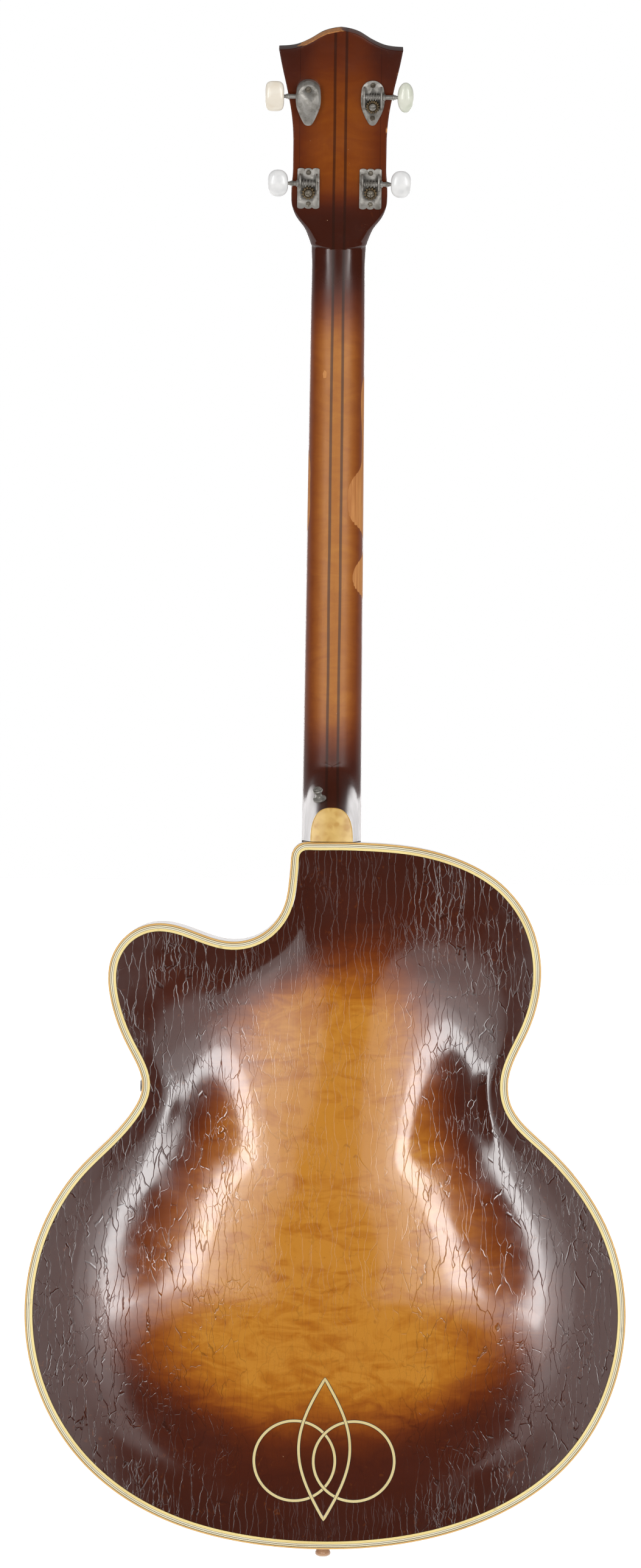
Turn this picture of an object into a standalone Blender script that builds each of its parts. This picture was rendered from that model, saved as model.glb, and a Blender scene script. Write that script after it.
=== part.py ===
"""A four-string archtop bass guitar with one cutaway, built from its separate pieces.

Lengths are in metres. +Z runs up the neck, the strings face -Y, the carved back faces +Y
and the cutaway is on +X. The origin is the centre of the end pin's flat outer face.
"""

import math

import bmesh
import bpy
import numpy as np
from mathutils import Matrix, Vector
from mathutils.bvhtree import BVHTree
from mathutils.geometry import delaunay_2d_cdt

# Clearances
GAP = 0.0003
BORE_GAP = 0.0003

# Body outline, seen from the strings' side: x as a share of the body's width, and height
# above the tail end as a share of its length
BODY_WIDTH = 0.4457
BODY_LENGTH = 0.5243
TREBLE_SIDE = (
    (0.00000, 0.00000), (0.13238, 0.00839), (0.28360, 0.04635), (0.40094, 0.11749),
    (0.48149, 0.23021), (0.50123, 0.33321), (0.48441, 0.42628), (0.41799, 0.53023),
    (0.32802, 0.61377), (0.31007, 0.65039), (0.33453, 0.70666), (0.36280, 0.76826),
    (0.36504, 0.82968), (0.33498, 0.86763), (0.28943, 0.88232), (0.22953, 0.87240),
    (0.16199, 0.85752), (0.11667, 0.86782), (0.07920, 0.90540), (0.06978, 0.94679),
    (0.06776, 0.96891), (0.06394, 0.98798), (0.05048, 0.99828), (0.02917, 0.99981),
)
BASS_SIDE = (
    (-0.06731, 0.99905), (-0.12699, 0.99523), (-0.20821, 0.97902), (-0.28966, 0.93935),
    (-0.33812, 0.87870), (-0.35136, 0.81633), (-0.33004, 0.73412), (-0.29841, 0.66088),
    (-0.30424, 0.63056), (-0.35652, 0.57963), (-0.42428, 0.51821), (-0.47274, 0.44650),
    (-0.49877, 0.32806), (-0.47902, 0.22983), (-0.40857, 0.12588), (-0.29212, 0.05226),
    (-0.17119, 0.01583),
)
ARCH_CENTRE = (0.0, 0.2500)
TURN_PER_SEGMENT = math.radians(22)
LONGEST_SEGMENT = 0.0500

# Body sections
RIM_DEPTH = 0.0730
PLATE_EDGE = 0.0065
PLATE_MIDDLE = 0.0050
BACK_ARCH = 0.0200
TOP_ARCH = 0.0210
RECURVE_SHARE = 0.08
PLATE_STEPS = (1.0, 0.92, 0.80, 0.62, 0.42, 0.20)
INNER_STEPS = (1.0, 0.85, 0.62, 0.30)
BINDING_WIDTH = 0.0059
RIB_THICKNESS = 0.0030
LINING_WIDTH = 0.0077
LINING_DEPTH = 0.0137
NECK_BLOCK_BASS = 0.0320
NECK_BLOCK_TREBLE = 0.0240
NECK_BLOCK_LENGTH = 0.0500
TAIL_BLOCK_HALF = 0.0320
TAIL_BLOCK_LENGTH = 0.0240
TONE_BAR_WIDTH = 0.0070
TONE_BAR_DEPTH = 0.0120
TONE_BAR_TAIL = (0.0520, 0.1000)
TONE_BAR_NECK = (0.0340, 0.4050)
TONE_BAR_GAP = 0.0006
TONE_BAR_END_SHARE = 0.35
F_HOLE_PLACE = (0.0860, 0.2080)
F_HOLE_LENGTH = 0.1300
F_HOLE_WIDTH = 0.0110
F_HOLE_EYE = 0.0085

# Neck
SCALE_LENGTH = 0.7620
JOINT_FRET = 15
FRET_COUNT = 20
NECK_ANGLE = math.radians(4.4)
BOARD_RISE = 0.0160
BOARD_THICKNESS = 0.0060
BOARD_CROWN = 0.0009
BOARD_PAST_LAST_FRET = 0.0080
FRET_HEIGHT = 0.0010
FRET_WIDTH = 0.0026
NUT_WIDTH = 0.0400
JOINT_WIDTH = 0.0447
NUT_THICKNESS = 0.0050
NUT_HEIGHT = 0.0022
NECK_DEPTH_AT_NUT = 0.0155
NECK_DEPTH_AT_JOINT = 0.0190
NECK_WALL = 0.0045
TONGUE_THICKNESS = 0.0070
TONGUE_WIDTH = 0.0340
TENON_WIDTH = 0.0240
TENON_LENGTH = 0.0200
TENON_SHORT = 0.0165
TONGUE_START = 0.0200
BAR_WIDTH = 0.0060
BAR_DEPTH = 0.0100
BAR_LOW = 0.0350
BAR_HIGH = 0.4200
# Each heel level: share of the depth from the fingerboard's face to the back's edge, half
# width, and length up from the joint
HEEL_LEVELS = (
    (0.118, 0.0205, 0.0400), (0.253, 0.0205, 0.0640), (0.365, 0.0200, 0.0520),
    (0.500, 0.0192, 0.0420), (0.680, 0.0180, 0.0345), (0.860, 0.0168, 0.0290),
)
HEEL_CAP_HALF = 0.0158
HEEL_CAP_LENGTH = 0.0252
HEEL_CAP_THICKNESS = 0.0020
NECK_RING_SHARES = (0.16, 0.37, 0.58, 0.79, 0.982)

# Head
HEAD_ANGLE = math.radians(14)
HEAD_THICKNESS = 0.0150
VENEER_THICKNESS = 0.0015
HEAD_SIDE = (
    (0.0000, 0.0201), (0.0074, 0.0225), (0.0168, 0.0263), (0.0263, 0.0324),
    (0.0358, 0.0353), (0.0453, 0.0358), (0.0640, 0.0347), (0.0830, 0.0347),
    (0.1032, 0.0360), (0.1221, 0.0394), (0.1411, 0.0437), (0.1526, 0.0459),
)
HEAD_CROWN = (
    (0.0, 0.1672), (0.0060, 0.1663), (0.0133, 0.1640), (0.0229, 0.1583),
    (0.0314, 0.1545), (0.0374, 0.1532), (0.0459, 0.1526),
)
HEAD_FLAT_EDGE = (
    (0.0034, 0.0), (0.0039, 0.0065), (0.0077, 0.0112), (0.0166, 0.0185), (0.0305, 0.0311),
    (0.0358, 0.0353),
)
HEAD_RING_PLACES = (
    0.0030, 0.0074, 0.0120, 0.0168, 0.0215, 0.0263, 0.0310, 0.0358, 0.0453, 0.0640, 0.0830,
    0.1032, 0.1221, 0.1411, 0.1526,
)
HEAD_GROWS = (0.0060, 0.0360)
COLUMNS = 11

# Tuners: a place is across from the middle, and up the head, at the post's axis
UPPER_POST_PLACE = (0.0238, 0.1116)
LOWER_POST_PLACE = (0.0231, 0.0464)
POST_RADIUS = 0.0032
POST_REACH = 0.0170
TUNER_PLATE_THICKNESS = 0.0012
WORM_HEIGHT = 0.0049
GEAR_THICKNESS = 0.0030
THREAD_HALF_LENGTH = 0.0040
THREAD_STEPS = 8
THREAD_SUNK = 0.0004
THREAD_SLOPE = 0.25
TOOTH_SLOPE = 0.30
MESH_GAP_AT_CORE = 0.00015
MESH_GAP_AT_TIP = 0.00020
GEAR_SCREW = ((0.0026, -0.0003), (0.0026, 0.0009), (0.0018, 0.0015))
POST_WAIST_UP = 0.0040
POST_WAIST_HALF = 0.0040
POST_WAIST_DEPTH = 0.0003
POST_CHAMFER = (0.0007, 0.0008)
STRING_HOLE_RADIUS = 0.0013
STRING_HOLE_UP = 0.0030
SHAFT_SIDES = 8
CORE_RADIUS = 0.00185
WORM_RADIUS = 0.0029
JOURNAL_RADIUS = 0.0013
STEM_RADIUS = 0.0017
COLLAR_RADIUS = 0.0025
COLLAR_LENGTH = 0.0020
SHAFT_END_PROUD = 0.0004
SHAFT_NECK = 0.0012
BUTTON_BORE_SHARE = 0.6
EAR_THICKNESS = 0.0013
EAR_HEIGHT = 0.0080
COVER_HEIGHT = 0.0096
COVER_WALL = 0.0008
COVER_BEVEL = 0.0018
COVER_FACET = 0.84
COVER_LENGTHS = (0.0194, 0.0142)
COVER_HALF_WIDTH = 0.0090
COVER_SCREW_UP = 0.0132
COVER_SCREW_DEPTH = 0.0040
COVER_SIDE = (0.98, 0.0005)
COVER_TAPER = (0.72, -0.0062)
COVER_FOOT = 0.0042
COVER_NOTCH = (0.0050, 0.0120)

# Strings, bridge and tailpiece
STRING_DIAMETERS = (0.00267, 0.00216, 0.00165, 0.00114)
NUT_SPACING = 0.0105
BRIDGE_SPACING = 0.0145
BRIDGE_ACTION = 0.0045
WRAP_TURNS = 2.0
WRAP_HEIGHT = 0.0120
WRAP_GAP = 0.0005
BEFORE_SADDLE = (0.0, 0.0004, -0.0040)
AFTER_SADDLE = (0.0, 0.0, 0.0030)
BEFORE_NUT = 0.0020
BRIDGE_POST_SPREAD = 0.0320
BRIDGE_POST_RADIUS = 0.0016
BRIDGE_HALF_LENGTH = 0.0600
BRIDGE_FOOT_WIDTH = 0.0120
BRIDGE_BASE_RISE = 0.0050
SADDLE_HALF_LENGTH = 0.0400
SADDLE_HEIGHT = 0.0115
SADDLE_WIDTH = 0.0090
SADDLE_END_DROP = 0.0025
BASE_END_DROP = 0.0030
POST_IN_BASE = 0.0016
POST_END_SHORT = 0.0030
DRILL_PAST = 0.0020
WHEEL_RADIUS = 0.0075
WHEEL_THICKNESS = 0.0035
TAILPIECE_THICKNESS = 0.0020
TAILPIECE_HALF_WIDTHS = (0.0090, 0.0310)
TAILPIECE_BAR = (0.0660, 0.0740, 0.1060, 0.1140)
TAIL_SCREW_INSET = 0.0155
TAILPIECE_TONGUE = 0.0030
TAILPIECE_BEND = (0.0005, 0.0055, 0.0035)
TAILPIECE_SLOPE = (0.0180, 0.0250, 0.0700, 0.0030)
TAILPIECE_BAR_PROUD = 0.0015
TAIL_SCREW_HEAD = (0.0032, 0.0016)
TAIL_SCREW_LENGTH = 0.0140

# Pickguard: across from the middle, and share of the way from the body joint to the bridge
GUARD_ACROSS = (0.0262, 0.0262, 0.0400, 0.0620, 0.0800, 0.0860, 0.0800, 0.0640, 0.0440)
GUARD_SHARES = (0.2996, 0.9301, 0.9551, 0.9301, 0.8240, 0.6680, 0.4807, 0.3246, 0.2372)
GUARD_TOP_SHARE = 0.2060
GUARD_LEVEL = 0.0010
GUARD_THICKNESS = 0.0025
BRACKET_SHARE = 0.5801
BRACKET_WIDTH = 0.0080
BRACKET_THICKNESS = 0.0015
BRACKET_START = 0.0560
BRACKET_BEND = (0.0120, 0.0160)
BRACKET_END_DEPTH = 0.0225

# Buttons and pins
END_PIN_PROUD = 0.0100
END_PIN_RADIUS = 0.0058
END_PIN_SHANK = 0.0040
END_PIN_LENGTH = 0.0200
STRAP_BUTTON_PLACE = (0.0088, 0.0215)
STRAP_BUTTON_UP = 0.0300
STRAP_BUTTON_AXIS = (0.20, 0.48, 0.85)
STRAP_BUTTON_RADIUS = 0.0050
STRAP_BUTTON_HEIGHT = 0.0085
SCREW_SHANK = 0.0013
SCREW_POINT = 0.0020
SLOT_HALF = 0.0003
STRAP_SCREW_HEAD = 0.0016
STRAP_SCREW_LENGTH = 0.0170

# Line ornament let into the back
INLAY_UP = 0.0720
INLAY_LOOP_RADIUS = 0.0300
INLAY_LOOP_SPREAD = 0.0220
INLAY_LOOP_DROP = 0.0060
INLAY_POINT_RISE = 0.0560
INLAY_POINT_DROP = 0.0500
INLAY_POINT_HALF = 0.0190
INLAY_WIDTH = 0.0020
INLAY_DEPTH = 0.0010

# Worked out from the sizes above
EDGE_Y = RIM_DEPTH / 2
RIM_Y = EDGE_Y - PLATE_EDGE
TAIL_Z = END_PIN_PROUD
JOINT_Z = TAIL_Z + BODY_LENGTH
PLATE_INSET = BINDING_WIDTH + GAP
TENON_BACK = EDGE_Y - TENON_SHORT
TAIL_SCREW_Y = TAIL_SCREW_INSET - EDGE_Y
TILT = NECK_ANGLE + HEAD_ANGLE


def fret_distance(count):
    """Distance from the nut to a fret: each fret takes 1/12 of an octave off the string."""
    return SCALE_LENGTH * (1 - 2 ** (-count / 12))


NUT_S = fret_distance(JOINT_FRET)
BRIDGE_S = NUT_S - SCALE_LENGTH
BOARD_END_S = NUT_S - fret_distance(FRET_COUNT) - BOARD_PAST_LAST_FRET


def neck_point(x, s, h):
    """A point from x, s up along the fingerboard from the body joint, h behind its surface."""
    y = -(EDGE_Y + BOARD_RISE) + s * math.sin(NECK_ANGLE) + h * math.cos(NECK_ANGLE)
    z = JOINT_Z + s * math.cos(NECK_ANGLE) - h * math.sin(NECK_ANGLE)
    return np.array((x, y, z))


HEAD_ORIGIN = neck_point(0.0, NUT_S + NUT_THICKNESS, BOARD_THICKNESS + GAP)
HEAD_UP = np.array((0.0, math.sin(TILT), math.cos(TILT)))
HEAD_OUT = np.array((0.0, math.cos(TILT), -math.sin(TILT)))


def head_point(x, v, h):
    """A point from x, v up along the head from the nut, h behind the head's front face."""
    return HEAD_ORIGIN + np.array((x, 0.0, 0.0)) + v * HEAD_UP + h * HEAD_OUT


def clear_scene():
    for old in list(bpy.data.objects):
        bpy.data.objects.remove(old, do_unlink=True)


MATERIALS = {
    "sunburst": ((0.13, 0.040, 0.018, 1), 0.25, 0.0),
    "maple": ((0.45, 0.22, 0.07, 1), 0.30, 0.0),
    "spruce": ((0.60, 0.42, 0.22, 1), 0.60, 0.0),
    "rosewood": ((0.06, 0.025, 0.015, 1), 0.45, 0.0),
    "ebony": ((0.015, 0.013, 0.012, 1), 0.35, 0.0),
    "cream": ((0.78, 0.66, 0.40, 1), 0.35, 0.0),
    "pearl": ((0.85, 0.83, 0.76, 1), 0.25, 0.0),
    "nickel": ((0.55, 0.54, 0.50, 1), 0.35, 1.0),
    "brass": ((0.48, 0.34, 0.14, 1), 0.40, 1.0),
    "steel": ((0.42, 0.42, 0.42, 1), 0.35, 1.0),
    "black": ((0.02, 0.02, 0.02, 1), 0.30, 0.0),
}


def material(name):
    found = bpy.data.materials.get(name)
    if found:
        return found
    colour, roughness, metallic = MATERIALS[name]
    made = bpy.data.materials.new(name)
    made.use_nodes = True
    shader = made.node_tree.nodes["Principled BSDF"]
    shader.inputs["Base Color"].default_value = colour
    shader.inputs["Roughness"].default_value = roughness
    shader.inputs["Metallic"].default_value = metallic
    return made


def build(name, points, faces, finish, matrix=None, sharp=35):
    """Makes a mesh object with its faces turned outward, from points in its own frame."""
    mesh = bpy.data.meshes.new(name)
    mesh.from_pydata([tuple(float(c) for c in p) for p in points], [], faces)
    work = bmesh.new()
    work.from_mesh(mesh)
    bmesh.ops.recalc_face_normals(work, faces=work.faces)
    work.to_mesh(mesh)
    work.free()
    mesh.shade_smooth()
    mesh.set_sharp_from_angle(angle=math.radians(sharp))
    mesh.materials.append(material(finish))
    made = bpy.data.objects.new(name, mesh)
    bpy.context.scene.collection.objects.link(made)
    if matrix is not None:
        made.matrix_world = matrix
    return made


def hide(helper):
    helper.hide_render = True
    helper.display_type = "WIRE"
    return helper


def boolean(target, other, operation):
    hide(other)
    step = target.modifiers.new(other.name, "BOOLEAN")
    step.operation = operation
    step.solver = "EXACT"
    step.object = other


def cut(target, *others):
    for other in others:
        boolean(target, other, "DIFFERENCE")


def join(target, *others):
    for other in others:
        boolean(target, other, "UNION")


def skin(rings, closed=False):
    """Points and faces of a skin over rings of equal length. The end rings are capped
    unless closed joins the last ring to the first."""
    rings = [np.asarray(ring, float) for ring in rings]
    count = len(rings[0])
    points = np.concatenate(rings)
    faces = []
    for k in range(len(rings) if closed else len(rings) - 1):
        low = k * count
        high = (k + 1) % len(rings) * count
        for i in range(count):
            j = (i + 1) % count
            faces.append((low + i, low + j, high + j, high + i))
    if not closed:
        faces.append(tuple(range(count))[::-1])
        last = (len(rings) - 1) * count
        faces.append(tuple(range(last, last + count)))
    return points, faces


def axes(origin, x_axis, y_axis, z_axis):
    """The matrix of a frame from its origin and its three unit axes."""
    made = Matrix.Identity(4)
    for column, axis in enumerate((x_axis, y_axis, z_axis, origin)):
        for row in range(3):
            made[row][column] = float(axis[row])
    return made


def frame_along(origin, direction):
    """A frame whose z axis is the direction."""
    z_axis = Vector(direction).normalized()
    turn = z_axis.to_track_quat("Z", "Y")
    return Matrix.Translation(Vector(origin)) @ turn.to_matrix().to_4x4()


def turned(name, profile, finish, matrix, sides=12):
    """A solid of revolution about its z axis, from (radius, z) pairs with no zero radius."""
    rings = []
    for radius, z in profile:
        angles = np.arange(sides) * 2 * math.pi / sides
        ring = (radius * np.cos(angles), radius * np.sin(angles), np.full(sides, z))
        rings.append(np.stack(ring, axis=1))
    points, faces = skin(rings)
    return build(name, points, faces, finish, matrix)


def turned_ring(name, profile, finish, matrix, sides=12):
    """A ring of revolution about its z axis: the closed profile never meets the axis."""
    rings = []
    for k in range(sides):
        angle = k * 2 * math.pi / sides
        ring = [(r * math.cos(angle), r * math.sin(angle), z) for r, z in profile]
        rings.append(ring)
    points, faces = skin(rings, closed=True)
    return build(name, points, faces, finish, matrix)


def rod(name, start, end, radius, finish="black", sides=12):
    """A plain round rod between two points; also used as a drill."""
    start = Vector(start)
    end = Vector(end)
    length = (end - start).length
    matrix = frame_along(start, end - start)
    return turned(name, ((radius, 0.0), (radius, length)), finish, matrix, sides)


def box(name, low, high, finish="black", matrix=None):
    """A box between two corners."""
    x0, y0, z0 = low
    x1, y1, z1 = high
    rings = [[(x0, y0, z), (x1, y0, z), (x1, y1, z), (x0, y1, z)] for z in (z0, z1)]
    points, faces = skin(rings)
    return build(name, points, faces, finish, matrix)


def prism(name, outline, low, high, place, finish, matrix=None):
    """A flat outline of (a, b) pairs given thickness: place(a, b, level) makes each point."""
    rings = [[place(a, b, level) for a, b in outline] for level in (low, high)]
    points, faces = skin(rings)
    return build(name, points, faces, finish, matrix)


class SmoothLoop:
    """A closed cubic spline through its points. Parameter u is the point number."""

    def __init__(self, points):
        self.points = np.array(points, float)
        after = np.roll(self.points, -1, axis=0)
        self.steps = np.linalg.norm(after - self.points, axis=1)
        count = len(self.points)
        system = np.zeros((count, count))
        slopes = (after - self.points) / self.steps[:, None]
        for i in range(count):
            system[i, i - 1] += self.steps[i - 1]
            system[i, i] += 2 * (self.steps[i - 1] + self.steps[i])
            system[i, (i + 1) % count] += self.steps[i]
        bends = 6 * (slopes - np.roll(slopes, 1, axis=0))
        self.bends = np.linalg.solve(system, bends)

    def at(self, u):
        """Position and unit tangent at parameter u."""
        count = len(self.points)
        i = int(math.floor(u)) % count
        j = (i + 1) % count
        t = u - math.floor(u)
        step = self.steps[i]
        a = 1 - t
        place = a * self.points[i] + t * self.points[j]
        place = place + step**2 / 6 * ((a**3 - a) * self.bends[i] + (t**3 - t) * self.bends[j])
        slope = (self.points[j] - self.points[i]) / step
        slope = slope - step / 6 * (3 * a**2 - 1) * self.bends[i]
        slope = slope + step / 6 * (3 * t**2 - 1) * self.bends[j]
        return place, slope / np.linalg.norm(slope)


NECK_END = (0.0, 1.0)
OUTLINE = SmoothLoop([(across * BODY_WIDTH, up * BODY_LENGTH) for across, up in
                      TREBLE_SIDE + (NECK_END,) + BASS_SIDE])
NECK_U = len(TREBLE_SIDE)
LAST_U = len(TREBLE_SIDE) + 1 + len(BASS_SIDE)


def inset(u, distance):
    """The outline's point at u, moved inward by a distance, in world x and z."""
    place, tangent = OUTLINE.at(u)
    inward = np.array((-tangent[1], tangent[0]))
    x, z = place + distance * inward
    return np.array((x, z + TAIL_Z))


def find_x(x, distance, low, high):
    """The parameter between low and high where the outline, moved inward, crosses x."""
    rising = inset(high, distance)[0] > inset(low, distance)[0]
    for _ in range(50):
        middle = (low + high) / 2
        if (inset(middle, distance)[0] < x) == rising:
            low = middle
        else:
            high = middle
    return (low + high) / 2


TENON_EDGE = TENON_WIDTH / 2 + BORE_GAP
SEAM = GAP / 2
INSIDE = RIB_THICKNESS + GAP
LINING_INSIDE = INSIDE + LINING_WIDTH
U_TAIL_TREBLE = find_x(SEAM, 0.0, 0, 1)
U_TAIL_BASS = find_x(-SEAM, 0.0, LAST_U - 1, LAST_U)
U_NECK_TREBLE = find_x(TENON_EDGE, 0.0, NECK_U - 1, NECK_U)
U_NECK_BASS = find_x(-TENON_EDGE, 0.0, NECK_U, NECK_U + 1)
U_TAIL_BLOCK_TREBLE = find_x(TAIL_BLOCK_HALF, INSIDE, 0, 1)
U_TAIL_BLOCK_BASS = find_x(-TAIL_BLOCK_HALF, INSIDE, LAST_U - 1, LAST_U)
U_NECK_BLOCK_TREBLE = find_x(NECK_BLOCK_TREBLE, INSIDE, NECK_U - 3, NECK_U)
U_NECK_BLOCK_BASS = find_x(-NECK_BLOCK_BASS, INSIDE, NECK_U, NECK_U + 2)
LINING_SPANS = {
    "treble": (
        find_x(TAIL_BLOCK_HALF + GAP, LINING_INSIDE, 0, 2),
        find_x(NECK_BLOCK_TREBLE + GAP, LINING_INSIDE, NECK_U - 6, NECK_U - 3),
    ),
    "bass": (
        find_x(-NECK_BLOCK_BASS - GAP, LINING_INSIDE, NECK_U, NECK_U + 3),
        find_x(-TAIL_BLOCK_HALF - GAP, LINING_INSIDE, LAST_U - 2, LAST_U),
    ),
}


def outline_samples():
    """Parameters round the outline, with more of them where it turns or runs far."""
    special = {U_TAIL_TREBLE, U_TAIL_BASS, U_NECK_TREBLE, U_NECK_BASS}
    special |= {U_TAIL_BLOCK_TREBLE, U_TAIL_BLOCK_BASS, U_NECK_BLOCK_TREBLE, U_NECK_BLOCK_BASS}
    special |= set(LINING_SPANS["treble"] + LINING_SPANS["bass"])
    found = set(special)
    for i in range(LAST_U):
        start, first = OUTLINE.at(i)
        end, last = OUTLINE.at(i + 0.9999)
        turn = math.acos(max(-1, min(1, float(first @ last))))
        length = np.linalg.norm(end - start)
        pieces = max(1, math.ceil(turn / TURN_PER_SEGMENT), math.ceil(length / LONGEST_SEGMENT))
        for k in range(pieces):
            u = i + k / pieces
            if min(abs(u - other) for other in special) > 0.12:
                found.add(u)
    found -= {0, LAST_U}
    return sorted(found)


SAMPLES = outline_samples()


def strip(name, params, near, far, low, high, finish, closed=False):
    """A band of the rim: from inset near to inset far, and from y = low to y = high."""
    rings = []
    for u in params:
        a = inset(u, near)
        b = inset(u, far)
        ring = [(a[0], low, a[1]), (a[0], high, a[1]), (b[0], high, b[1]), (b[0], low, b[1])]
        rings.append(ring)
    points, faces = skin(rings, closed)
    return build(name, points, faces, finish)


def smoothed_radii(radii):
    """The loop of radii with only its slowest waves, so the arch flows past the cutaway."""
    waves = np.fft.rfft(radii)
    waves[4:] = 0
    return np.fft.irfft(waves, len(radii))


def arch_share(step):
    """0 at the recurve and 1 at the middle: 6x^2 - 8x^3 + 3x^4, steepest a third of the way."""
    x = max(0.0, (1 - step - RECURVE_SHARE) / (1 - RECURVE_SHARE))
    return 6 * x**2 - 8 * x**3 + 3 * x**4


def plate_loops(steps):
    """For each step from the edge to the middle, the loop of (x, z) places of the plates."""
    centre = np.array((ARCH_CENTRE[0], ARCH_CENTRE[1] + TAIL_Z))
    edge = np.array([inset(u, PLATE_INSET) for u in SAMPLES]) - centre
    radii = np.linalg.norm(edge, axis=1)
    angles = np.unwrap(np.arctan2(edge[:, 1], edge[:, 0]))
    full = 2 * math.pi
    even = np.linspace(angles[0], angles[0] + full, 128, endpoint=False)
    round_radii = np.interp(even, np.append(angles, angles[0] + full), np.append(radii, radii[0]))
    slow = smoothed_radii(round_radii)
    slow = np.interp(angles, np.append(even, even[0] + full), np.append(slow, slow[0]))
    directions = np.stack((np.cos(angles), np.sin(angles)), axis=1)
    loops = []
    for step in steps:
        share = min(1.0, (1 - step) / 0.5)
        share = share**2 * (3 - 2 * share)
        radius = step * ((1 - share) * radii + share * slow)
        loops.append(centre + radius[:, None] * directions)
    return centre, loops


def plate_skin(steps, side, edge_y, rise, start):
    """Points and faces of one skin of a plate, from its edge to its middle."""
    centre, loops = plate_loops(steps)
    count = len(SAMPLES)
    points = []
    faces = []
    for step, loop in zip(steps, loops):
        y = side * (edge_y + rise * arch_share(step))
        points.extend((x, y, z) for x, z in loop)
    points.append((centre[0], side * (edge_y + rise), centre[1]))
    for k in range(len(steps) - 1):
        a = start + k * count
        for i in range(count):
            j = (i + 1) % count
            faces.append((a + i, a + j, a + count + j, a + count + i))
    last = start + (len(steps) - 1) * count
    middle = start + len(steps) * count
    faces.extend((last + i, last + (i + 1) % count, middle) for i in range(count))
    return points, faces


def plate(name, side, arch, finish):
    """A carved plate: side +1 is the back and -1 is the top. Returns it with its two skins,
    outer and inner, as trees that other pieces are seated against."""
    inner_rise = arch + PLATE_EDGE - PLATE_MIDDLE
    points, outer = plate_skin(PLATE_STEPS, side, EDGE_Y, arch, 0)
    start = len(points)
    inner_points, inner = plate_skin(INNER_STEPS, side, RIM_Y, inner_rise, start)
    points = points + inner_points
    count = len(SAMPLES)
    ends = [(i, (i + 1) % count) for i in range(count)]
    rim = [(i, j, start + j, start + i) for i, j in ends]
    made = build(name, points, outer + inner + rim, finish)
    corners = [tuple(p) for p in points]
    return made, BVHTree.FromPolygons(corners, outer), BVHTree.FromPolygons(corners, inner)


def level(tree, x, z):
    """The y of a plate's skin at (x, z)."""
    hit = tree.ray_cast(Vector((x, -1.0, z)), Vector((0.0, 1.0, 0.0)))
    return hit[0].y


def make_body():
    """The sound box: plates, ribs, linings, blocks, tone bars, bindings and the ornament."""
    back, back_skin, _ = plate("back_plate", 1, BACK_ARCH, "sunburst")
    top, top_skin, top_inside = plate("top_plate", -1, TOP_ARCH, "sunburst")
    rim = RIM_Y - GAP
    ribs = []
    rib_spans = (("treble", U_TAIL_TREBLE, U_NECK_TREBLE), ("bass", U_NECK_BASS, U_TAIL_BASS))
    for side, low_u, high_u in rib_spans:
        params = between(low_u, high_u)
        ribs.append(strip(f"rib_{side}", params, 0.0, RIB_THICKNESS, -rim, rim, "sunburst"))
    strip("binding_back", SAMPLES, 0.0, BINDING_WIDTH, RIM_Y, EDGE_Y, "cream", closed=True)
    strip("binding_top", SAMPLES, 0.0, BINDING_WIDTH, -EDGE_Y, -RIM_Y, "cream", closed=True)
    make_linings(rim)
    inner = TAIL_Z + INSIDE + TAIL_BLOCK_LENGTH
    tail_span = (U_TAIL_BLOCK_BASS, U_TAIL_BLOCK_TREBLE + LAST_U)
    tail_block = make_block("tail_block", *tail_span, inner, rim)
    make_neck_block(rim)
    make_tone_bars(top_inside)
    cut_f_holes(top)
    make_inlay(back, back_skin)
    pin_depth = TAIL_Z + END_PIN_LENGTH + GAP
    for k, piece in enumerate(ribs + [tail_block]):
        cut(piece, rod(f"pin_drill_{k}", (0, 0, 0), (0, 0, pin_depth), END_PIN_SHANK + BORE_GAP))
        screw_depth = TAIL_Z + RIB_THICKNESS + TAIL_BLOCK_LENGTH / 2
        drill = rod(f"tail_screw_drill_{k}", (0, TAIL_SCREW_Y, 0), (0, TAIL_SCREW_Y, screw_depth),
                    SCREW_SHANK + BORE_GAP, sides=8)
        cut(piece, drill)
    return top_skin


def between(low_u, high_u):
    """The shared parameters from low_u to high_u, which may pass the tail end."""
    turns = SAMPLES + [u + LAST_U for u in SAMPLES]
    return [u for u in turns if low_u - 1e-9 <= u <= high_u + 1e-9]


def make_linings(rim):
    """Four strips glued inside the ribs, stopping at the end blocks."""
    for side, (low_u, high_u) in LINING_SPANS.items():
        params = between(low_u, high_u)
        low = rim - LINING_DEPTH
        strip(f"lining_back_{side}", params, INSIDE, LINING_INSIDE, low, rim, "spruce")
        strip(f"lining_top_{side}", params, INSIDE, LINING_INSIDE, -rim, -low, "spruce")


def make_block(name, low_u, high_u, inner, rim):
    """A block that fits the inside of the ribs and ends at the height called inner."""
    edge = [tuple(inset(u, INSIDE)) for u in between(low_u, high_u)]
    outline = edge + [(edge[-1][0], inner), (edge[0][0], inner)]
    return prism(name, outline, -rim, rim, lambda x, z, y: (x, y, z), "maple")


def make_neck_block(rim):
    """The block with the mortise that the neck's tenon sits in."""
    inner = JOINT_Z - INSIDE - NECK_BLOCK_LENGTH
    block = make_block("neck_block", U_NECK_BLOCK_TREBLE, U_NECK_BLOCK_BASS, inner, rim)
    low = (-TENON_EDGE, -EDGE_Y, JOINT_Z - TENON_LENGTH - BORE_GAP)
    high = (TENON_EDGE, TENON_BACK + BORE_GAP, JOINT_Z + TENON_LENGTH)
    cut(block, box("mortise", low, high))


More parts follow.
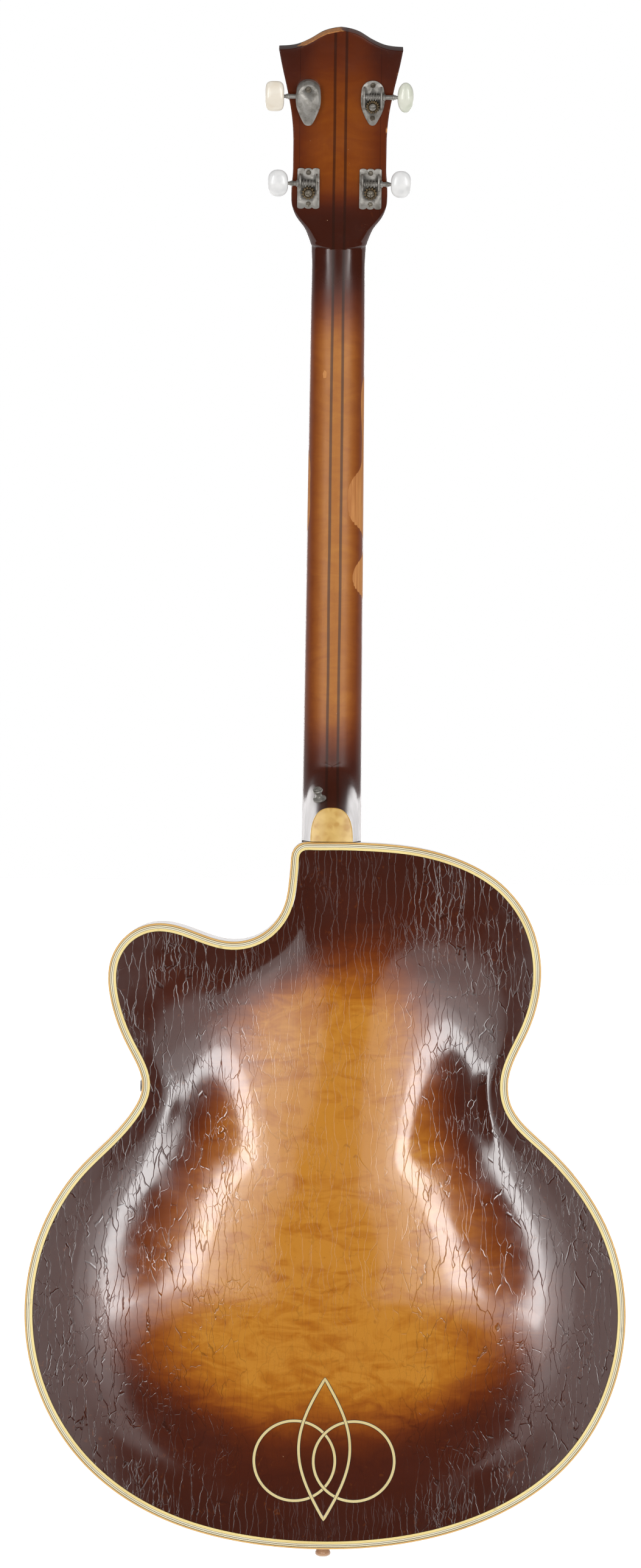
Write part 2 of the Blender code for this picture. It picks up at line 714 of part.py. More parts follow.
def make_tone_bars(inside):
    """Two long bars under the top, each fitted to the plate along its length."""
    for side, sign in (("treble", 1), ("bass", -1)):
        rings = []
        for share in np.linspace(0, 1, 9):
            x = sign * (TONE_BAR_TAIL[0] * (1 - share) + TONE_BAR_NECK[0] * share)
            z = TAIL_Z + TONE_BAR_TAIL[1] * (1 - share) + TONE_BAR_NECK[1] * share
            a = x - TONE_BAR_WIDTH / 2
            b = x + TONE_BAR_WIDTH / 2
            full = TONE_BAR_END_SHARE + (1 - TONE_BAR_END_SHARE) * math.sin(math.pi * share) ** 0.5
            depth = TONE_BAR_DEPTH * full
            near_a = level(inside, a, z) + TONE_BAR_GAP
            near_b = level(inside, b, z) + TONE_BAR_GAP
            far = max(near_a, near_b) + depth
            rings.append([(a, near_a, z), (b, near_b, z), (b, far, z), (a, far, z)])
        points, faces = skin(rings)
        build(f"tone_bar_{side}", points, faces, "spruce")


def cut_f_holes(top):
    """Each f-hole is a stem slot and two round eyes, cut through the top."""
    for side, sign in (("treble", 1), ("bass", -1)):
        stem = []
        for share in np.linspace(-1, 1, 9):
            x, z = f_hole_line(share)
            width = F_HOLE_WIDTH / 2 * (1 - 0.45 * abs(share) ** 1.5)
            stem.append((x, z, width))
        outline = [(sign * (x + w), z) for x, z, w in stem]
        outline += [(sign * (x - w), z) for x, z, w in stem[::-1]]
        slot = prism(f"f_stem_{side}", outline, -EDGE_Y - 2 * TOP_ARCH, 0.0,
                     lambda a, b, y: (a, y, b), "black")
        for end, turn in ((-1, 1), (1, -1)):
            x, z = f_hole_line(end)
            x = x + turn * -0.6 * F_HOLE_EYE
            eye = rod(f"f_eye_{side}_{end}", (sign * x, -EDGE_Y - 2 * TOP_ARCH, z),
                      (sign * x, 0.0, z), F_HOLE_EYE)
            join(slot, eye)
        cut(top, slot)


def f_hole_line(share):
    """The middle line of an f-hole: share runs from -1 at its foot to 1 at its head."""
    sway = F_HOLE_EYE * math.sin(share * math.pi)
    lean = 0.12 * F_HOLE_LENGTH * -share / 2
    return F_HOLE_PLACE[0] + lean + 0.5 * sway, F_HOLE_PLACE[1] + TAIL_Z + share * F_HOLE_LENGTH / 2


def ribbon_loops():
    """Middle lines of the ornament, in x and z: two round side loops and a tall pointed one."""
    loops = []
    for side in (1, -1):
        angles = np.arange(26) * 2 * math.pi / 26
        x = side * INLAY_LOOP_SPREAD + INLAY_LOOP_RADIUS * np.cos(angles)
        z = -INLAY_LOOP_DROP + INLAY_LOOP_RADIUS * np.sin(angles)
        loops.append(np.stack((x, z), axis=1))
    shares = np.linspace(0, 1, 9)[1:]
    height = -INLAY_POINT_DROP + (INLAY_POINT_RISE + INLAY_POINT_DROP) * shares
    width = INLAY_POINT_HALF * np.sin(math.pi * shares)
    right = np.stack((width, height), axis=1)
    left = np.stack((-width, height), axis=1)[::-1]
    foot = np.array([(0.0, -INLAY_POINT_DROP)])
    loops.append(np.concatenate((foot, right, left[1:])))
    return [loop + np.array((0.0, INLAY_UP + TAIL_Z)) for loop in loops]


def widened(loop, distance):
    """The loop moved sideways by a distance, with mitred corners."""
    after = np.roll(loop, -1, axis=0) - loop
    after = after / np.linalg.norm(after, axis=1)[:, None]
    before = np.roll(after, 1, axis=0)
    normal = np.stack((-after[:, 1] - before[:, 1], after[:, 0] + before[:, 0]), axis=1)
    normal = normal / np.linalg.norm(normal, axis=1)[:, None]
    side = np.stack((-after[:, 1], after[:, 0]), axis=1)
    stretch = 1 / np.maximum(0.5, np.einsum("ij,ij->i", normal, side))
    return loop + distance * normal * stretch[:, None]


def distance_to_loop(point, loop):
    """Least distance from a point to the loop's straight pieces."""
    after = np.roll(loop, -1, axis=0) - loop
    share = np.einsum("ij,ij->i", point - loop, after) / np.einsum("ij,ij->i", after, after)
    nearest = loop + np.clip(share, 0, 1)[:, None] * after
    return float(np.linalg.norm(nearest - point, axis=1).min())


def ribbon_solid(name, half, below, above, skin_tree, finish):
    """The ornament's lines as one solid that follows the back, from below its skin to above."""
    loops = ribbon_loops()
    corners = []
    edges = []
    for loop in loops:
        for side in (half, -half):
            start = len(corners)
            moved = widened(loop, side)
            corners.extend(Vector(p) for p in moved)
            count = len(moved)
            edges.extend((start + i, start + (i + 1) % count) for i in range(count))
    flat, _, triangles, _, _, _ = delaunay_2d_cdt(corners, edges, [], 0, 1e-6)
    kept = []
    for triangle in triangles:
        middle = np.mean([flat[i] for i in triangle], axis=0)
        if min(distance_to_loop(middle, loop) for loop in loops) < half * 0.98:
            kept.append(tuple(triangle))
    used = sorted({i for triangle in kept for i in triangle})
    number = {old: new for new, old in enumerate(used)}
    kept = [tuple(number[i] for i in triangle) for triangle in kept]
    places = [(flat[i][0], level(skin_tree, flat[i][0], flat[i][1]), flat[i][1]) for i in used]
    points = [(x, y - below, z) for x, y, z in places] + [(x, y + above, z) for x, y, z in places]
    sides = {}
    for triangle in kept:
        for a, b in zip(triangle, triangle[1:] + triangle[:1]):
            sides[(a, b)] = sides.get((b, a), 0) + 1
    count = len(used)
    faces = kept + [tuple(i + count for i in triangle[::-1]) for triangle in kept]
    borders = [(a, b) for (a, b) in sides if (b, a) not in sides]
    faces += [(b, a, a + count, b + count) for a, b in borders]
    return build(name, points, faces, finish)


def make_inlay(back, back_skin):
    """The ornament lies flush in a groove cut into the back."""
    half = INLAY_WIDTH / 2
    ribbon_solid("back_inlay", half, INLAY_DEPTH, 0.0, back_skin, "cream")
    groove = ribbon_solid("inlay_groove", half + GAP, INLAY_DEPTH + 1.5 * GAP, INLAY_DEPTH,
                          back_skin, "black")
    cut(back, groove)


def neck_half_width(s):
    return (NUT_WIDTH + (JOINT_WIDTH - NUT_WIDTH) * (NUT_S - s) / NUT_S) / 2


def section(half, flat_half, wall, deep, place):
    """One loop of the neck: a flat front, then a rounded back. place(x, h) makes a point."""
    turns = np.linspace(-math.pi / 2, math.pi / 2, COLUMNS)
    xs = half * np.sin(turns)
    front = [place(x, 0.0) for x in xs]
    back = []
    for x in xs[::-1]:
        out = max(0.0, (abs(x) - flat_half) / max(half - flat_half, 1e-6))
        round_share = max(0.0, 1 - min(1.0, out) ** 2.2) ** (1 / 2.2)
        back.append(place(x, wall + (deep - wall) * round_share))
    return front + back


def make_neck():
    """One piece of wood from the crown of the head to the joint, with heel and tenon."""
    base = BOARD_THICKNESS + GAP
    rings = []
    floor = JOINT_Z + GAP

    def at_joint(x, h):
        start = floor + GAP
        s = (start - JOINT_Z + (base + h) * math.sin(NECK_ANGLE)) / math.cos(NECK_ANGLE)
        return neck_point(x, s, base + h)

    rings.append(section(neck_half_width(0), 0.0, NECK_WALL, NECK_DEPTH_AT_JOINT, at_joint))
    for share in NECK_RING_SHARES:
        s = share * NUT_S
        deep = NECK_DEPTH_AT_JOINT + (NECK_DEPTH_AT_NUT - NECK_DEPTH_AT_JOINT) * share
        rings.append(section(neck_half_width(s), 0.0, NECK_WALL, deep,
                             lambda x, h: neck_point(x, s, base + h)))
    sides = np.array(HEAD_SIDE)
    flats = np.array(HEAD_FLAT_EDGE)
    crown = np.array(HEAD_CROWN)
    corner = HEAD_SIDE[-1][0]
    shoulder = HEAD_SIDE[-3][0] + GAP
    grow_low, grow_high = HEAD_GROWS
    for v in HEAD_RING_PLACES:
        half = float(np.interp(v, sides[:, 0], sides[:, 1]))
        flat = float(np.interp(v, flats[:, 0], flats[:, 1]))
        grown = min(1.0, max(0.0, (v - grow_low) / (grow_high - grow_low)))
        wall = NECK_WALL + (HEAD_THICKNESS - NECK_WALL) * grown**1.5
        lift = max(0.0, (v - shoulder) / (corner - shoulder))

        def on_head(x, h):
            rise = float(np.interp(abs(x), crown[:, 0], crown[:, 1])) - corner
            return head_point(x, v + lift * rise, h)

        rings.append(section(half, flat, wall, HEAD_THICKNESS, on_head))
    points, faces = skin(rings)
    faces.pop()
    last = (len(rings) - 1) * 2 * COLUMNS
    for i in range(COLUMNS - 1):
        opposite = 2 * COLUMNS - 1 - i
        faces.append((last + i, last + i + 1, last + opposite - 1, last + opposite))
    neck = build("neck", points, faces, "maple")
    tongue_low = base + GAP
    tongue_high = base + TONGUE_THICKNESS
    rings = []
    for s in (BOARD_END_S + GAP, TONGUE_START):
        half = TONGUE_WIDTH / 2
        corners = ((-half, tongue_low), (half, tongue_low), (half, tongue_high), (-half, tongue_high))
        rings.append([neck_point(x, s, h) for x, h in corners])
    points, faces = skin(rings)
    tongue = build("tongue", points, faces, "maple")
    tenon = box("tenon", (-TENON_WIDTH / 2, -RIM_Y + GAP, JOINT_Z - TENON_LENGTH),
                (TENON_WIDTH / 2, TENON_BACK, JOINT_Z + TENON_LENGTH / 2))
    heel, heel_tree = make_heel(floor)
    join(neck, heel, tongue, tenon)
    slot = box_on_neck("bar_slot", BAR_WIDTH / 2 + GAP, BAR_LOW - GAP, BAR_HIGH + GAP,
                       base - BAR_DEPTH, base + BAR_DEPTH + GAP, "black")
    cut(neck, slot)
    box_on_neck("neck_reinforcing_bar", BAR_WIDTH / 2, BAR_LOW, BAR_HIGH, base,
                base + BAR_DEPTH, "steel")
    return neck, heel_tree


def box_on_neck(name, half, low_s, high_s, low_h, high_h, finish):
    rings = []
    for s in (low_s, high_s):
        corners = ((-half, low_h), (half, low_h), (half, high_h), (-half, high_h))
        rings.append([neck_point(x, s, h) for x, h in corners])
    points, faces = skin(rings)
    return build(name, points, faces, finish)


def heel_loop(half, length, y, floor):
    """The heel's outline at one level: a rounded arch standing on the joint."""
    loop = []
    for angle in np.linspace(-math.pi / 2, math.pi / 2, 13):
        x = half * math.copysign(abs(math.sin(angle)) ** (2 / 2.6), angle)
        z = floor + length * abs(math.cos(angle)) ** (2 / 2.6)
        loop.append((x, y, z))
    return loop


def make_heel(floor):
    """The heel tapers from the neck to its cap at the level of the back's edge."""
    top_level = EDGE_Y - GAP
    face = -(EDGE_Y + BOARD_RISE)
    levels = [(face + share * (EDGE_Y - face), half, length) for share, half, length in HEEL_LEVELS]
    levels.append((top_level, HEEL_CAP_HALF, HEEL_CAP_LENGTH))
    rings = [heel_loop(half, length, y, floor) for y, half, length in levels]
    points, faces = skin(rings)
    heel = build("heel", points, faces, "maple")
    tree = BVHTree.FromPolygons([tuple(p) for p in points], faces)
    cap_rings = []
    for thick_share, share in ((0.0, 1.0), (0.7, 1.0), (1.0, 0.94)):
        rise = GAP + thick_share * HEEL_CAP_THICKNESS
        half = HEEL_CAP_HALF * share
        length = HEEL_CAP_LENGTH * (share + 1) / 2
        cap_rings.append(heel_loop(half, length, top_level + rise, floor))
    points, faces = skin(cap_rings)
    build("heel_cap", points, faces, "pearl")
    return heel, tree


def make_fingerboard():
    """The fingerboard with its frets: a crowned strip whose surface lifts at each fret."""
    stations = [(BOARD_END_S, 0.0)]
    for count in range(FRET_COUNT, 0, -1):
        s = NUT_S - fret_distance(count)
        for shift, lift in ((-0.5, 0.0), (-0.25, 1.0), (0.25, 1.0), (0.5, 0.0)):
            stations.append((s + shift * FRET_WIDTH, lift * FRET_HEIGHT))
    stations.append((NUT_S - GAP, 0.0))
    rings = []
    for s, lift in stations:
        half = neck_half_width(s)
        ring = []
        for share in (-1.0, 0.0, 1.0):
            ring.append(neck_point(share * half, s, BOARD_CROWN * share**2 - lift))
        ring.append(neck_point(half, s, BOARD_THICKNESS))
        ring.append(neck_point(-half, s, BOARD_THICKNESS))
        rings.append(ring)
    points, faces = skin(rings)
    build("fingerboard", points, faces, "rosewood")
    half = NUT_WIDTH / 2
    box_on_neck("nut", half, NUT_S, NUT_S + NUT_THICKNESS - GAP, -NUT_HEIGHT + BOARD_CROWN,
                BOARD_THICKNESS, "cream")


def make_veneer(neck):
    """The head's thin front facing, and the four bores for the posts through both."""
    outline = [(half, v) for v, half in HEAD_SIDE if v > 0.001]
    outline.insert(0, (HEAD_SIDE[0][1], 2 * GAP))
    crown = [(x, v) for x, v in HEAD_CROWN[::-1][1:]]
    right = outline + crown
    left = [(-x, v) for x, v in right[::-1] if x > 0]
    veneer = prism("head_veneer", right + left, -GAP - VENEER_THICKNESS, -GAP, head_point, "black")
    for name, side, (across, up), _ in tuners():
        start = head_point(side * across, up, -2 * VENEER_THICKNESS)
        end = head_point(side * across, up, HEAD_THICKNESS + GAP)
        drill = rod(f"post_drill_{name}", start, end, POST_RADIUS + BORE_GAP)
        cut(veneer, drill)
        cut(neck, drill)


def tuners():
    """Name, side, post place and kind of each tuner."""
    return (
        ("upper_treble", 1, UPPER_POST_PLACE, "covered"),
        ("upper_bass", -1, UPPER_POST_PLACE, "teardrop"),
        ("lower_treble", 1, LOWER_POST_PLACE, "scalloped"),
        ("lower_bass", -1, LOWER_POST_PLACE, "scalloped"),
    )


# Each kind: teeth, thread pitch, distance from post to worm, plate lengths up and down from
# the post, plate half width, ear place across, ear span along, and button sizes
KINDS = {
    "teardrop": {
        "teeth": 16, "pitch": 0.00185, "centre": 0.0072, "tooth": 0.00075,
        "plate": (0.0189, 0.0147, 0.0085), "ear": (0.0064, -0.0020, 0.0145),
        "button_start": 0.0184, "button": (0.0118, 0.0113, 0.0040), "button_shape": 2.0,
    },
    "covered": {
        "teeth": 16, "pitch": 0.00185, "centre": 0.0072, "tooth": 0.00075,
        "plate": (0.0180, 0.0128, 0.0077), "ear": (0.0064, 0.0008, 0.0140),
        "button_start": 0.0180, "button": (0.0139, 0.0113, 0.0042), "button_shape": 3.4,
    },
    "scalloped": {
        "teeth": 12, "pitch": 0.0024, "centre": 0.0071, "tooth": 0.00095,
        "plate": (0.0180, 0.0128, 0.0083), "ear": (0.0061, 0.0017, 0.0139),
        "button_start": 0.0152, "button": (0.0149, 0.0102, 0.0040), "button_shape": 2.3,
    },
}


def tuner_frame(side, place, up=0.0, out=0.0):
    """A frame on the head's back over a post. Its x runs from treble to bass, its y up the
    head and its z out of the back."""
    across, along = place
    origin = head_point(side * across, along + up, HEAD_THICKNESS + out)
    return axes(origin, (-1.0, 0.0, 0.0), HEAD_UP, HEAD_OUT)


def plate_outline(kind, lengths):
    """The tuner plate's outline in its own x and y."""
    up, down, half = lengths
    outline = []
    if kind == "scalloped":
        lobe = half / 3
        for sign, end in ((1, up), (-1, -down)):
            for k in (1, 0, -1):
                for angle in (20, 65, 115, 160):
                    turn = math.radians(angle)
                    x = sign * (k * 2 * lobe + lobe * math.cos(turn))
                    y = end - sign * lobe * 0.55 + sign * lobe * 0.55 * math.sin(turn)
                    outline.append((x, y))
        return outline
    for k in range(9):
        angle = math.radians(k * 180 / 8)
        outline.append((half * math.cos(angle), up - half + half * math.sin(angle)))
    outline.append((-half, 0.0))
    foot = 0.42 * half
    for k in range(5):
        angle = math.radians(200 + k * 35)
        outline.append((foot * math.cos(angle), foot - down + foot * math.sin(angle)))
    outline.append((half, 0.0))
    return outline


def make_tuner_plate(name, side, place, kind, sizes):
    """The base plate with two ears that carry the worm shaft."""
    outline = plate_outline(kind, sizes["plate"])
    frame = tuner_frame(side, place)
    low = GAP
    high = GAP + TUNER_PLATE_THICKNESS
    base = prism(f"tuner_plate_{name}", outline, low, high, lambda x, y, z: (x, y, z), "nickel", frame)
    across, ear_low, ear_high = sizes["ear"]
    for sign, label in ((1, "in"), (-1, "out")):
        x = sign * across
        half = EAR_THICKNESS / 2
        middle = (ear_low + ear_high) / 2
        span = (ear_high - ear_low) / 2
        rings = []
        for edge_x in (x - half, x + half):
            ring = [(edge_x, ear_low, (low + high) / 2), (edge_x, ear_high, (low + high) / 2)]
            for angle in (20, 60, 90, 120, 160):
                turn = math.radians(angle)
                y = middle + span * math.cos(turn)
                z = EAR_HEIGHT - span * 0.5 * (1 - math.sin(turn))
                ring.append((edge_x, y, z))
            rings.append(ring)
        points, faces = skin(rings)
        join(base, build(f"ear_{label}_{name}", points, faces, "nickel", frame))
    worm_frame = tuner_frame(side, place, sizes["centre"], WORM_HEIGHT)
    reach = Vector((across + EAR_THICKNESS, 0.0, 0.0))
    drill = rod(f"ear_drill_{name}", worm_frame @ -reach, worm_frame @ reach,
                JOURNAL_RADIUS + BORE_GAP, sides=10)
    past = 2 * TUNER_PLATE_THICKNESS
    post_drill = rod(f"plate_drill_{name}", frame @ Vector((0, 0, -past)),
                     frame @ Vector((0, 0, past)), POST_RADIUS + BORE_GAP)
    cut(base, drill, post_drill)
    return base


def make_worm(name, side, place, sizes):
    """The worm shaft: core, thread, journals in the ears, collar and stem to the button."""
    frame = tuner_frame(side, place, sizes["centre"], WORM_HEIGHT)
    outward = -side
    across = sizes["ear"][0]
    inside = across - EAR_THICKNESS / 2 - GAP
    outside = across + EAR_THICKNESS / 2 + GAP
    start = sizes["button_start"]
    deep = start + sizes["button"][0] * BUTTON_BORE_SHARE
    profile = (
        (JOURNAL_RADIUS, -outside - SHAFT_END_PROUD), (JOURNAL_RADIUS, -inside),
        (CORE_RADIUS, -inside), (CORE_RADIUS, inside), (JOURNAL_RADIUS, inside),
        (JOURNAL_RADIUS, outside), (COLLAR_RADIUS, outside), (COLLAR_RADIUS, outside + COLLAR_LENGTH),
        (STEM_RADIUS, outside + COLLAR_LENGTH), (STEM_RADIUS, start - SHAFT_NECK),
        (JOURNAL_RADIUS, start - SHAFT_NECK), (JOURNAL_RADIUS, deep),
    )
    rings = []
    for radius, x in profile:
        ring = []
        for k in range(SHAFT_SIDES):
            angle = k * 2 * math.pi / SHAFT_SIDES
            ring.append((outward * x, radius * math.cos(angle), radius * math.sin(angle)))
        rings.append(ring)
    points, faces = skin(rings)
    shaft = build(f"worm_shaft_{name}", points, faces, "nickel", frame)
    join(shaft, worm_thread(f"thread_{name}", sizes, frame))
    return shaft


def worm_thread(name, sizes, frame):
    """A trapezium swept along a helix. It faces the gear, below the shaft, at x = 0 at rest."""
    pitch = sizes["pitch"]
    tooth = sizes["tooth"]
    root = CORE_RADIUS - THREAD_SUNK
    middle = sizes["centre"] - gear_radius(sizes)
    turns = 2 * THREAD_HALF_LENGTH / pitch
    steps = math.ceil(turns * THREAD_STEPS)
    rings = []
    for k in range(steps + 1):
        turn = (k / steps - 0.5) * turns * 2 * math.pi
        x = pitch * turn / (2 * math.pi)
        ring = []
        for radius, sign in ((root, -1), (WORM_RADIUS, -1), (WORM_RADIUS, 1), (root, 1)):
            half = tooth / 2 - THREAD_SLOPE * (radius - middle)
            ring.append((x + sign * half, -radius * math.cos(turn), radius * math.sin(turn)))
        rings.append(ring)
    points, faces = skin(rings)
    return build(name, points, faces, "nickel", frame)


def gear_radius(sizes):
    """Pitch radius: the teeth's pitch round the gear is the thread's pitch."""
    return sizes["teeth"] * sizes["pitch"] / (2 * math.pi)


def make_gear(name, side, place, sizes):
    """The gear on the post. Its teeth lean to follow the thread, with a gap facing the worm."""
    pitch_radius = gear_radius(sizes)
    outer = sizes["centre"] - CORE_RADIUS - MESH_GAP_AT_CORE
    root = sizes["centre"] - WORM_RADIUS - MESH_GAP_AT_TIP
    worm_middle = sizes["centre"] - pitch_radius
    lean = sizes["pitch"] / (2 * math.pi * worm_middle) / pitch_radius
    teeth = sizes["teeth"]
    rings = []
    for z in (-GEAR_THICKNESS / 2, GEAR_THICKNESS / 2):
        ring = []
        for k in range(teeth):
            middle = math.pi / 2 + (k + 0.5) * 2 * math.pi / teeth - z * lean
            for radius, sign in ((root, -1), (outer, -1), (outer, 1), (root, 1)):
                half = sizes["tooth"] / 2 - TOOTH_SLOPE * (radius - pitch_radius)
                angle = middle + sign * half / radius
                ring.append((radius * math.cos(angle), radius * math.sin(angle), z))
        rings.append(ring)
    points, faces = skin(rings)
    frame = tuner_frame(side, place, 0.0, WORM_HEIGHT)
    gear = build(f"tuner_gear_{name}", points, faces, "brass", frame)
    head = [(radius, GEAR_THICKNESS / 2 + z) for radius, z in GEAR_SCREW]
    join(gear, turned(f"gear_screw_{name}", head, "nickel", frame, 10))
    return gear


def make_post(name, side, place):
    """The string post, through the head, with a cross hole near its end."""
    frame = tuner_frame(side, place)
    top = WORM_HEIGHT - GEAR_THICKNESS / 2 - GAP
    bottom = -HEAD_THICKNESS - POST_REACH
    waist = bottom + POST_WAIST_UP + POST_WAIST_HALF
    chamfer_in, chamfer_up = POST_CHAMFER
    profile = ((POST_RADIUS, top), (POST_RADIUS, waist + POST_WAIST_HALF),
               (POST_RADIUS - POST_WAIST_DEPTH, waist), (POST_RADIUS, bottom + chamfer_up),
               (POST_RADIUS - chamfer_in, bottom))
    post = turned(f"tuner_post_{name}", profile, "nickel", frame)
    past = 2 * POST_RADIUS
    hole_z = bottom + STRING_HOLE_UP
    hole = rod(f"string_hole_{name}", frame @ Vector((0, -past, hole_z)),
               frame @ Vector((0, past, hole_z)), STRING_HOLE_RADIUS, sides=6)
    cut(post, hole)
    return post


def make_button(name, side, place, sizes):
    """A flat rounded grip with a bore that the shaft ends in."""
    frame = tuner_frame(side, place, sizes["centre"], WORM_HEIGHT)
    outward = -side
    length, half_tall, half_thick = sizes["button"]
    start = sizes["button_start"]
    power = sizes["button_shape"]
    rings = []
    for share in (-0.94, -0.75, -0.4, 0.0, 0.4, 0.75, 0.94):
        size = (1 - abs(share) ** power) ** (1 / power)
        x = start + length / 2 * (1 + share / 0.94)
        ring = []
        for k in range(12):
            angle = k * 2 * math.pi / 12
            y = half_tall * size * math.cos(angle)
            z = half_thick * (0.4 + 0.6 * size) * math.sin(angle)
            ring.append((outward * x, y, z))
        rings.append(ring)
    points, faces = skin(rings)
    button = build(f"tuner_button_{name}", points, faces, "pearl", frame)
    low = frame @ Vector((outward * (start - BORE_GAP), 0, 0))
    high = frame @ Vector((outward * (start + length * BUTTON_BORE_SHARE + GAP), 0, 0))
    cut(button, rod(f"button_drill_{name}", low, high, JOURNAL_RADIUS + BORE_GAP, sides=10))
    return button


def cover_outline(grow):
    """The cover's outline: a round top and sides that taper to a narrow round foot."""
    up, down = COVER_LENGTHS
    half = COVER_HALF_WIDTH + grow
    outline = []
    for k in range(9):
        angle = math.radians(k * 180 / 8)
        outline.append((half * math.cos(angle), up - COVER_HALF_WIDTH + half * math.sin(angle)))
    side_share, side_y = COVER_SIDE
    taper_share, taper_y = COVER_TAPER
    outline.append((-half * side_share, side_y))
    outline.append((-half * taper_share, taper_y))
    foot = COVER_FOOT + grow
    for k in range(5):
        angle = math.radians(200 + k * 35)
        outline.append((foot * math.cos(angle), COVER_FOOT - down + foot * math.sin(angle)))
    outline.append((half * taper_share, taper_y))
    outline.append((half * side_share, side_y))
    return outline


def make_cover(side, place):
    """The pressed cover over one tuner, open below, with a notch for the shaft."""
    frame = tuner_frame(side, place)
    top = COVER_HEIGHT
    middle = (COVER_LENGTHS[0] - COVER_LENGTHS[1]) / 2

    def facet(grow, z):
        share = COVER_FACET
        return [(x * share, middle + (y - middle) * share, z) for x, y in cover_outline(grow)]

    shoulder = top - COVER_BEVEL
    wall = COVER_WALL
    rings = [
        [(x, y, GAP) for x, y in cover_outline(-wall)],
        [(x, y, shoulder - wall) for x, y in cover_outline(-wall)],
        facet(-wall, top - wall),
    ]
    outer = [
        facet(0.0, top),
        [(x, y, shoulder) for x, y in cover_outline(0.0)],
        [(x, y, GAP) for x, y in cover_outline(0.0)],
    ]
    count = len(rings[0])
    points, faces = skin(rings + outer, closed=True)
    band = 2 * count
    kept = [face for face in faces if not (min(face) >= band and max(face) < band + 2 * count)]
    kept.append(tuple(range(band, band + count)))
    kept.append(tuple(range(band + count, band + 2 * count)))
    cover = build("tuner_cover", points, kept, "nickel", frame)
    centre = KINDS["covered"]["centre"]
    room = COLLAR_RADIUS + BORE_GAP
    ends = sorted(-side * x for x in COVER_NOTCH)
    notch = box("cover_notch", (ends[0], centre - room, -wall),
                (ends[1], centre + room, WORM_HEIGHT + room), matrix=frame)
    cut(cover, notch)
    hole = rod("cover_screw_drill", frame @ Vector((0, COVER_SCREW_UP, top / 2)),
               frame @ Vector((0, COVER_SCREW_UP, top * 1.5)), SCREW_SHANK + BORE_GAP, sides=10)
    cut(cover, hole)
    return frame


def make_screw(name, matrix, head_radius, head_height, length, finish="nickel", shank=SCREW_SHANK):
    """A slotted screw: its frame's z points out of the head, and its seat is at z = 0."""
    profile = ((shank * 0.6, -length), (shank, -length + SCREW_POINT), (shank, 0.0),
               (head_radius, 0.0), (head_radius, head_height * 0.45), (head_radius * 0.6, head_height))
    screw = turned(name, profile, finish, matrix, 10)
    low = (-head_radius, -SLOT_HALF, head_height * 0.5)
    high = (head_radius, SLOT_HALF, head_height * 1.5)
    cut(screw, box(f"{name}_slot", low, high, matrix=matrix))
    return screw


def make_tuners(neck):
    for name, side, place, kind in tuners():
        sizes = KINDS[kind]
        base = make_tuner_plate(name, side, place, kind, sizes)
        make_worm(name, side, place, sizes)
        make_gear(name, side, place, sizes)
        make_post(name, side, place)
        make_button(name, side, place, sizes)
        if kind == "covered":
            frame = make_cover(side, place)
            seat = frame @ Matrix.Translation((0.0, COVER_SCREW_UP, COVER_HEIGHT + GAP))
            depth = COVER_HEIGHT + COVER_SCREW_DEPTH
            make_screw("tuner_cover_screw", seat, 0.0021, 0.0010, depth)
            drill = rod("cover_screw_bore", seat @ Vector((0, 0, -depth - GAP)),
                        seat @ Vector((0, 0, 0)), SCREW_SHANK + BORE_GAP, sides=10)
            cut(neck, drill)
            cut(base, drill)


def string_xs():
    """Each string's x at the nut and at the bridge, from bass to treble."""
    return [((k - 1.5) * NUT_SPACING, (k - 1.5) * BRIDGE_SPACING) for k in range(4)]


def saddle_contact(index):
    """The middle of a string over the saddle."""
    radius = STRING_DIAMETERS[index] / 2
    x = string_xs()[index][1]
    return neck_point(x, BRIDGE_S, -BRIDGE_ACTION - radius)


def make_strings():
    """Each string runs from the tailpiece over saddle and nut, then winds down its post."""
    posts = (
        (-1, LOWER_POST_PLACE), (-1, UPPER_POST_PLACE), (1, UPPER_POST_PLACE), (1, LOWER_POST_PLACE),
    )
    names = ("string_e", "string_a", "string_d", "string_g")
    bar_top = TAILPIECE_BAR[3] + TAIL_Z
    bar_middle = -(TAILPIECE_BAR[0] + TAILPIECE_BAR[1]) / 2
    for index, (name, (side, place)) in enumerate(zip(names, posts)):
        diameter = STRING_DIAMETERS[index]
        radius = diameter / 2
        nut_x, bridge_x = string_xs()[index]
        tail = np.array((bridge_x, bar_middle, bar_top + GAP))
        saddle = saddle_contact(index)
        over_nut = -NUT_HEIGHT + BOARD_CROWN - GAP - radius
        route = [tail, saddle + np.array(BEFORE_SADDLE), saddle + np.array(AFTER_SADDLE)]
        route.append(neck_point(nut_x, NUT_S - BEFORE_NUT, over_nut))
        route.append(neck_point(nut_x, NUT_S + NUT_THICKNESS * 0.7, over_nut))
        wind = POST_RADIUS + BORE_GAP + radius
        across, up = place
        away = np.array((side * nut_x, -BEFORE_NUT))
        start_h = -WRAP_HEIGHT
        towards = np.array((across - wind, up)) - away
        towards = towards / np.linalg.norm(towards)
        first = math.atan2(towards[0], -towards[1])
        fall = diameter + WRAP_GAP
        winding = []
        count = int(WRAP_TURNS * 12)
        for k in range(count + 1):
            angle = first - k * 2 * math.pi / 12
            x = across + wind * math.cos(angle)
            v = up + wind * math.sin(angle)
            h = start_h + fall * max(0.0, k - 2) / 12
            winding.append(head_point(side * x, v, h))
        print(f"{name}: least gap between turns {fall - diameter:.5f} m")
        curve = bpy.data.curves.new(name, "CURVE")
        curve.dimensions = "3D"
        curve.bevel_depth = radius
        curve.bevel_resolution = 1
        curve.use_fill_caps = True
        curve.twist_mode = "MINIMUM"
        spline = curve.splines.new("POLY")
        points = route + winding
        spline.points.add(len(points) - 1)
        for target, point in zip(spline.points, points):
            target.co = (point[0], point[1], point[2], 1.0)
        curve.materials.append(material("steel"))
        made = bpy.data.objects.new(name, curve)
        bpy.context.scene.collection.objects.link(made)


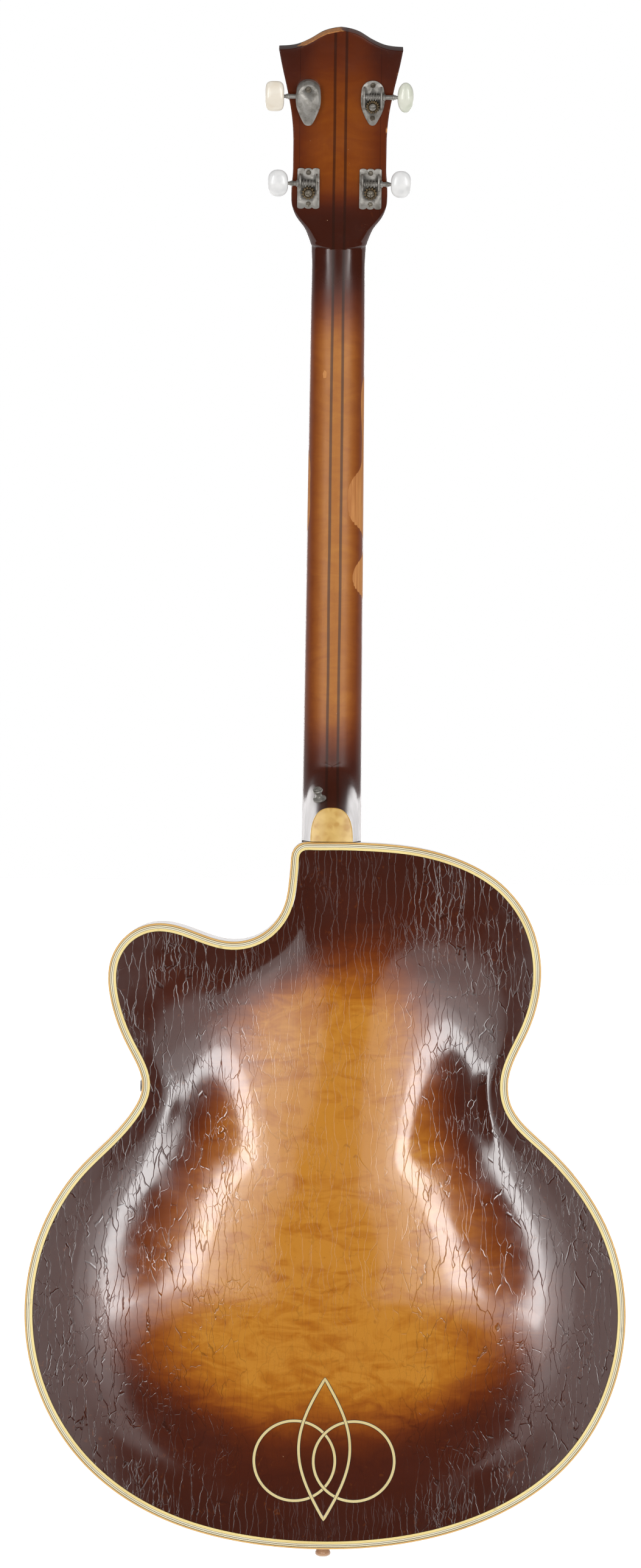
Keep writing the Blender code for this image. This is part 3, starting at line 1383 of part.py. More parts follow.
def make_bridge(top_skin):
    """A wooden bridge: a base shaped to the top, two posts, two wheels and a saddle on them."""
    bridge_z = neck_point(0, BRIDGE_S, 0)[2]
    crest = float(np.mean([saddle_contact(k)[1] + STRING_DIAMETERS[k] / 2 for k in (1, 2)])) + GAP
    saddle_low = crest + SADDLE_HEIGHT
    wheel_far = saddle_low + GAP
    wheel_near = wheel_far + WHEEL_THICKNESS
    middle_top = level(top_skin, 0.0, bridge_z)
    base_top = middle_top - BRIDGE_BASE_RISE
    half = BRIDGE_FOOT_WIDTH / 2
    rings = []
    for share in np.linspace(-1, 1, 13):
        x = share * BRIDGE_HALF_LENGTH
        ends = [level(top_skin, x, bridge_z + sign * half) - 2 * GAP for sign in (-1, 1)]
        crown = base_top + BASE_END_DROP * abs(share) ** 3
        ring = [(x, ends[0], bridge_z - half), (x, ends[1], bridge_z + half),
                (x, crown, bridge_z + half * 0.8), (x, crown, bridge_z - half * 0.8)]
        rings.append(ring)
    points, faces = skin(rings)
    base = build("bridge_base", points, faces, "rosewood")
    rings = []
    for share in (-1.0, -0.93, -0.6, 0.0, 0.6, 0.93, 1.0):
        x = share * SADDLE_HALF_LENGTH
        drop = SADDLE_END_DROP * max(0.0, abs(share) - 0.6) / 0.4
        wide = SADDLE_WIDTH / 2
        ring = [(x, saddle_low, bridge_z - wide), (x, saddle_low, bridge_z + wide),
                (x, crest + drop, bridge_z + wide * 0.4), (x, crest + drop, bridge_z - wide * 0.4)]
        rings.append(ring)
    points, faces = skin(rings)
    saddle = build("bridge_saddle", points, faces, "rosewood")
    for side, sign in (("treble", 1), ("bass", -1)):
        x = sign * BRIDGE_POST_SPREAD
        foot_y = level(top_skin, x, bridge_z) - POST_IN_BASE
        post_end = crest + POST_END_SHORT
        up = axes((x, 0.0, bridge_z), (1, 0, 0), (0, 0, 1), (0, -1, 0))
        post = ((BRIDGE_POST_RADIUS, -foot_y), (BRIDGE_POST_RADIUS, -post_end))
        turned(f"bridge_post_{side}", post, "brass", up, 10)
        bore = BRIDGE_POST_RADIUS + BORE_GAP
        drill = rod(f"base_drill_{side}", (x, foot_y + GAP, bridge_z),
                    (x, base_top - DRILL_PAST, bridge_z), bore, sides=10)
        cut(base, drill)
        cut(saddle, rod(f"saddle_drill_{side}", (x, saddle_low + DRILL_PAST, bridge_z),
                        (x, crest - DRILL_PAST, bridge_z), bore, sides=10))
        ring = ((bore, -wheel_near), (WHEEL_RADIUS, -wheel_near), (WHEEL_RADIUS, -wheel_far),
                (bore, -wheel_far))
        turned_ring(f"bridge_wheel_{side}", ring, "brass", up, 16)


def make_tailpiece():
    """A plate from the tail end to the bar that holds the strings, with its screw."""
    half_low, half_high = TAILPIECE_HALF_WIDTHS
    near, far, bar_low, bar_high = TAILPIECE_BAR
    middle = -(near + far) / 2
    thick = TAILPIECE_THICKNESS
    rim_z = TAIL_Z - GAP - thick / 2
    bend_start, bend_out, bend_up = TAILPIECE_BEND
    slope_out, slope_up, top_up, top_in = TAILPIECE_SLOPE
    path = [
        (-END_PIN_RADIUS - TAILPIECE_TONGUE, rim_z), (-EDGE_Y - bend_start, rim_z),
        (-EDGE_Y - bend_out, rim_z + bend_up), (-EDGE_Y - slope_out, TAIL_Z + slope_up),
        (middle + top_in, TAIL_Z + top_up), (middle, TAIL_Z + bar_low + thick),
    ]
    rings = []
    for k, (y, z) in enumerate(path):
        before = np.array(path[max(0, k - 1)])
        after = np.array(path[min(len(path) - 1, k + 1)])
        along = (after - before) / np.linalg.norm(after - before)
        normal = np.array((-along[1], along[0])) * thick / 2
        share = max(0.0, (k - 1) / (len(path) - 2))
        half = half_low + (half_high - half_low) * share
        ring = [(-half, y + normal[0], z + normal[1]), (half, y + normal[0], z + normal[1]),
                (half, y - normal[0], z - normal[1]), (-half, y - normal[0], z - normal[1])]
        rings.append(ring)
    points, faces = skin(rings)
    plate_piece = build("tailpiece", points, faces, "nickel")
    half_bar = half_high + TAILPIECE_BAR_PROUD
    bar = box("tailpiece_bar", (-half_bar, -far, TAIL_Z + bar_low), (half_bar, -near, TAIL_Z + bar_high),
              "nickel")
    join(plate_piece, bar)
    seat_z = TAIL_Z - GAP - thick - GAP
    cut(plate_piece, rod("tailpiece_drill", (0, TAIL_SCREW_Y, seat_z - thick),
                         (0, TAIL_SCREW_Y, TAIL_Z + thick), SCREW_SHANK + BORE_GAP, sides=8))
    frame = axes((0, TAIL_SCREW_Y, seat_z), (1, 0, 0), (0, -1, 0), (0, 0, -1))
    make_screw("tailpiece_screw", frame, *TAIL_SCREW_HEAD, TAIL_SCREW_LENGTH)


def rib_x(z):
    """How far out the treble rib stands at a height near the waist."""
    places = np.array([inset(u, 0.0) for u in between(7, 12)])
    return float(np.interp(z, places[:, 1], places[:, 0]))


def make_pickguard():
    """A flat guard that runs on from the fingerboard's side, and the bracket from it to the rib."""
    beside = neck_half_width(BOARD_END_S) + GAP
    outline = [(beside, GUARD_TOP_SHARE * BRIDGE_S), (beside, BOARD_END_S)]
    outline += [(x, share * BRIDGE_S) for x, share in zip(GUARD_ACROSS, GUARD_SHARES)]
    far = GUARD_LEVEL + GUARD_THICKNESS
    prism("pickguard", outline, GUARD_LEVEL, far, neck_point, "black")
    z = JOINT_Z + BRACKET_SHARE * BRIDGE_S * math.cos(NECK_ANGLE)
    low = z - BRACKET_WIDTH / 2
    high = z + BRACKET_WIDTH / 2
    thick = BRACKET_THICKNESS
    out = max(rib_x(low), rib_x(high)) + GAP + thick / 2
    under = neck_point(0.0, (high - JOINT_Z) / math.cos(NECK_ANGLE), far)
    arm_y = under[1] + GAP + thick / 2
    bend_in, bend_down = BRACKET_BEND
    path = [(BRACKET_START, arm_y), (out - bend_in, arm_y), (out, arm_y + bend_down),
            (out, BRACKET_END_DEPTH - EDGE_Y)]
    rings = []
    for k, (x, y) in enumerate(path):
        before = np.array(path[max(0, k - 1)])
        after = np.array(path[min(len(path) - 1, k + 1)])
        along = (after - before) / np.linalg.norm(after - before)
        side = np.array((-along[1], along[0])) * thick / 2
        ring = [(x + side[0], y + side[1], low), (x + side[0], y + side[1], high),
                (x - side[0], y - side[1], high), (x - side[0], y - side[1], low)]
        rings.append(ring)
    points, faces = skin(rings)
    build("pickguard_bracket", points, faces, "nickel")


def make_end_pin():
    """The turned pin that closes the tail end; its flat outer face is at z = 0."""
    r = END_PIN_RADIUS
    proud = END_PIN_PROUD - GAP
    profile = (
        (r * 0.62, 0.0), (r * 0.90, proud * 0.10), (r, proud * 0.28), (r * 0.86, proud * 0.55),
        (r * 0.66, proud * 0.78), (r * 0.95, proud * 0.93), (r * 0.95, proud),
        (END_PIN_SHANK, proud), (END_PIN_SHANK, TAIL_Z + END_PIN_LENGTH),
    )
    turned("end_pin", profile, "cream", Matrix.Identity(4), 16)


def make_strap_button(neck, heel_tree):
    """A flanged button on the heel's slope, held by a domed screw into the heel."""
    across, forward = STRAP_BUTTON_PLACE
    axis = Vector(STRAP_BUTTON_AXIS).normalized()
    guess = Vector((across, EDGE_Y - forward, JOINT_Z + STRAP_BUTTON_UP))
    hit = heel_tree.ray_cast(guess + axis * RIM_DEPTH, -axis)
    rim = []
    side = axis.orthogonal().normalized()
    for k in range(12):
        turn = Matrix.Rotation(k * math.pi / 6, 3, axis)
        start = guess + axis * RIM_DEPTH + turn @ side * STRAP_BUTTON_RADIUS
        spot = heel_tree.ray_cast(start, -axis)
        if spot[0] is not None:
            rim.append((spot[0] - guess).dot(axis))
    seat_height = max(rim + [(hit[0] - guess).dot(axis)]) + GAP
    frame = frame_along(guess + axis * seat_height, axis)
    bore = SCREW_SHANK + BORE_GAP
    r = STRAP_BUTTON_RADIUS
    tall = STRAP_BUTTON_HEIGHT
    ring = ((bore, 0.0), (r, 0.0), (r * 0.94, tall * 0.16), (r * 0.52, tall * 0.34),
            (r * 0.46, tall * 0.60), (r * 0.74, tall * 0.84), (r * 0.70, tall), (bore, tall))
    turned_ring("strap_button", ring, "nickel", frame, 14)
    seat = frame @ Matrix.Translation((0.0, 0.0, tall + GAP))
    length = tall + STRAP_SCREW_LENGTH
    make_screw("strap_button_screw", seat, r * 0.60, STRAP_SCREW_HEAD, length)
    cut(neck, rod("strap_screw_bore", seat @ Vector((0, 0, -length - GAP)), seat @ Vector((0, 0, 0)),
                  bore, sides=10))


def main():
    clear_scene()
    top_skin = make_body()
    neck, heel_tree = make_neck()
    make_fingerboard()
    make_veneer(neck)
    make_tuners(neck)
    make_bridge(top_skin)
    make_tailpiece()
    make_pickguard()
    make_end_pin()
    make_strap_button(neck, heel_tree)
    make_strings()


main()
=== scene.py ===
# %% [markdown]
# # An archtop bass guitar, seen from the back
#
# This notebook dresses a plain model of a hollow guitar. The plain model gives every place and
# size. Each cell below explains one piece or one finish, and then makes it from a formula.

import math

import bmesh
import bpy
import numpy as np
from mathutils import Matrix, Vector


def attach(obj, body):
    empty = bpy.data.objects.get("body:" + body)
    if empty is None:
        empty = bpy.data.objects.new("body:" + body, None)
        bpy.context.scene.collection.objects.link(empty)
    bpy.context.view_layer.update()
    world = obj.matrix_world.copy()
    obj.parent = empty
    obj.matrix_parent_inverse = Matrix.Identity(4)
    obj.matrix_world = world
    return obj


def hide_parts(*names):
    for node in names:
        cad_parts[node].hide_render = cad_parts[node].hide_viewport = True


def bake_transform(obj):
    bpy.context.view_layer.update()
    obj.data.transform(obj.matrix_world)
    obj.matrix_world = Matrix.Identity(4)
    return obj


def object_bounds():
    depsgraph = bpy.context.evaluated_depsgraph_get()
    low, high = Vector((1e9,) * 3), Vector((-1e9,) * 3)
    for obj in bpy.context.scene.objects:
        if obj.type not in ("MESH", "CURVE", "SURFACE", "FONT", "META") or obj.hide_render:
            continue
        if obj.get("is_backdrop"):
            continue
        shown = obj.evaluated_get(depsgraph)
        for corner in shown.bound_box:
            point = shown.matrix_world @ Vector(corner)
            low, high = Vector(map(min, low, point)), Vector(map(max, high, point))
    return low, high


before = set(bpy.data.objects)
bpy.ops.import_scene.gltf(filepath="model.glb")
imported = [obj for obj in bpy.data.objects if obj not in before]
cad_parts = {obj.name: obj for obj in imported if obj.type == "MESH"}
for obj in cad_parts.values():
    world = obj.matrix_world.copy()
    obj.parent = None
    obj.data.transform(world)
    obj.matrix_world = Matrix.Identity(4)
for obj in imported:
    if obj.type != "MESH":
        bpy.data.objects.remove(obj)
plain_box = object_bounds()

# %% [markdown]
# ## Small helpers
#
# A surface here is a grid of points: rows along one parameter, columns along the other. One
# function turns such a grid into quads, and one turns points and faces into a smooth mesh whose
# sharp edges stay sharp. Writing the shapes as whole numpy arrays keeps each formula readable.

# %% Grids of points become meshes
COARSE_ANGLE = 38.0


def grid_faces(rows, columns, wrap_rows=False):
    """Quads between neighbours: face (i, j) joins (i, j), (i, j+1), (i+1, j+1) and (i+1, j). The
    last column always joins the first."""
    i, j = np.meshgrid(np.arange(rows if wrap_rows else rows - 1), np.arange(columns), indexing="ij")
    after_i = (i + 1) % rows
    after_j = (j + 1) % columns
    corners = (i * columns + j, i * columns + after_j, after_i * columns + after_j, after_i * columns + j)
    return np.stack(corners, axis=-1).reshape(-1, 4)


def piece(name, points, faces, finish, sharp=COARSE_ANGLE, attributes=None):
    """A mesh object at the origin, faces outward, smooth except where it turns more than sharp.
    Attributes are named arrays with a value for each point, or a function that gives them."""
    if callable(attributes):
        attributes = attributes(points)
    mesh = bpy.data.meshes.new(name)
    mesh.from_pydata(np.asarray(points, float).reshape(-1, 3).tolist(), [], [tuple(f) for f in faces])
    for label, values in (attributes or {}).items():
        layer = mesh.attributes.new(label, "FLOAT", "POINT")
        layer.data.foreach_set("value", np.asarray(values, float).ravel())
    work = bmesh.new()
    work.from_mesh(mesh)
    bmesh.ops.recalc_face_normals(work, faces=work.faces)
    work.to_mesh(mesh)
    work.free()
    mesh.shade_smooth()
    mesh.set_sharp_from_angle(angle=math.radians(sharp))
    mesh.materials.append(finish)
    made = bpy.data.objects.new(name, mesh)
    bpy.context.scene.collection.objects.link(made)
    return made


def skin(name, rings, finish, closed=False, sharp=COARSE_ANGLE, attributes=None):
    """A skin over rings of equal length, shape (rings, columns, 3). Its ends are capped unless
    closed joins the last ring to the first."""
    rings = np.asarray(rings, float)
    rows, columns = rings.shape[:2]
    faces = grid_faces(rows, columns, wrap_rows=closed).tolist()
    if not closed:
        faces.append(list(range(columns))[::-1])
        faces.append(list(range((rows - 1) * columns, rows * columns)))
    return piece(name, rings, faces, finish, sharp, attributes)


def full_turn(count):
    """Even angles once round."""
    return np.arange(count) * 2 * math.pi / count


def turn(angles, radius, height):
    """Points at radius and height above a base, turned by angles: (r cos a, r sin a, h)."""
    shape = np.broadcast(angles, radius, height).shape
    points = (radius * np.cos(angles), radius * np.sin(angles), height)
    return np.stack([np.broadcast_to(p, shape) for p in points], axis=-1)


def lathe(profile, sides=40):
    """Rings of a turned form: each (radius, height) pair of the profile makes one circle."""
    radius, height = np.array(profile, float).T
    angles = full_turn(sides)
    return turn(angles[None, :], radius[:, None], height[:, None])


def moved(points, matrix):
    """Points carried by a 4x4 matrix: turned by its upper left, then shifted by its last column."""
    matrix = np.array(matrix)
    return points @ matrix[:3, :3].T + matrix[:3, 3]


def axes(origin, x_axis, y_axis, z_axis):
    """The matrix of a frame from its origin and three unit axes."""
    made = np.eye(4)
    made[:3] = np.stack((x_axis, y_axis, z_axis, origin), axis=1)
    return made


def ease(low, high, value):
    """0 below low, 1 above high, and a smooth S between them: 3t^2 - 2t^3."""
    t = np.clip((value - low) / (high - low), 0, 1)
    return t * t * (3 - 2 * t)


def baked(made):
    """The object with its modifiers worked into its mesh."""
    graph = bpy.context.evaluated_depsgraph_get()
    mesh = bpy.data.meshes.new_from_object(made.evaluated_get(graph))
    made.modifiers.clear()
    made.data = mesh
    return made


def cut_by(target, tools):
    """Cuts each tool out of the target and works the cuts into its mesh."""
    for tool in tools:
        step = target.modifiers.new(tool.name, "BOOLEAN")
        step.object = tool
        step.operation = "DIFFERENCE"
        step.solver = "EXACT"
    baked(target)
    for tool in tools:
        bpy.data.objects.remove(tool)
    return target


def joined(name, parts):
    """Several objects as one."""
    with bpy.context.temp_override(active_object=parts[0], selected_editable_objects=parts):
        bpy.ops.object.join()
    parts[0].name = name
    return parts[0]


def settle(made, body, slot, *nodes):
    """Rides on a body and stands for the plain nodes named, which it hides. The slot is not used."""
    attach(made, body)
    if nodes:
        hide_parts(*nodes)
    return made


# %% [markdown]
# ## Finishes written as formulas
#
# A finish is a tree of shader nodes. A wire is a value that flows through it. Adding or
# multiplying wires adds a node that does the sum, so the finishes below read like formulas.
# Colours are written the way a colour picker shows them, and turned into linear light.

# %% Wires, and nodes from a few words
class Wire:
    """A value on its way through a tree of nodes."""

    def __init__(self, socket):
        self.socket = socket
        self.tree = socket.id_data

    def sum(self, operation, first, second=0.0, clamp=False):
        made = add_node(self, "ShaderNodeMath", {0: first, 1: second}, operation=operation, use_clamp=clamp)
        return Wire(made.outputs[0])

    def __add__(self, other):
        return self.sum("ADD", self, other)

    def __radd__(self, other):
        return self.sum("ADD", other, self)

    def __sub__(self, other):
        return self.sum("SUBTRACT", self, other)

    def __rsub__(self, other):
        return self.sum("SUBTRACT", other, self)

    def __mul__(self, other):
        return self.sum("MULTIPLY", self, other)

    def __truediv__(self, other):
        return self.sum("DIVIDE", self, other)

    def __rtruediv__(self, other):
        return self.sum("DIVIDE", other, self)

    def __abs__(self):
        return self.sum("ABSOLUTE", self)


def colour(red, green, blue):
    """A picker's 0 to 255 colour as linear light: ((c + 0.055) / 1.055) to the power 2.4."""
    c = np.array((red, green, blue)) / 255
    linear = np.where(c <= 0.04045, c / 12.92, ((c + 0.055) / 1.055) ** 2.4)
    return (*linear.tolist(), 1.0)


def fill(node, inputs):
    """Gives each input named a value or a wire. Names may have underscores for spaces."""
    for key, value in inputs.items():
        socket = node.inputs[key.replace("_", " ") if isinstance(key, str) else key]
        if isinstance(value, Wire):
            value.tree.links.new(value.socket, socket)
        else:
            socket.default_value = value


def add_node(near, kind, inputs=None, **settings):
    """Adds a node to a tree, or to the tree of a wire, and sets its properties and inputs."""
    made = getattr(near, "tree", near).nodes.new(kind)
    for key, value in settings.items():
        setattr(made, key, value)
    fill(made, inputs or {})
    return made


def wires(node):
    """A node's outputs by name."""
    return {socket.name: Wire(socket) for socket in node.outputs}


def most(first, second):
    """The larger of two wires."""
    return first.sum("MAXIMUM", first, second)


def split(vector, axis):
    """One of a vector's three values."""
    return Wire(add_node(vector, "ShaderNodeSeparateXYZ", {0: vector}).outputs[axis])


def rise(value, low, high):
    """0 below low and 1 above high, with a smooth step between."""
    made = add_node(value, "ShaderNodeMapRange", {"Value": value, "From Min": low, "From Max": high},
                    interpolation_type="SMOOTHSTEP")
    return Wire(made.outputs["Result"])


def blend(factor, first, second, mode="MIX"):
    """Mixes two colours."""
    made = add_node(factor, "ShaderNodeMix", {0: factor, 6: first, 7: second}, data_type="RGBA",
                    blend_type=mode, clamp_factor=True)
    return Wire(made.outputs[2])


def ramp(value, stops, stepped=False):
    """A colour for each value: stops are (place, colour) pairs."""
    made = add_node(value, "ShaderNodeValToRGB", {0: value})
    band = made.color_ramp
    band.interpolation = "CONSTANT" if stepped else "LINEAR"
    while len(band.elements) < len(stops):
        band.elements.new(0.5)
    for element, (place, shade) in zip(band.elements, stops):
        element.position = place
        element.color = shade
    return Wire(made.outputs["Color"])


def noise(where, scale, detail=3.0, roughness=0.5, distortion=0.0, output="Fac"):
    """Cloudy noise between 0 and 1; scale is in waves per metre."""
    made = add_node(where, "ShaderNodeTexNoise", {
        "Vector": where, "Scale": scale, "Detail": detail, "Roughness": roughness,
        "Distortion": distortion})
    return Wire(made.outputs[output])


def stretched(where, x, y, z):
    """The coordinates scaled along each axis, so that a pattern is longer one way."""
    return Wire(add_node(where, "ShaderNodeMapping", {"Vector": where, "Scale": (x, y, z)}).outputs[0])


def shaken(where, scale, detail, reach, middle):
    """Coordinates moved about by coloured noise: where + (noise - middle) x reach."""
    wander = noise(where, scale, detail, output="Color")
    for operation, inputs in (("SUBTRACT", {0: wander, 1: (middle,) * 3}), ("SCALE", {"Scale": reach}),
                              ("ADD", {1: where})):
        wander = Wire(add_node(where, "ShaderNodeVectorMath", {0: wander, **inputs},
                               operation=operation).outputs[0])
    return wander


def attribute(near, label):
    """A value that the mesh carries at each point."""
    return Wire(add_node(near, "ShaderNodeAttribute", attribute_name=label).outputs["Fac"])


def bump(height, distance):
    """A normal tilted by a height, which distance turns into metres."""
    made = add_node(height, "ShaderNodeBump", {"Height": height, "Distance": distance})
    return Wire(made.outputs["Normal"])


def new_finish(name, **plain):
    """A material, its shader and the object's own coordinates."""
    made = bpy.data.materials.new(name)
    made.use_nodes = True
    shader = made.node_tree.nodes["Principled BSDF"]
    fill(shader, plain)
    return made, shader, Wire(add_node(made.node_tree, "ShaderNodeTexCoord").outputs["Object"])


def new_group(name, outputs, **inputs):
    """A group of nodes that takes a place and some numbers, given with their defaults. Returns
    a wire for each, and the end node, which has an input for each output's name."""
    tree = bpy.data.node_groups.new(name, "ShaderNodeTree")
    tree.interface.new_socket("Place", in_out="INPUT", socket_type="NodeSocketVector")
    for label, default in inputs.items():
        socket = tree.interface.new_socket(label, in_out="INPUT", socket_type="NodeSocketFloat")
        socket.default_value = default
    for label in outputs:
        tree.interface.new_socket(label, in_out="OUTPUT", socket_type="NodeSocketFloat")
    start = tree.nodes.new("NodeGroupInput")
    return [Wire(start.outputs[k]) for k in range(len(inputs) + 1)] + [tree.nodes.new("NodeGroupOutput")]


def use_group(group, **inputs):
    """Places a group in the tree that its place comes from. Returns its outputs as wires."""
    made = add_node(inputs["Place"], "ShaderNodeGroup", node_tree=group)
    fill(made, inputs)
    return wires(made)


# %% [markdown]
# ## Checked lacquer
#
# Old lacquer shrinks and cracks into long wavy lines that mostly follow the grain, with short
# links between them. The borders between the cells of a Voronoi pattern make such a net. The
# coordinates are squeezed along the grain, so the cells come out long, and shaken with noise, so
# that the lines waver. A second, finer net breaks up the first. Where a crack runs is low and
# darker. An image would give one fixed size of crack; a formula fits every plate.

# %% The crack net as a group
CRACK_SPACING = 0.0062


def crack_group():
    """1 on the border between two long cells and 0 off it, for two nets, each in patches."""
    place, amount, spacing, end = new_group("Lacquer checking", ("Cracks", "Height"), Amount=1.0,
                                            Spacing=CRACK_SPACING)
    wavy = shaken(place, 42.0, 3.0, 0.010, 0.5)
    scale = 1.0 / spacing
    nets = []
    for grain, finer, width in ((0.12, 1.0, 0.030), (0.34, 1.5, 0.034)):
        cells = add_node(place, "ShaderNodeTexVoronoi",
                         {"Vector": stretched(wavy, 1.0, 1.0, grain), "Scale": scale * finer},
                         feature="DISTANCE_TO_EDGE")
        nets.append(rise(Wire(cells.outputs["Distance"]), width, 0.0))
    patchy = rise(noise(place, 16.0, 2.0), 0.20, 0.42)
    fine_patchy = rise(noise(place, 31.0, 2.0), 0.48, 0.62)
    cracks = most(nets[0] * patchy, nets[1] * fine_patchy * 0.7) * amount
    fill(end, {"Cracks": cracks, "Height": 0.0 - cracks})
    return end.id_data


CRACKS = crack_group()

# %% [markdown]
# ## Knocks, chips and grime
#
# Wear comes in two sizes: chips where the lacquer has come off in small sharp spots, and a soft
# film of grime that dulls the gloss. Both are noise that is cut off at a level. A high level
# leaves a few islands, which are the chips.

# %% Chips and grime as a group
def wear_group():
    """Chips where two noises add up to more than a level. Grime is one soft noise."""
    place, chips, end = new_group("Chips and grime", ("Chip", "Grime"), Chips=0.5)
    spread = noise(place, 170.0, 4.0, 0.55, 0.4) + noise(place, 13.0, 2.0) * 0.30
    chip = rise(spread - (0.985 - chips * 0.10), 0.0, 0.012)
    fill(end, {"Chip": chip, "Grime": rise(noise(place, 42.0, 5.0, 0.62), 0.35, 0.75)})
    return end.id_data


WEAR = wear_group()

# %% [markdown]
# ## Figured maple
#
# The back shows a quilted figure: soft light and dark puffs that run across the grain, with
# small curled eyes in them. Noise that is longer across than along makes the puffs, and noise
# with a strong twist makes the eyes. Fine long streaks are the pores of the wood.

# %% The figure as a group
def figure_group():
    """Shade = (puffs + 0.55 clouds + 0.16 pores - their middle) x strength."""
    place, strength, end = new_group("Figured maple", ("Shade", "Eyes"), Strength=1.0)
    puffs = noise(stretched(place, 0.55, 1.0, 1.35), 62.0, 4.0, 0.56, 1.4)
    clouds = noise(place, 11.0, 2.0)
    twisted = noise(stretched(place, 1.0, 1.0, 0.8), 105.0, 3.0, 0.5, 3.2)
    eyes = rise(twisted, 0.60, 0.74) * rise(puffs, 0.42, 0.60)
    pores = noise(stretched(place, 900.0, 300.0, 22.0), 1.0, 2.0)
    total = puffs + clouds * 0.55 + pores * 0.16
    fill(end, {"Shade": (total - 0.855) * strength, "Eyes": eyes * strength})
    return end.id_data


FIGURE = figure_group()

# %% [markdown]
# ## Sunburst lacquer
#
# A sunburst is sprayed on: amber in the middle, then orange and red browns, and nearly black
# at the edge. Each lacquered piece carries a number called burst at every point, 0 at the dark
# edge and 1 in the amber middle, and one ramp turns it into a colour. So the same finish fits
# the plates, the ribs, the neck and the head. The figure moves the number a little, because the
# wood shows through the amber far more than through the dark edge.

# %% The lacquer's colours, from the edge to the middle
BURST = (
    (0.00, colour(60, 25, 15)), (0.16, colour(74, 30, 16)), (0.34, colour(101, 43, 15)),
    (0.50, colour(128, 62, 17)), (0.66, colour(154, 84, 22)), (0.84, colour(178, 108, 28)),
    (1.00, colour(196, 130, 44)),
)
BARE_WOOD = colour(205, 140, 78)
CHIP_WOOD = colour(186, 138, 92)


def lacquer(name, figure=1.0, cracks=1.0, chips=0.5, rough=0.07, shine=0.75, stripes=(), seams=(),
            bare=False):
    """The burst's colour, moved by the figure, with cracks, chips and grime over it. Stripes
    are (place, half width) pairs across the neck; bare adds wood worn free of its lacquer."""
    made, shader, where = new_finish(name, Specular_IOR_Level=shine)
    wood = use_group(FIGURE, Place=where, Strength=figure)
    wear = use_group(WEAR, Place=where, Chips=chips)
    net = use_group(CRACKS, Place=where, Amount=attribute(where, "cracking") * cracks)
    burst = attribute(where, "burst")
    shown = burst + wood["Shade"] * (burst * 0.75)
    shade = ramp(shown.sum("ADD", shown, 0.0, clamp=True), BURST)
    shade = blend(wood["Eyes"] * 0.35, shade, colour(128, 66, 22))
    side = abs(split(where, "X"))
    sway = (noise(where, 9.0, 1.0) - 0.5) * 0.0012
    for place, half in stripes:
        band = rise(abs(side + sway - place), half, half * 0.55)
        shade = blend(band * 0.72, shade, colour(48, 24, 15))
    for place, half in seams:
        shade = blend(rise(abs(side - place), half, 0.0) * 0.5, shade, colour(30, 14, 10))
    shade = blend(net["Cracks"] * 0.42, shade, colour(30, 14, 9))
    shade = blend(wear["Chip"] * 0.8, shade, CHIP_WOOD)
    rough = rough + wear["Grime"] * 0.06
    height = net["Height"] - wear["Chip"] * 0.8
    if bare:
        mask = rise(attribute(where, "worn") + noise(where, 120.0, 4.0) * 0.30, 0.62, 0.67)
        grain = noise(stretched(where, 700.0, 300.0, 24.0), 1.0, 3.0)
        shade = blend(mask, shade, blend(rise(grain, 0.35, 0.75), BARE_WOOD, colour(176, 108, 52)))
        rough = rough + attribute(where, "satin") * 0.24 + mask * 0.30
        height = height - mask
    facing = bump(height * 0.000045 + noise(where, 26.0, 2.0) * 0.00006, 1.0)
    fill(shader, {"Base Color": shade, "Roughness": rough, "Normal": facing})
    return made


BODY_LACQUER = lacquer("body_lacquer", chips=0.62, bare=True)
RIB_LACQUER = lacquer("rib_lacquer", figure=0.8, cracks=0.8, chips=0.35)
STRIPE_PLACE = 0.0041
STRIPE_HALF = 0.0013
HEAD_SEAM = 0.0300
NECK_LACQUER = lacquer("neck_lacquer", figure=0.45, cracks=0.16, chips=0.72, rough=0.12, shine=0.38,
                       stripes=((STRIPE_PLACE, STRIPE_HALF),), seams=((HEAD_SEAM, 0.0004),), bare=True)
print("lacquers:", BODY_LACQUER.name, RIB_LACQUER.name, NECK_LACQUER.name)

# %% [markdown]
# ## Bindings of many plies
#
# The edge is bound with thin strips of celluloid glued side by side. From the outside in they
# are a beige ply drawn in a darker amber, which is painted shade where the edge is scraped round,
# then black, white, black, pale grey, dark and a broad cream one. The binding's mesh carries its
# depth from the outside as a number, and a ramp that steps instead of fading turns that into
# plies with sharp edges.

# %% The plies, from the outside in, with each one's width
PLIES = (
    # The first ply's amber is beige darkened by painted shade where the edge is scraped round.
    (0.00130, colour(234, 188, 112)), (0.00040, colour(40, 28, 20)), (0.00080, colour(246, 236, 198)),
    (0.00040, colour(40, 28, 20)), (0.00090, colour(242, 234, 206)), (0.00020, colour(60, 44, 28)),
    (0.00190, colour(248, 226, 152)),
)


def celluloid(name, plies):
    """Steps through the plies by the depth that the mesh carries."""
    made, shader, where = new_finish(name, Roughness=0.28, Coat_Weight=0.3, Coat_Roughness=0.1)
    ends = np.cumsum([0.0] + [width for width, _ in plies])
    stops = [(float(place), tint) for place, (_, tint) in zip(ends / ends[-1], plies)]
    shade = ramp(attribute(where, "depth") / float(ends[-1]), stops, stepped=True)
    yellowed = rise(noise(where, 24.0, 3.0), 0.35, 0.8)
    shade = blend(yellowed * 0.22, shade, colour(206, 172, 96), "MULTIPLY")
    dirt = rise(noise(where, 130.0, 4.0, 0.6), 0.62, 0.78)
    shade = blend(dirt * 0.30, shade, colour(92, 62, 34))
    fill(shader, {"Base Color": shade, "Normal": bump(noise(where, 90.0, 2.0), 0.00012)})
    return made


BINDING = celluloid("bound_edge", PLIES)
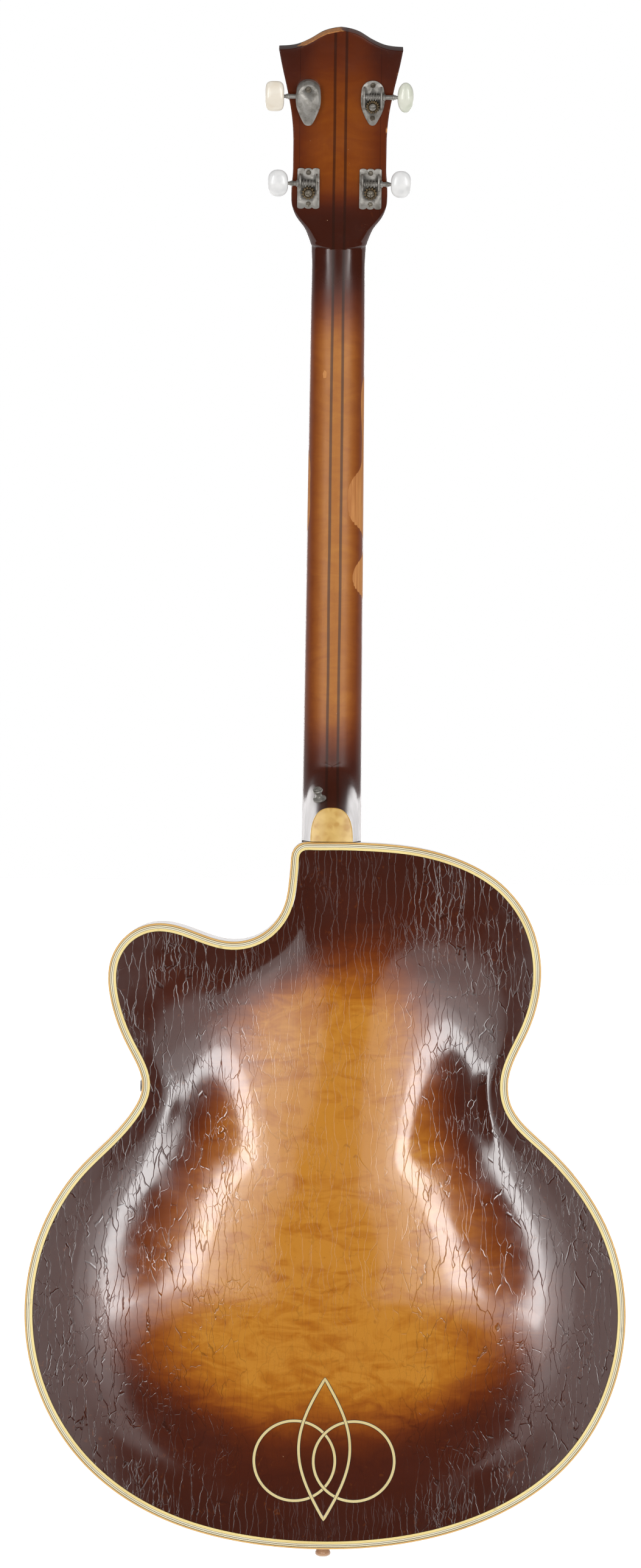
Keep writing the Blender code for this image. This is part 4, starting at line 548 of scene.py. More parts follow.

# %% [markdown]
# ## Pearl, metal, wood and string
#
# The other finishes are short. Pearl celluloid is cells of slightly different tints, twisted by
# noise. Old plating is bright metal with dull grey clouds. Fretted wood is streaked along its
# length, and a wound string is a fine ridge that repeats along the string, with painted shade in
# the grooves between windings and a painted highlight on their crests.

# %% Pearl
def pearl(name, light, dark, cell=0.004, mottle=0.6):
    """Two tints in twisted patches."""
    made, shader, where = new_finish(name, Coat_Weight=0.4, Coat_Roughness=0.08)
    twisted = shaken(where, 0.8 / cell, 2.0, cell, 0.0)
    cells = add_node(where, "ShaderNodeTexVoronoi", {"Vector": twisted, "Scale": 1 / cell},
                     feature="SMOOTH_F1")
    patch = split(Wire(cells.outputs["Color"]), "X")
    fill(shader, {"Base Color": blend(patch * mottle, light, dark),
                  "Roughness": 0.16 + noise(where, 200.0) * 0.14})
    return made


HEEL_PEARL = pearl("heel_pearl", colour(226, 190, 112), colour(190, 140, 62), 0.0045, 0.9)
IVORY_PEARL = pearl("ivory_pearl", colour(244, 236, 220), colour(230, 216, 192), 0.005, 0.6)
GREEN_PEARL = pearl("greenish_pearl", colour(232, 232, 216), colour(206, 210, 190), 0.004, 0.8)
WHITE_PEARL = pearl("white_pearl", colour(242, 241, 238), colour(222, 222, 220), 0.004, 0.8)
PIN_HORN = pearl("pin_horn", colour(224, 180, 140), colour(190, 132, 90), 0.006, 0.7)
BONE = pearl("nut_bone", colour(226, 214, 180), colour(206, 188, 146), 0.008, 0.5)

# %% Metals
def metal_group():
    """Tarnish is cloudy noise of a given size, and scratches are noise drawn out one way."""
    place, size, end = new_group("Tarnish", ("Tarnish", "Scratches"), Size=0.006)
    scratch = noise(stretched(place, 300.0, 300.0, 3200.0), 1.0, 2.0, 0.5, 0.3)
    fill(end, {"Tarnish": rise(noise(place, 1.0 / size, 5.0, 0.65), 0.38, 0.72),
               "Scratches": rise(scratch, 0.5, 0.8)})
    return end.id_data


TARNISH = metal_group()


def metal(name, bright, dull, rough=0.26, bare=1.0):
    """Bright metal that turns dull and rougher under its tarnish. Bare is the share of the
    surface that still mirrors; the rest is covered by a grey film."""
    made, shader, where = new_finish(name, Metallic=bare)
    age = use_group(TARNISH, Place=where)
    fill(shader, {"Base Color": blend(age["Tarnish"], bright, dull),
                  "Roughness": rough + age["Tarnish"] * 0.22, "Normal": bump(age["Scratches"], 0.00003)})
    return made


NICKEL = metal("aged_nickel", colour(160, 156, 149), colour(116, 111, 102), 0.36, bare=0.5)
DARK_NICKEL = metal("dull_nickel", colour(140, 132, 118), colour(88, 78, 64), 0.36, bare=0.5)
BRASS = metal("aged_brass", colour(118, 98, 68), colour(66, 54, 40), 0.34, bare=0.55)
STEEL = metal("fret_steel", colour(178, 176, 170), colour(128, 124, 116), 0.24)

# %% Woods and plain lacquers
def wood(name, light, dark, rough=0.5, fine=700.0, long=24.0, coat=0.0):
    """Streaks along the length, with pores."""
    made, shader, where = new_finish(name, Coat_Weight=coat, Coat_Roughness=0.12)
    broad = noise(stretched(where, 60.0, 60.0, 5.0), 1.0, 4.0, 0.6, 0.6)
    pores = noise(stretched(where, fine, fine, long), 1.0, 3.0, 0.6)
    mixed = broad * 0.6 + pores * 0.4
    fill(shader, {"Base Color": blend(rise(mixed, 0.35, 0.65), light, dark),
                  "Roughness": rough + pores * 0.15, "Normal": bump(pores, 0.00008)})
    return made


ROSEWOOD = wood("rosewood", colour(74, 44, 32), colour(34, 20, 15), 0.38)
SPRUCE = wood("spruce", colour(214, 180, 128), colour(184, 146, 96), 0.6, 480.0, 10.0)
BLOCK_WOOD = wood("block_wood", colour(196, 158, 108), colour(166, 126, 80), 0.6)
BLACK_FACE = wood("black_face", colour(26, 23, 21), colour(14, 12, 11), 0.16, 300.0, 30.0, 0.4)

# %% Wound strings
WRAP_PITCH = 0.0007


def string_finish():
    """A ridge every pitch: the sine of the length along the string, which the mesh carries. Its
    grooves get painted shade and its crests a painted highlight.
    """
    made, shader, where = new_finish("wound_string", Metallic=1.0)
    turns = attribute(where, "along") * (2 * math.pi / WRAP_PITCH)
    ridge = turns.sum("SINE", turns)
    # Painted shade in the grooves between windings and a painted highlight on their crests.
    shade = blend(rise(ridge, -0.9, 0.5), colour(104, 98, 88), colour(182, 178, 168))
    fill(shader, {"Base Color": shade, "Roughness": 0.28 + noise(where, 60.0) * 0.2,
                  "Normal": bump(ridge, 0.00005)})
    return made


STRING = string_finish()

# %% [markdown]
# ## The body's outline
#
# The outline is a closed spline through a few dozen places, which are shares of the body's
# width and length. A spline is solved for all its points at once, so it has no kinks. It is
# then sampled at even steps of its length, so that every skin laid along it has even faces.

# %% A closed spline, sampled evenly
BODY_WIDTH = 0.4457
BODY_LENGTH = 0.5243
TAIL_Z = 0.0100
EDGE_Y = 0.0365
RIM_Y = 0.0300
BINDING_WIDTH = 0.0059
GAP = 0.0003
ROUND = 420
OUTLINE = (
    (0.00000, 0.00000), (0.13238, 0.00839), (0.28360, 0.04635), (0.40094, 0.11749),
    (0.48149, 0.23021), (0.50123, 0.33321), (0.48441, 0.42628), (0.41799, 0.53023),
    (0.32802, 0.61377), (0.31007, 0.65039), (0.33453, 0.70666), (0.36280, 0.76826),
    (0.36504, 0.82968), (0.33498, 0.86763), (0.28943, 0.88232), (0.22953, 0.87240),
    (0.16199, 0.85752), (0.11667, 0.86782), (0.07920, 0.90540), (0.06978, 0.94679),
    (0.06776, 0.96891), (0.06394, 0.98798), (0.05048, 0.99828), (0.02917, 0.99981),
    (0.00000, 1.00000), (-0.06731, 0.99905), (-0.12699, 0.99523), (-0.20821, 0.97902),
    (-0.28966, 0.93935), (-0.33812, 0.87870), (-0.35136, 0.81633), (-0.33004, 0.73412),
    (-0.29841, 0.66088), (-0.30424, 0.63056), (-0.35652, 0.57963), (-0.42428, 0.51821),
    (-0.47274, 0.44650), (-0.49877, 0.32806), (-0.47902, 0.22983), (-0.40857, 0.12588),
    (-0.29212, 0.05226), (-0.17119, 0.01583),
)
NECK_U = 24
LAST_U = len(OUTLINE)


def closed_spline(points):
    """A closed cubic spline. Its bends m solve h0 m0 + 2 (h0 + h1) m1 + h1 m2 = 6 (slope after
    - slope before) at every point. Returns a function from u to places and unit tangents."""
    after = np.roll(points, -1, axis=0)
    count = len(points)
    steps = np.linalg.norm(after - points, axis=1)
    before = np.roll(steps, 1)
    slopes = (after - points) / steps[:, None]
    index = np.arange(count)
    system = np.zeros((count, count))
    system[index, index] = 2 * (before + steps)
    system[index, (index + 1) % count] = steps
    system[index, index - 1] = before
    bends = np.linalg.solve(system, 6 * (slopes - np.roll(slopes, 1, axis=0)))

    def at(u):
        i = np.floor(u).astype(int) % count
        j = (i + 1) % count
        t = (u - np.floor(u))[:, None]
        a = 1 - t
        step = steps[i][:, None]
        place = a * points[i] + t * points[j]
        place = place + step**2 / 6 * ((a**3 - a) * bends[i] + (t**3 - t) * bends[j])
        slope = slopes[i] - step / 6 * (3 * a**2 - 1) * bends[i] + step / 6 * (3 * t**2 - 1) * bends[j]
        return place, slope / np.linalg.norm(slope, axis=1)[:, None]

    return at


outline_at = closed_spline(np.array(OUTLINE) * (BODY_WIDTH, BODY_LENGTH))


def inset(u, distance):
    """The outline's x and z at u, moved inward: place + distance x (-tangent z, tangent x)."""
    place, tangent = outline_at(np.atleast_1d(np.asarray(u, float)))
    inward = np.stack((-tangent[:, 1], tangent[:, 0]), axis=1)
    return place + distance * inward + (0.0, TAIL_Z)


def even_steps(low, high, count, closed=False):
    """Parameters at even steps of the outline's length between two parameters."""
    fine = np.linspace(low, high, 4001)
    places = inset(fine, 0.0)
    run = np.append(0, np.cumsum(np.linalg.norm(np.diff(places, axis=0), axis=1)))
    return np.interp(np.linspace(0, run[-1], count, endpoint=not closed), run, fine)


def crossing(x, low, high):
    """The parameter between low and high where the outline is nearest to a given x."""
    fine = np.linspace(low, high, 2001)
    return float(fine[np.argmin(np.abs(inset(fine, 0.0)[:, 0] - x))])


ROUND_U = even_steps(0, LAST_U, ROUND, closed=True)
EDGE_PLACES = inset(ROUND_U, 0.0)
print("outline length:", round(float(np.linalg.norm(np.diff(EDGE_PLACES, axis=0), axis=1).sum()), 3), "m")

# %% [markdown]
# ## Where the sunburst is light and dark
#
# The spray gun follows the edge, so the burst's darkness depends on the distance to the
# outline. The amber field in the middle is a tall pear shape, given by its half width at each
# height and faded out below and above. Both are worked out for all points at once.

# %% Burst and cracking at any place
AMBER_HALF = np.array((
    (0.06, 0.030), (0.10, 0.075), (0.14, 0.112), (0.18, 0.124), (0.23, 0.108), (0.31, 0.076),
    (0.40, 0.060), (0.44, 0.046), (0.48, 0.030)))
SCUFF = (0.0442, 0.2900)


def flowing(table, value):
    """A smooth curve through a table: cubic pieces whose slopes are the mean of the slopes on
    both sides, or 0 where those differ in sign."""
    x, y = table[:, 0], table[:, 1]
    steps = np.diff(y) / np.diff(x)
    inner = (steps[1:] + steps[:-1]) / 2 * (steps[1:] * steps[:-1] > 0)
    slopes = np.concatenate((steps[:1], inner, steps[-1:]))
    value = np.clip(value, x[0], x[-1])
    i = np.clip(np.searchsorted(x, value, side="right") - 1, 0, len(steps) - 1)
    width = x[i + 1] - x[i]
    t = (value - x[i]) / width
    return ((2 * t**3 - 3 * t**2 + 1) * y[i] + (t**3 - 2 * t**2 + t) * width * slopes[i]
            + (3 * t**2 - 2 * t**3) * y[i + 1] + (t**3 - t**2) * width * slopes[i + 1])


def edge_distance(points):
    """The least distance in x and z to the outline, in blocks, to spare memory."""
    flat = np.asarray(points, float).reshape(-1, 3)[:, (0, 2)]
    found = np.empty(len(flat))
    for start in range(0, len(flat), 8000):
        block = flat[start:start + 8000, None] - EDGE_PLACES[None]
        found[start:start + 8000] = np.sqrt((block**2).sum(axis=2)).min(axis=1)
    return found


def body_paint(points):
    """Burst: dark, less dark away from the edge, and light in a pear-shaped field given by its
    half width at each height. Cracking is strongest on the flanks. One scuff is worn."""
    flat = np.asarray(points, float).reshape(-1, 3)
    distance = edge_distance(points)
    up = flat[:, 2] - TAIL_Z
    amber = 1 - ease(0.55, 1.60, np.abs(flat[:, 0]) / flowing(AMBER_HALF, up))
    amber = amber * ease(0.060, 0.132, up) * (1 - ease(0.385, 0.475, up))
    burst = 0.04 + 0.14 * ease(0.006, 0.070, distance) + 0.80 * amber * ease(0.008, 0.060, distance)
    cracking = 0.35 + 0.65 * ease(0.045, 0.085, np.abs(flat[:, 0]))
    off = np.hypot((flat[:, 0] - SCUFF[0]) / 0.0085, (flat[:, 2] - SCUFF[1]) / 0.0070)
    worn = 0.56 * (1 - ease(0.4, 1.4, off)) * (flat[:, 1] > 0)
    return {"burst": burst, "cracking": cracking, "worn": worn}


# %% [markdown]
# ## The carved plates
#
# The back and the top are carved from thick wood: flat at the edge, then a slight hollow, then
# a long swell. Each plate is a set of rings. A ring is the outline drawn towards the middle,
# and it slowly loses the corners and the cutaway, so that the swell is even. Its height follows
# 6x^2 - 8x^3 + 3x^4, which is flat at both ends. Sculpting would look alike, but a formula also
# tells other pieces where the surface is.

# %% Rings, heights and the level at any place
BACK_ARCH = 0.0200
TOP_ARCH = 0.0210
RECURVE_SHARE = 0.08
CENTRE = np.array((0.0, 0.2500 + TAIL_Z))
STEPS = 1 - np.linspace(0, 1, 48)[:-1] ** 1.15
THIN_STEPS = np.linspace(1.0, 0.08, 12)


def arch_share(step):
    """0 at the hollow and 1 in the middle: 6x^2 - 8x^3 + 3x^4."""
    x = np.clip((1 - step - RECURVE_SHARE) / (1 - RECURVE_SHARE), 0, 1)
    return 6 * x**2 - 8 * x**3 + 3 * x**4


def smooth_min(a, b, width):
    """The smaller of two lengths, rounded where they are close: -w log(exp(-a/w) + exp(-b/w))."""
    return -width * np.log(np.exp(-a / width) + np.exp(-b / width))


def plate_rings(steps):
    """Places (x, z) of each ring: step x a radius. The outline's radius soon loses its quick
    waves, each by exp(-(k/9)^2), and further in all but the four slowest. A smooth minimum
    keeps both of these inside the outline."""
    edge = inset(ROUND_U, BINDING_WIDTH + GAP) - CENTRE
    radii = np.linalg.norm(edge, axis=1)
    angles = np.unwrap(np.arctan2(edge[:, 1], edge[:, 0]))
    full = 2 * math.pi
    even = np.linspace(angles[0], angles[0] + full, 128, endpoint=False)
    plain = np.interp(even, np.append(angles, angles[0] + full), np.append(radii, radii[0]))

    def over(values):
        """Values at the even steps, read at the outline's own angles."""
        return np.interp(angles, np.append(even, even[0] + full), np.append(values, values[0]))

    waves = np.fft.rfft(plain)
    k = np.arange(len(waves))
    slow = smooth_min(np.fft.irfft(np.where(k < 4, waves, 0), 128), plain, 0.010)
    slow = over(np.fft.irfft(np.fft.rfft(slow) * np.exp(-(k / 6) ** 2), 128))
    soft = over(np.fft.irfft(waves * np.exp(-(k / 9) ** 2), 128))
    soft = smooth_min(soft, radii, 0.007)
    shape = radii + (soft - radii) * ease(0, 0.11, 1 - steps)[:, None]
    radius = steps[:, None] * (shape + (slow - shape) * ease(0, 0.24, 1 - steps)[:, None])
    directions = np.stack((np.cos(angles), np.sin(angles)), axis=1)
    return CENTRE + radius[:, :, None] * directions


def plate_surface(steps, side, edge_y, rise):
    """Rings of a plate's skin: y is side x (edge + rise x arch share)."""
    places = plate_rings(steps)
    y = side * (edge_y + rise * arch_share(steps))
    y = np.broadcast_to(y[:, None], places.shape[:2])
    return np.stack((places[:, :, 0], y, places[:, :, 1]), axis=-1)


LEVEL_STEPS = np.linspace(1, 0, 160)
LEVEL_RINGS = plate_rings(LEVEL_STEPS) - CENTRE


def plate_level(x, z, side=1, rise=BACK_ARCH):
    """The skin's y at (x, z): the ring that passes there is found along the same direction."""
    x, z = np.broadcast_arrays(np.asarray(x, float), np.asarray(z, float))
    off = np.stack((x.ravel(), z.ravel()), axis=1) - CENTRE
    radius = np.linalg.norm(off, axis=1)
    angle = np.arctan2(off[:, 1], off[:, 0])
    ring_angles = np.unwrap(np.arctan2(LEVEL_RINGS[0, :, 1], LEVEL_RINGS[0, :, 0]))
    start = ring_angles[0]
    angle = start + np.mod(angle - start, 2 * math.pi)
    table = np.append(ring_angles, start + 2 * math.pi)
    sizes = np.linalg.norm(LEVEL_RINGS, axis=2)
    at = np.stack([np.interp(angle, table, np.append(row, row[0])) for row in sizes])
    low = np.clip((at > radius).sum(axis=0), 1, len(at) - 1)
    outer = np.take_along_axis(at, low[None] - 1, axis=0)[0]
    inner = np.take_along_axis(at, low[None], axis=0)[0]
    part = np.clip((outer - radius) / np.maximum(outer - inner, 1e-9), 0, 1)
    step = LEVEL_STEPS[low - 1] + part * (LEVEL_STEPS[low] - LEVEL_STEPS[low - 1])
    return (side * (EDGE_Y + rise * arch_share(step))).reshape(x.shape)


def carved_plate(name, side, arch):
    """A closed shell: inner skin from the middle out, then the edge, then the outer skin in."""
    inner = plate_surface(THIN_STEPS, side, RIM_Y, arch + EDGE_Y - RIM_Y - 0.0050)[::-1]
    outer = plate_surface(STEPS, side, EDGE_Y, arch)
    return skin(name, np.concatenate((inner, outer)), BODY_LACQUER, attributes=body_paint)


back_skin = carved_plate("back_skin", 1, BACK_ARCH)
settle(back_skin, "instrument", "sunburst", "back_plate")
top_skin = carved_plate("top_skin", -1, TOP_ARCH)
print("back:", len(back_skin.data.polygons), "faces")

# %% [markdown]
# ## The f-holes
#
# The top has a pair of f-shaped holes: a leaning stem that swells in the middle, with a round
# eye at each end. Each shape is a flat outline given depth, and a Boolean cuts it out. The cut
# is worked into the mesh straight away, so the finished piece carries no live modifiers. The
# new points along the cut then get their paint from their place, like all others.

# %% Cutting the f-holes
F_PLACE = (0.0860, 0.2080)
F_LENGTH = 0.1300
F_WIDTH = 0.0110
F_EYE = 0.0085
CUT_DEPTHS = (-0.0900, -0.0100)


def f_line(share):
    """The stem's middle line: it leans by 0.12 of its length and sways as a sine."""
    x = F_PLACE[0] - 0.06 * F_LENGTH * share + 0.5 * F_EYE * np.sin(share * math.pi)
    return x, F_PLACE[1] + TAIL_Z + share * F_LENGTH / 2


def f_cutters(sign):
    """A stem and two eyes as flat outlines in x and z, given depth along y."""
    share = np.linspace(-1, 1, 33)
    x, z = f_line(share)
    half = F_WIDTH / 2 * (1 - 0.45 * np.abs(share) ** 1.5)
    stem = np.concatenate((np.stack((x + half, z), 1), np.stack((x - half, z), 1)[::-1]))
    shapes = [stem]
    for end, way in ((-1.0, 1), (1.0, -1)):
        x, z = f_line(np.array(end))
        angles = full_turn(40)
        across = x - way * 0.6 * F_EYE + F_EYE * np.cos(angles)
        shapes.append(np.stack((across, z + F_EYE * np.sin(angles)), 1))
    return [skin(f"f_cutter_{k}", [np.insert(shape * (sign, 1), 1, y, axis=1) for y in CUT_DEPTHS], ROSEWOOD)
            for k, shape in enumerate(shapes)]


cut_by(top_skin, f_cutters(1) + f_cutters(-1))
points = np.empty((len(top_skin.data.vertices), 3))
top_skin.data.vertices.foreach_get("co", points.ravel())
for label, values in body_paint(points).items():
    top_skin.data.attributes[label].data.foreach_set("value", values)
settle(top_skin, "instrument", "sunburst", "top_plate")
print("top after cutting:", len(top_skin.data.polygons), "faces")

# %% [markdown]
# ## Ribs and bindings
#
# The ribs are thin strips bent round the outline. They are dark, with a little red in the
# middle of their height. The bindings are strips in a ledge cut round each edge. A binding's
# section is a small rectangle with its outer corner scraped round, carried along the outline,
# and every point keeps its depth from the outside for the plies.

# %% Ribs
RIB_THICKNESS = 0.0030
TENON_EDGE = 0.0123
RIB_ENDS = {
    "rib_treble": (crossing(GAP / 2, 0, 1), crossing(TENON_EDGE, NECK_U - 1, NECK_U)),
    "rib_bass": (crossing(-TENON_EDGE, NECK_U, NECK_U + 1), crossing(-GAP / 2, LAST_U - 1, LAST_U)),
}


def bent_strip(name, u, section, finish, attributes, closed=False):
    """A section of (inset, y) pairs carried along the outline."""
    columns = [np.insert(inset(u, depth), 1, y, axis=1) for depth, y in section]
    return skin(name, np.stack(columns, axis=1), finish, closed, attributes=attributes)


def rib_paint(points):
    """Nearly black by the bindings and a little redder half way between them."""
    y = np.asarray(points, float).reshape(-1, 3)[:, 1]
    burst = 0.14 + 0.30 * (1 - (y / RIM_Y) ** 2)
    return {"burst": burst, "cracking": np.full(len(y), 0.8)}


rib_levels = np.linspace(-RIM_Y + GAP, RIM_Y - GAP, 13)
rib_section = [(0.0, y) for y in rib_levels] + [(RIB_THICKNESS, y) for y in rib_levels[::-1]]
for name, (low, high) in RIB_ENDS.items():
    rib = bent_strip(f"{name}_skin", even_steps(low, high, 240), rib_section, RIB_LACQUER, rib_paint)
    settle(rib, "instrument", "sunburst", name)

# %% Bindings
SCRAPED = 0.0011
turns = np.linspace(0, math.pi / 2, 6)
corner = [(SCRAPED * (1 - math.cos(t)), EDGE_Y - SCRAPED * (1 - math.sin(t))) for t in turns]
flat_depths = (0.0018, 0.0026, 0.0036, 0.0048, BINDING_WIDTH)
binding_section = [(0.0, RIM_Y)] + corner + [(d, EDGE_Y) for d in flat_depths] + [(BINDING_WIDTH, RIM_Y)]
for name, side in (("binding_back", 1), ("binding_top", -1)):
    section = [(depth, side * y) for depth, y in binding_section]
    depths = np.tile([depth for depth, _ in section], ROUND)
    strip = bent_strip(f"{name}_plies", ROUND_U, section, BINDING, {"depth": depths}, closed=True)
    settle(strip, "instrument", "cream", name)
print("binding depth:", round((EDGE_Y - RIM_Y) * 1000, 1), "mm")

# %% [markdown]
# ## The line ornament on the back
#
# A plain interlaced figure is let into the lower back: two round loops side by side and one
# tall pointed loop. Each line is a narrow ribbon, cream between two thin black edges. It is a
# strip across the line's normal, and its height comes from the plate's own formula, so it lies
# on the curve. Where ribbons cross, one lies a hair above the other, which looks interlaced.

# %% Ribbons that follow the back
ORNAMENT_UP = 0.0720 + TAIL_Z
LOOP_RADIUS = 0.0300
LOOP_SPREAD = 0.0220
LOOP_DROP = 0.0060
POINT_RISE = 0.0560
POINT_DROP = 0.0500
POINT_HALF = 0.0190
RIBBON_PLIES = ((0.0004, colour(30, 20, 14)), (0.0019, colour(226, 208, 150)), (0.0004, colour(30, 20, 14)))
RIBBON_WIDTH = sum(width for width, _ in RIBBON_PLIES)
RIBBON_FINISH = celluloid("ribbon_plies", RIBBON_PLIES)


def ornament_lines():
    """Middle lines (x, z): circles, and width = sine of the share of the height."""
    t = full_turn(120)
    across, up = LOOP_RADIUS * np.cos(t), LOOP_RADIUS * np.sin(t) - LOOP_DROP
    lines = [np.stack((side * LOOP_SPREAD + across, up), 1) for side in (1, -1)]
    share = np.linspace(0, 1, 61)
    height = -POINT_DROP + (POINT_RISE + POINT_DROP) * share
    width = POINT_HALF * np.sin(math.pi * share)
    right = np.stack((width, height), 1)
    left = np.stack((-width, height), 1)[::-1][1:-1]
    lines.append(np.concatenate((right, left)))
    return [line + (0.0, ORNAMENT_UP) for line in lines]


def ribbon(name, line, lift):
    """Across each point of the line, a thin section from one edge to the other."""
    way = np.roll(line, -1, 0) - np.roll(line, 1, 0)
    way = way / np.linalg.norm(way, axis=1)[:, None]
    normal = np.stack((-way[:, 1], way[:, 0]), 1)
    section = ((-0.5, -0.4), (-0.5, 0.7), (-0.38, 1.0), (0.0, 1.0), (0.38, 1.0), (0.5, 0.7), (0.5, -0.4))
    rings = []
    for across, high in section:
        x, z = (line + across * RIBBON_WIDTH * normal).T
        rings.append(np.stack((x, plate_level(x, z) + high * lift, z), 1))
    depths = np.tile([(across + 0.5) * RIBBON_WIDTH for across, _ in section], len(line))
    return skin(name, np.stack(rings, axis=1), RIBBON_FINISH, closed=True, attributes={"depth": depths})


parts = [ribbon(f"ribbon_{k}", line, 0.00010 + 0.00004 * k) for k, line in enumerate(ornament_lines())]
settle(joined("back_ornament", parts), "instrument", "cream", "back_inlay")

# %% [markdown]
# ## Neck, heel and head from one block
#
# The neck runs from its heel on the body to the crown of the head. In a plane across it, the
# back of the neck is half a rounded oval, and the heel is a narrowing tongue that stands out
# behind it. Both are given as a half width at each depth. The wider one counts, with a small
# smooth blend where they meet, so neck and heel flow together without a seam. The head is the
# same section with a wide flat back. Rings like that, closely spaced, make one skin.

# %% The neck's own places
NECK_ANGLE = math.radians(4.4)
HEAD_ANGLE = math.radians(14)
BOARD_RISE = 0.0160
BOARD_THICKNESS = 0.0060
JOINT_Z = TAIL_Z + BODY_LENGTH
SCALE_LENGTH = 0.7620
NUT_S = SCALE_LENGTH * (1 - 2 ** (-15 / 12))
NUT_THICKNESS = 0.0050
NECK_BASE = BOARD_THICKNESS + GAP


def neck_place(x, s, h):
    """x across, s up the fingerboard's line from the body joint, h behind its face."""
    x, s, h = np.broadcast_arrays(x, s, h)
    y = -(EDGE_Y + BOARD_RISE) + s * math.sin(NECK_ANGLE) + h * math.cos(NECK_ANGLE)
    z = JOINT_Z + s * math.cos(NECK_ANGLE) - h * math.sin(NECK_ANGLE)
    return np.stack((x, y, z), axis=-1)


TILT = NECK_ANGLE + HEAD_ANGLE
HEAD_UP = np.array((0.0, math.sin(TILT), math.cos(TILT)))
HEAD_OUT = np.array((0.0, math.cos(TILT), -math.sin(TILT)))
HEAD_ORIGIN = neck_place(0.0, NUT_S + NUT_THICKNESS, NECK_BASE)


def head_place(x, v, h):
    """x across, v up the head from the nut, h behind the head's front face."""
    x, v, h = (c[..., None] for c in np.broadcast_arrays(x, v, h))
    return HEAD_ORIGIN + x * (1.0, 0.0, 0.0) + v * HEAD_UP + h * HEAD_OUT


# %% The half width at each depth
NECK_HALVES = (0.02235, 0.0200)
NECK_DEPTHS = (0.0190, 0.0155)
NECK_WALL = 0.0045
HEAD_THICKNESS = 0.0150
HEEL_TOP_Y = EDGE_Y - GAP
HEEL_Y = np.array((-0.0300, -0.0200, -0.0080, 0.0080, 0.0240, HEEL_TOP_Y))
HEEL_HALF = np.array((0.0205, 0.0200, 0.0192, 0.0180, 0.0168, 0.0158))
HEEL_LENGTH = np.array((0.0640, 0.0520, 0.0420, 0.0345, 0.0290, 0.0252))
HEEL_POWER = 2.6
BACK_POWER = 2.2
SIDE_COLUMNS = 26
FLAT_COLUMNS = 25
heel_half = np.polynomial.Polynomial.fit(HEEL_Y, HEEL_HALF, 3)
heel_length = np.polynomial.Polynomial.fit(HEEL_Y, np.log(HEEL_LENGTH), 3)
heel_levels = np.linspace(HEEL_Y[0], HEEL_Y[-1], 200)
heel_tips = np.exp(heel_length(heel_levels))


def smooth_max(a, b, k=0.0018):
    """The larger of two values, with a rounded step of size k where they are close."""
    t = np.clip(0.5 + 0.5 * (a - b) / k, 0, 1)
    return b + (a - b) * t + k * t * (1 - t)


def heel_width(y, up):
    """Half width at level y and height up the heel: half x (1 - (up/length)^p)^(1/p)."""
    level = np.clip(y, HEEL_Y[0], HEEL_Y[-1])
    share = np.clip(up / np.exp(heel_length(level)), 0, 1)
    fade = ease(-0.0480, -0.0300, y)
    return heel_half(level) * (1 - share**HEEL_POWER) ** (1 / HEEL_POWER) * fade


def neck_rings(s, tilt):
    """Rings of the neck from the joint to the nut. Rings at the joint are level with it and
    turn square to the neck as tilt goes from 0 to 1."""
    share = np.clip(s / NUT_S, 0, 1)
    half = NECK_HALVES[0] + (NECK_HALVES[1] - NECK_HALVES[0]) * share
    deep = NECK_DEPTHS[0] + (NECK_DEPTHS[1] - NECK_DEPTHS[0]) * share
    slant = (1 - tilt) * math.tan(NECK_ANGLE)
    reach = deep.copy()
    for _ in range(6):
        back = neck_place(0.0, s + slant * (NECK_BASE + reach), NECK_BASE + reach)
        up = back[:, 2] - JOINT_Z - GAP
        tip = np.interp(up, heel_tips[::-1], heel_levels[::-1])
        wanted = reach + (tip - back[:, 1])
        wanted = np.where(up > HEEL_LENGTH[0], 0.0, wanted)
        reach = smooth_max(deep, np.minimum(wanted, 0.1), 0.004)
    quarter = np.linspace(0, math.pi / 2, SIDE_COLUMNS - 4)
    curve = np.sin(quarter) ** (2 / BACK_POWER)
    walls = np.linspace(0, 1, 5)[:-1]
    h = np.concatenate((walls * NECK_WALL + 0 * s[:, None],
                        NECK_WALL + curve * (reach[:, None] - NECK_WALL)), axis=1)
    q = (h - NECK_WALL) / (deep[:, None] - NECK_WALL)
    oval = (1 - np.clip(q, 0, 1) ** BACK_POWER) ** (1 / BACK_POWER)
    neck = half[:, None] * np.where(q > 1, 1 - q, oval)
    place = neck_place(0.0, s[:, None] + slant[:, None] * (NECK_BASE + h), NECK_BASE + h)
    heel = heel_width(place[..., 1], np.maximum(place[..., 2] - JOINT_Z - GAP, 0))
    width = np.where(heel > 0.0005, smooth_max(neck, heel), neck)
    return np.maximum(width, 0.00006), h


# %% The head's outline
HEAD_SIDE = np.array((
    (0.0000, 0.0201), (0.0074, 0.0225), (0.0168, 0.0263), (0.0263, 0.0324), (0.0358, 0.0353),
    (0.0453, 0.0358), (0.0640, 0.0347), (0.0830, 0.0347), (0.1032, 0.0360), (0.1221, 0.0394),
    (0.1411, 0.0437), (0.1526, 0.0459)))
HEAD_CROWN = np.array((
    (0.0, 0.1672), (0.0060, 0.1663), (0.0133, 0.1640), (0.0229, 0.1583), (0.0314, 0.1545),
    (0.0374, 0.1532), (0.0459, 0.1526)))
HEAD_FLAT = np.array((
    (0.0034, 0.0), (0.0039, 0.0065), (0.0077, 0.0112), (0.0166, 0.0185), (0.0305, 0.0311),
    (0.0358, 0.0353), (0.0420, 0.0480)))
CORNER_V = HEAD_SIDE[-1, 0]
EDGE_ROUND = 0.0009


def crown_rise(x):
    """How far the crown stands above its corners at x."""
    return flowing(HEAD_CROWN, np.abs(x)) - CORNER_V


